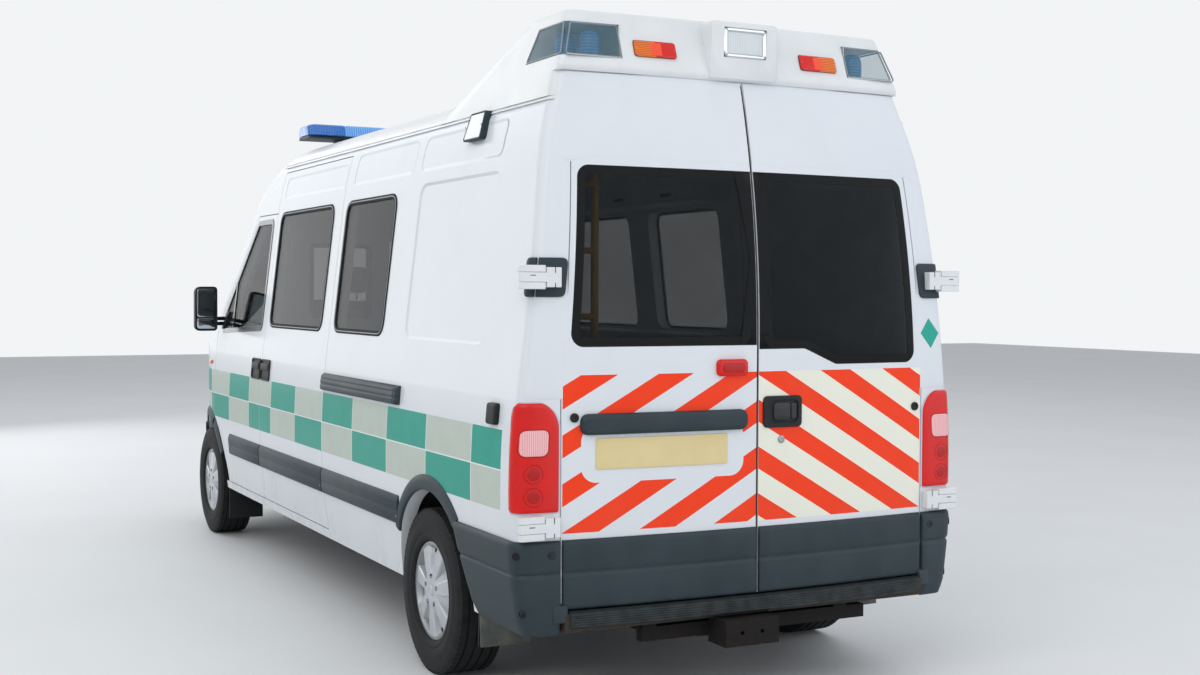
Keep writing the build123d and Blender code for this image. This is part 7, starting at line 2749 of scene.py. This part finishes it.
@dataclass
class Seating:
    """The cab seats, the seat in the load space and the stretcher's mattress.

    Attributes:
        cab: X, Y of both cab seats and the height of their cushions' undersides.
        rear: The same for the load space's seat.
        half: Half the cab cushion's width.
        rear_half: Half the rear cushion's width.
        start_in: How much smaller each pad starts.
        mattress: Two opposite corners of the mattress.
    """

    cab: tuple[float, float, float] = (FRONT_AXLE - 948.0, 430.0, 850.0)
    rear: tuple[float, float, float] = (1700.0, 480.0, 900.0)
    half: float = 250.0
    rear_half: float = 240.0
    start_in: float = 9.0
    mattress: tuple[Point, Point] = ((-620.0, -260.0, 920.4), (1180.0, 260.0, 1000.0))

    def pad(self, outline: Sequence[Flat], half: float, y: float, round_: float) -> Form:
        """Returns a plain pad: a side outline carried across, drawn in and rounded at both ends."""
        start = inset(rounded(outline, 26, 4), self.start_in)
        rows = []
        turns = [math.pi / 2 * k / 4 for k in range(5)]
        steps = [(-half + self.start_in + round_ * (1 - math.cos(a)), round_ * (1 - math.sin(a)))
                 for a in turns]
        stations = steps + [(half * k / 4, 0.0) for k in range(-3, 4)] + [(-at, by)
                                                                          for at, by in reversed(steps)]
        for at, by in stations:
            rows.append([(u, y + at, v) for u, v in inset(start, by)])
        return Form().rows(rows, wrap=True, caps=True)

    def piece(self, name: str, mesh: bpy.types.Mesh, finish: object, slot: str, stands_for: Sequence[str],
              fill: float) -> None:
        """Makes a padded piece of a swollen mesh."""
        mesh.materials.clear()
        mesh.materials.append(store.get(finish))
        for polygon in mesh.polygons:
            polygon.use_smooth = True
            polygon.material_index = 0
        thing = bpy.data.objects.new(name, mesh)
        bpy.context.scene.collection.objects.link(thing)
        finer = thing.modifiers.new("finer", "SUBSURF")
        finer.levels = finer.render_levels = 1
        settle(thing, "body", slot, stands_for)

    def seam(self, mesh: bpy.types.Mesh, starts: Sequence[Point], way: Point) -> list[Point]:
        """Returns where rays from a row of places meet a mesh, as a seam's path."""
        thing = bpy.data.objects.new("seam_probe", mesh)
        bpy.context.scene.collection.objects.link(thing)
        bpy.context.view_layer.update()
        path = []
        for start in starts:
            hit, place, normal, _ = thing.ray_cast(metres(start), Vector(way))
            if hit:
                place = place + normal * 0.001
                path.append((1000 * (place.x - AXLE_X), 1000 * place.y, 1000 * place.z))
        bpy.data.objects.remove(thing)
        return path

    def seat_meshes(self) -> tuple[bpy.types.Mesh, bpy.types.Mesh, bpy.types.Mesh]:
        """Returns the cab seat's cushion, back and head restraint at the left cab seat's place."""
        x, y, z = self.cab
        stuffing = Stuffing()
        high, top, crown = z + 120, z + 720, z + 900
        cushion = stuffing.swell("cushion", self.pad([(x - 228, z + 4), (x - 228, high),
                                                      (x + 268, high + 18), (x + 268, z + 32),
                                                      (x + 180, z + 4)], self.half, y, 34))
        back = stuffing.swell("back", self.pad([(x - 223, high + 4), (x - 343, top - 2),
                                                (x - 247, top - 2), (x - 102, high + 10)],
                                               self.half - 15, y, 30))
        head = Stuffing(8.0, 14.0).swell("head",
                                         self.pad([(x - 333, top + 4), (x - 353, crown - 4),
                                                   (x - 277, crown - 4),
                                                           (x - 257, top + 4)], 130, y, 22))

        def cushion_depth(place: Point, normal: Vector) -> float:
            """Sinks the seat's middle between its bolsters and sews its channels."""
            if normal.z < 0.3:
                return 3.0 * channel(place[2], z + 62, 5) if abs(normal.z) < 0.3 else 0.0
            off = abs(place[1] - y)
            dish = 14 * min(max((175 - off) / 60, 0), 1)
            lines = 7 * channel(off, 158, 7) + (5 * channel(place[0], x + 120, 7)
                                                + 5 * channel(place[0], x - 40, 7)) * (off < 158)
            return dish + lines

        def back_depth(place: Point, normal: Vector) -> float:
            """Sinks the back's middle between its bolsters and sews its channels."""
            if normal.x < 0.3:
                return 0.0
            off = abs(place[1] - y)
            dish = 16 * min(max((165 - off) / 60, 0), 1) * min(max((place[2] - high - 40) / 80, 0), 1)
            lines = 7 * channel(off, 150, 7) + (5 * channel(place[2], z + 330, 7)
                                                + 5 * channel(place[2], z + 560, 7)) * (off < 150)
            return dish + lines
        pressed(cushion, cushion_depth)
        pressed(back, back_depth)
        return cushion, back, head

    def frames(self, name: str, x: float, y: float, z: float, half: float, top: float) -> None:
        """Makes a seat's plinth, slides, side trims, recliner knob, head posts and belt buckle."""
        form = Form()
        form.box((x - 188, y - half + 62, 588), (x + 188, y + half - 62, z - 22), coat=0)
        form.box((x - 205, y - half + 40, 586), (x + 215, y - half + 66, 606), coat=1)
        form.box((x - 205, y + half - 66, 586), (x + 215, y + half - 40, 606), coat=1)
        form.box((x - 215, y - half + 30, z - 24), (x + 225, y + half - 30, z + 6), coat=1)
        for sign in (-1, 1):
            side = y + sign * (half + 1)
            plan = [(x - 240, z + 2), (x - 262, z + 150), (x - 205, z + 178), (x - 170, z + 74),
                    (x + 200, z + 40), (x + 232, z + 8)]
            form.rows([[(u, side + w, v) for u, v in rounded(plan, 14, 4)] for w in (-6, 8)], coat=1,
                      wrap=True, caps=True)
            form.turned([(0, 34), (14, 32), (17, 28), (18, 4)], (x - 214, side + sign * 7, z + 128),
                        (0, sign, 0), 24, coat=1)
        posts = Form()
        for off in (-62, 62):
            posts.bar([(x - 292, y + off, top - 30), (x - 302, y + off, top + 34)], 6, 10)
        buckle = [(x - 150, y - half - 6, z + 20), (x - 165, y - half - 10, z + 120),
                  (x - 170, y - half - 12, z + 190)]
        form.bar(buckle, 7, 8, coat=1)
        form.box((x - 188, y - half - 24, z + 180), (x - 150, y - half - 2, z + 252), coat=2)
        finishes = [store.get(Finish.CHASSIS), store.get(Finish.BLACK), store.get(DEEP_RED_LENS)]
        form.make(f"{name}_frame", "body", finishes, "black_plastic", bevel=2)
        posts.make(f"{name}_posts", "body", [store.get(Finish.CHROME)], "steel")

    def build(self) -> None:
        """Makes every seat and the mattress."""
        x, y, z = self.cab
        cushion, back, head = self.seat_meshes()
        rows = [(x - 150 + 32 * k, z + 300) for k in range(12)]
        edge = [self.seam(cushion, [(u, y + off, v) for u, v in rows], (0, 0, -1)) for off in (-158, 158)]
        tall = [z + 190 + 42 * k for k in range(12)]
        edge += [self.seam(back, [(x + 60, y + off, v) for v in tall], (-1, 0, 0)) for off in (-150, 150)]
        for label, side in (("left", 0.0), ("right", -2 * y)):
            first = "cab_seats" if side == 0 else ""
            self.piece(f"cab_cushion_{label}", shifted(cushion, (0, side, 0)), SEAT_CLOTH, "seat_cloth",
                       [first] if first else [], 0.75)
            self.piece(f"cab_back_{label}", shifted(back, (0, side, 0)), SEAT_CLOTH, "seat_cloth", [], 0.75)
            self.piece(f"cab_head_{label}", shifted(head, (0, side, 0)), SEAT_CLOTH, "seat_cloth", [], 0.85)
            moved = [[(px, py + side, pz) for px, py, pz in path] for path in edge]
            beads.make(f"cab_piping_{label}", "body", moved, 3.0, store.get(PIPING), slot="seat_cloth")
            self.frames(f"cab_seat_{label}", x, y + side, z, self.half, z + 720)
        rx, ry, rz = self.rear
        move = (rx - x, ry - y, rz - z)
        share = self.rear_half / self.half
        self.piece("rear_cushion", shifted(cushion, move, share, y), VINYL, "vinyl", ["rear_seat"], 0.75)
        self.piece("rear_back", shifted(back, move, share, y), VINYL, "vinyl", [], 0.75)
        self.piece("rear_head", shifted(head, move, share, y), VINYL, "vinyl", [], 0.85)
        moved = [[(px + move[0], y + (py - y) * share + move[1], pz + move[2]) for px, py, pz in path]
                 for path in edge]
        beads.make("rear_piping", "body", moved, 3.0, store.get(PIPING), slot="vinyl")
        self.frames("rear_seat", rx, ry, rz, self.rear_half, rz + 720)
        self.mattress_pad()

    def mattress_pad(self) -> None:
        """Makes the stretcher's mattress with its sewn folds and two straps."""
        (x0, y0, z0), (x1, y1, z1) = self.mattress
        outline = rounded([(x0 + 10, y0 + 10), (x1 - 10, y0 + 10), (x1 - 10, y1 - 10), (x0 + 10, y1 - 10)],
                          70, 6)
        rows = [[(u, v, z) for u, v in inset(outline, by)]
                for z, by in ((z0 + 5, 14), (z0 + 9, 4), (z0 + 20, 0), (z1 - 26, 0), (z1 - 14, 4),
                              (z1 - 8, 14))]
        mesh = Stuffing(14.0, 16.0, 3.0).swell("mattress", Form().rows(rows, wrap=True, caps=True))

        def depth(place: Point, normal: Vector) -> float:
            """Sews the folds between the stretcher's sections."""
            if normal.z < 0.2:
                return 0.0
            return sum(9 * channel(place[0], at, 14) for at in (-60, 520)) + 4 * channel(
                abs(place[1]), 215, 12)
        pressed(mesh, depth)
        for vertex in mesh.vertices:
            vertex.co.z = max(vertex.co.z, z0 / 1000)
        self.piece("stretcher_mattress_pad", mesh, VINYL, "vinyl", ["stretcher_mattress"], 0.8)
        straps = Form()
        for x in (180, 760):
            rows = []
            for y, z in ((-236, 905), (-266, 925), (-268, 960), (-262, 990), (-240, 1008), (-120, 1012),
                         (0, 1013), (120, 1012), (240, 1008), (262, 990), (268, 960), (266, 925),
                         (236, 905)):
                rows.append([(x - 25, y, z), (x + 25, y, z)])
            straps.rows(rows)
            straps.box((x - 34, -38, 1012), (x + 34, 38, 1022), coat=1)
        piece = straps.make("stretcher_straps", "body",
                            [store.get(Finish.BLACK), store.get(Finish.CHROME)], "black_plastic", sharp=60)
        wall = piece.modifiers.new("wall", "SOLIDIFY")
        wall.thickness = 0.0025
        wall.offset = 1.0


@dataclass
class Cabin:
    """The dashboard's fittings, the steering wheel's pad, and the floor.

    Attributes:
        face: The foot and the top of the dashboard's face, on the middle line.
        hub: Middle of the steering wheel.
    """

    face: tuple[Point, Point] = ((3562.0, 0.0, 980.0), (3602.0, 0.0, 1130.0))
    hub: Point = (FRONT_AXLE - 600.0, -430.0, 1215.0)

    def on_face(self, u: float, v: float, w: float) -> Point:
        """Returns a place on the dashboard's face: Y, Z and out towards the seats."""
        low, high = self.face
        x = low[0] + (v - low[2]) * (high[0] - low[0]) / (high[2] - low[2])
        return (x - w, u, v)

    def build(self) -> None:
        """Makes every fitting on the dashboard and the pad on the steering wheel."""
        black, dash = store.get(Finish.BLACK), store.get(Finish.DASH)
        form = Form().slab(rounded([(-100, 1010), (100, 1010), (100, 1124), (-100, 1124)], 10, 4),
                           self.on_face, -2, 9, 3, 1)
        form.slab(rounded([(-90, 1066), (90, 1066), (90, 1116), (-90, 1116)], 5, 3), self.on_face, 8, 12,
                  1, coat=1)
        for y in (-60, 0, 60):
            form.turned([(0, 19), (14, 17), (17, 14), (17.5, 2)], self.on_face(y, 1038, 8), (-1, 0, 0.27),
                        24, coat=1)
        form.slab(rounded([(260, 1000), (690, 1000), (690, 1092), (260, 1092)], 18, 5), self.on_face, -2,
                  6, 3, 1)
        form.slab(rounded([(440, 1066), (510, 1066), (510, 1082), (440, 1082)], 6, 3), self.on_face, 5, 10,
                  2, coat=1)
        for y in (-790, -215, 215, 790):
            form.ring(circle(y, 1090, 42), circle(y, 1090, 34), self.on_face, -2, 10, edge=2, coat=1)
        form.make("dashboard_panels", "body", [dash, store.get(Finish.GLOSS_BLACK)], "black_plastic")
        vane = Form()
        for y in (-790, -215, 215, 790):
            vane.box((3588, y - 33, 1066), (3594, y + 33, 1068.5))
        copies.make("vent_vanes", "body", vane, black, 6, (1.4, 0, 9), slot="black_plastic")
        hood = [(3625, 1150), (3640, 1238), (3700, 1262), (3830, 1240), (3850, 1186), (3700, 1180)]
        rows = []
        for share, by in ((-1.0, 26), (-0.94, 8), (-0.84, 0), (0, -5), (0.84, 0), (0.94, 8), (1.0, 26)):
            rows.append([(u, -430 + 172 * share, v) for u, v in inset(rounded(hood, 16, 4), by)])
        Form().rows(rows, wrap=True, caps=True).make("instrument_hood", "body", [dash], "black_plastic")
        dials = Form()
        for off in (-64, 64):
            dials.ring(circle(-430 + off, 1205, 46), circle(-430 + off, 1205, 41),
                       lambda u, v, w: (3634 + (v - 1205) * 0.17 - w, u, v), -6, 4, edge=1.5)
        dials.make("instrument_dials", "body", [store.get(Finish.CHROME)], "silver")
        tilt = (-0.5, 0.0, 0.866)
        pad = Form().turned([(8, 60), (20, 76), (30, 78), (38, 66), (43, 40), (45, 2)], self.hub, tilt, 28)
        pad.make("steering_pad", "steering_wheel", [dash], "black_plastic")
        lever = Form().bar([(3600, -130, 960), (3560, -140, 1000), (3520, -150, 1052)], 9, 10)
        lever.turned([(-4, 12), (8, 22), (26, 24), (40, 18), (46, 6)], (3524, -149, 1046),
                     (-0.6, -0.1, 0.8), 20)
        lever.make("gear_lever", "body", [black], "black_plastic")
        trims = Form()
        for sign in (-1, 1):
            strap = [(2752, sign * 868, 1560), (2800, sign * 850, 1300), (2870, sign * 790, 1010),
                     (2905, sign * 735, 860), (2910, sign * 716, 640)]
            trims.rows([[(px - 22, py, pz), (px + 22, py, pz - 12)] for px, py, pz in strap])
        belts = trims.make("seat_belts", "body", [store.get(Finish.RUBBER)], "black_plastic", sharp=70)
        wall = belts.modifiers.new("wall", "SOLIDIFY")
        wall.thickness = 0.0018
        cover = Form()
        cover.slab([(2605, -640), (3560, -640), (3560, 640), (2605, 640)], lambda u, v,
                   w: (u, v, 585.2 + w), 0, 3, 1)
        cover.make("cab_floor_mat", "body", [store.get(Finish.RUBBER)], "black_plastic")


@dataclass
class LoadSpace:
    """Fittings seen through the rear doors and the side windows.

    Attributes:
        front_y: The lower lockers' front.
    """

    front_y: float = -560.0

    def on_front(self, u: float, v: float, w: float) -> Point:
        """Returns a place on the lower lockers' front, out into the gangway."""
        return (u, self.front_y + w, v)

    def build(self) -> None:
        """Makes the floor, locker doors, rail, lamps and window rims."""
        lining, black, filler = store.get(Finish.LINING), store.get(Finish.BLACK), store.get(Finish.FILLER)
        floor = Form().slab([(-918, -672), (2556, -672), (2556, 672), (-918, 672)], lambda u, v,
                            w: (u, v, 585.0 + w), 0, 2.2, 0.5)
        floor.make("load_floor_covering", "body", [store.get(Finish.FLOOR)], "grey_plastic")
        doors, pulls = Form(), Form()
        for x0, x1 in ((545, 1015), (1022, 1495), (1535, 2012), (2018, 2495)):
            outline = rounded([(x0, 705), (x1, 705), (x1, 1335), (x0, 1335)], 16, 4)
            doors.slab(outline, self.on_front, -16, -4, 3)
            doors.ring(inset(outline, 26), inset(outline, 34), self.on_front, -5, -2.5, coat=1)
            pulls.slab(rounded([(x1 - 70, 980), (x1 - 46, 980), (x1 - 46, 1100), (x1 - 70, 1100)], 10, 4),
                       self.on_front, -5, 8, 4)
        for k in range(4):
            x0 = 510 + 508 * k
            outline = rounded([(x0, 2062), (x0 + 498, 2062), (x0 + 498, 2300), (x0, 2300)], 14, 4)
            doors.slab(outline, lambda u, v, w: (u, -600 + w, v), 0.5, 13, 3)
            pulls.slab(rounded([(x0 + 200, 2076), (x0 + 300, 2076), (x0 + 300, 2096), (x0 + 200, 2096)], 8,
                               4),
                       lambda u, v, w: (u, -600 + w, v), 12, 24, 4)
        doors.make("locker_doors", "body", [lining, filler], "white_moulding")
        pulls.make("locker_handles", "body", [black], "black_plastic")
        rail = Form().bar([(-380, 0, 2340), (2280, 0, 2340)], 15, 14)
        for x in (-360, 500, 1380, 2260):
            rail.bar([(x, 0, 2340), (x, 0, 2428)], 9, 10)
        rail.make("ceiling_rail", "body", [store.get(Finish.YELLOW)], "yellow_paint")
        lamps = Form()
        for x in (-100, 900, 1900):
            for y in (-330, 330):
                lamps.turned([(0, 74), (-8, 74), (-12, 66), (-13, 4)], (x, y, 2396), (0, 0, 1), 28)
        lamps.make("ceiling_lamps", "body", [store.get(FROSTED_LENS)], "lens_clear")
        rims = Form()
        outline = rounded([(380, 1450), (720, 1450), (720, 1850), (380, 1850)], 24, 5)
        rims.ring(inset(outline, -16), inset(outline, 8), lambda u, v, w: (2560 - w, u, v), -44, 4, edge=2)
        rims.both_sides().make("bulkhead_window_rims", "body", [store.get(Finish.RUBBER)], "black_plastic")
        frame_ends = Form()
        for x in (-600, 1160):
            frame_ends.bar([(x, -215, 900), (x - 22 * (1 if x < 0 else -1), -150, 905),
                            (x - 22 * (1 if x < 0 else -1), 150, 905), (x, 215, 900)], 14, 12)
        for y in (-262, 262):
            frame_ends.bar([(-380, y, 905), (-376, y, 1050), (120, y, 1050), (124, y, 905)], 10, 10)
        frame_ends.make("stretcher_rails", "body", [store.get(Finish.ALUMINIUM)], "aluminium")
        castors = Form()
        for x in (-520, 1080):
            for y in (-200, 200):
                castors.turned([(-16, 20), (-16, 52), (-10, 58), (10, 58), (16, 52), (16, 20)],
                               (x + 34, y, 646), (0, 1, 0), 24)
                castors.box((x - 20, y - 20, 640), (x + 50, y + 20, 652), coat=1)
        castors.make("stretcher_castors", "body", [store.get(Finish.RUBBER), store.get(Finish.STEEL)],
                     "black_plastic")


@dataclass
class Paintwork:
    """Finishes for the CAD nodes that stay in sight as they are.

    Attributes:
        painted: The nodes that wear the body's paint.
    """

    painted: tuple[str, ...] = ("side_panel_left", "side_panel_right", "sliding_door", "front_door_left",
                                "front_door_right", "rear_door_left", "rear_door_right", "cab_shell",
                                "bonnet")

    def build(self) -> None:
        """Dresses every node."""
        enamel = store.get(Livery())
        for node in self.painted:
            dress(node, enamel)
        dress("roof_panel", store.get(Finish.GELCOAT))
        for side in ("left", "right"):
            dress(f"front_door_glass_{side}", store.get(CAB_GLASS))
        plain = {"floor_pan": Finish.CHASSIS, "wheel_arch_liners": Finish.BLACK,
                 "rear_axle": Finish.CHASSIS, "knuckle_left": Finish.CAST, "knuckle_right": Finish.CAST,
                 "front_suspension": Finish.CHASSIS, "engine": Finish.CAST,
                 "radiator_support": Finish.BLACK, "spare_wheel": Finish.TYRE, "grille": Finish.BLACK,
                 "fuel_tank": Finish.BLACK, "exhaust": Finish.STEEL, "cowl_panel": Finish.BLACK,
                 "dashboard": Finish.DASH, "steering_wheel": Finish.DASH, "bulkhead": Finish.LINING,
                 "lockers": Finish.LINING, "stretcher": Finish.ALUMINIUM, "grab_rails": Finish.YELLOW}
        for node, finish in plain.items():
            dress(node, store.get(finish))


@dataclass
class Studio:
    """The floor, lights, backdrop and camera.

    Attributes:
        ground: Colour of the pale floor.
        sky: Strength of the even light from all round.
        eye: The camera's place in the frame in metres.
        aim: Its turn from straight forward, its tilt and its roll in degrees.
        lens: Its focal length in millimetres.
    """

    ground: str = "#EEF0F1"
    sky: float = 0.48
    eye: Point = (-7.7555, 3.161, 1.591)
    aim: tuple[float, float, float] = (-27.163, -1.725, 0.273)
    lens: float = 44.7

    def floor(self) -> bpy.types.Object:
        """Returns a broad floor of pale sealed concrete."""
        n = Nodes("pale_sealed_concrete")
        place = n.add("TexCoord").outputs["Object"]
        cloud = n.add("TexNoise", {"Scale": 0.8, "Detail": 6.0, "Vector": place}).outputs[0]
        fine = n.add("TexNoise", {"Scale": 60.0, "Detail": 4.0, "Vector": place}).outputs[0]
        colour = n.add("MixRGB", None, cloud, linear(self.ground), linear("#E4E6E8")).outputs[0]
        bump = n.add("Bump", {"Strength": 0.4, "Distance": 0.0006, "Height": fine}).outputs[0]
        shader = n.add("BsdfPrincipled", {"Base Color": colour, "Roughness": 0.62, "IOR": 1.45,
                                          "Normal": bump})
        mesh = bpy.data.meshes.new("studio_floor")
        reach = 30.0
        mesh.from_pydata([(-reach, -reach, 0), (reach, -reach, 0), (reach, reach, 0), (-reach, reach, 0)],
                         [], [(0, 1, 2, 3)])
        mesh.materials.append(n.finish(shader))
        floor = bpy.data.objects.new("studio_floor", mesh)
        bpy.context.scene.collection.objects.link(floor)
        return floor

    def backdrop(self) -> None:
        """Makes the world: even pale light, and plain white wherever a ray from the camera ends."""
        world = bpy.data.worlds.new("studio_light")
        bpy.context.scene.world = world
        world.use_nodes = True
        tree = world.node_tree
        tree.nodes.clear()
        rays = tree.nodes.new("ShaderNodeLightPath")
        seen = tree.nodes.new("ShaderNodeMath")
        seen.operation = "MAXIMUM"
        tree.links.new(rays.outputs["Is Camera Ray"], seen.inputs[0])
        mirrored = tree.nodes.new("ShaderNodeMath")
        mirrored.operation = "MAXIMUM"
        tree.links.new(rays.outputs["Is Transmission Ray"], mirrored.inputs[0])
        tree.links.new(rays.outputs["Is Glossy Ray"], mirrored.inputs[1])
        tree.links.new(mirrored.outputs[0], seen.inputs[1])
        place = tree.nodes.new("ShaderNodeTexCoord")
        split = tree.nodes.new("ShaderNodeSeparateXYZ")
        tree.links.new(place.outputs["Generated"], split.inputs[0])
        rise = tree.nodes.new("ShaderNodeValToRGB")
        rise.color_ramp.elements[0].position = 0.0
        rise.color_ramp.elements[0].color = linear("#D3D9DF")
        rise.color_ramp.elements[1].position = 0.55
        rise.color_ramp.elements[1].color = linear("#F4F7FB")
        tree.links.new(split.outputs[2], rise.inputs[0])
        around = tree.nodes.new("ShaderNodeBackground")
        tree.links.new(rise.outputs[0], around.inputs[0])
        around.inputs[1].default_value = self.sky
        white = tree.nodes.new("ShaderNodeBackground")
        white.inputs[0].default_value = linear("#F2F4F6")
        white.inputs[1].default_value = 1.0
        mix = tree.nodes.new("ShaderNodeMixShader")
        out = tree.nodes.new("ShaderNodeOutputWorld")
        tree.links.new(seen.outputs[0], mix.inputs[0])
        tree.links.new(around.outputs[0], mix.inputs[1])
        tree.links.new(white.outputs[0], mix.inputs[2])
        tree.links.new(mix.outputs[0], out.inputs[0])

    def lamp(self, name: str, place: Point, at: Point, size: Flat, power: float, tone: str) -> None:
        """Hangs a soft rectangular light.

        Args:
            name: Its name.
            place: Where it hangs, in metres.
            at: What it points at.
            size: Its width and height in metres.
            power: Its power in watts.
            tone: Its colour.
        """
        data = bpy.data.lights.new(name, "AREA")
        data.shape = "RECTANGLE"
        data.size, data.size_y = size
        data.energy = power
        data.color = linear(tone)[:3]
        lamp = bpy.data.objects.new(name, data)
        lamp.location = place
        lamp.rotation_euler = (Vector(at) - Vector(place)).to_track_quat("-Z", "Y").to_euler()
        bpy.context.scene.collection.objects.link(lamp)

    def camera(self) -> None:
        """Sets the camera where the picture was taken from."""
        turn, tilt, roll = (math.radians(a) for a in self.aim)
        forward = Vector((math.cos(tilt) * math.cos(turn), math.cos(tilt) * math.sin(turn), math.sin(tilt)))
        right = forward.cross(Vector((0, 0, 1))).normalized()
        up = right.cross(forward)
        across = right * math.cos(roll) + up * math.sin(roll)
        upward = up * math.cos(roll) - right * math.sin(roll)
        data = bpy.data.cameras.new("camera")
        data.lens = self.lens
        data.sensor_width = 36.0
        data.clip_end = 200.0
        camera = bpy.data.objects.new("camera", data)
        matrix = Matrix((across, upward, -forward)).transposed().to_4x4()
        matrix.translation = Vector(self.eye)
        camera.matrix_world = matrix
        bpy.context.scene.collection.objects.link(camera)
        bpy.context.scene.camera = camera

    def build(self) -> None:
        """Sets up the whole studio."""
        scene = bpy.context.scene
        scene.view_settings.view_transform = "Standard"
        self.backdrop()
        self.lamp("key_left_rear", (-6.5, 6.5, 6.5), (-1.0, 0.0, 1.2), (9.0, 7.0), 250, "#FFFDFA")
        self.lamp("soft_top", (0.0, 0.5, 8.0), (0.0, 0.0, 0.0), (30.0, 26.0), 760, "#FBFDFF")
        self.lamp("fill_rear_right", (-7.5, -4.0, 3.0), (-1.0, 0.0, 1.2), (8.0, 6.0), 120, "#F4F8FF")
        self.lamp("fill_front", (8.5, 3.5, 4.0), (1.0, 0.0, 1.0), (8.0, 6.0), 150, "#FFFFFF")
        self.floor()
        self.camera()


def clear_defaults() -> None:
    """Removes whatever the factory scene starts with and the frame doesn't own."""
    for name in ("Cube", "Light", "Camera"):
        thing = bpy.data.objects.get(name)
        if thing is not None:
            bpy.data.objects.remove(thing)


def main() -> None:
    """Builds the whole look in order."""
    logging.basicConfig(level=logging.INFO, format="%(message)s")
    clear_defaults()
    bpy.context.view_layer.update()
    for part in (Paintwork(), RearDoorFittings(), RearGlazing(), TailLamps(), RearBumper(), TowBracket(),
                 HighRoof(), Pod(), Mouldings(), SideGlazing(), SceneLamp(), LightBar(), Mirror(), Nose(),
                 Screen(), DoorWindow(), Cabin(), LoadSpace(), Seating()):
        part.build()
        log.info("%s is built", type(part).__name__)
    for end, x in (("rear", 0.0), ("front", FRONT_AXLE)):
        for side, hand in (("left", 1), ("right", -1)):
            Wheel(f"{end}_{side}", x, hand).build()
    Studio().build()


if __name__ == "__main__":
    main()
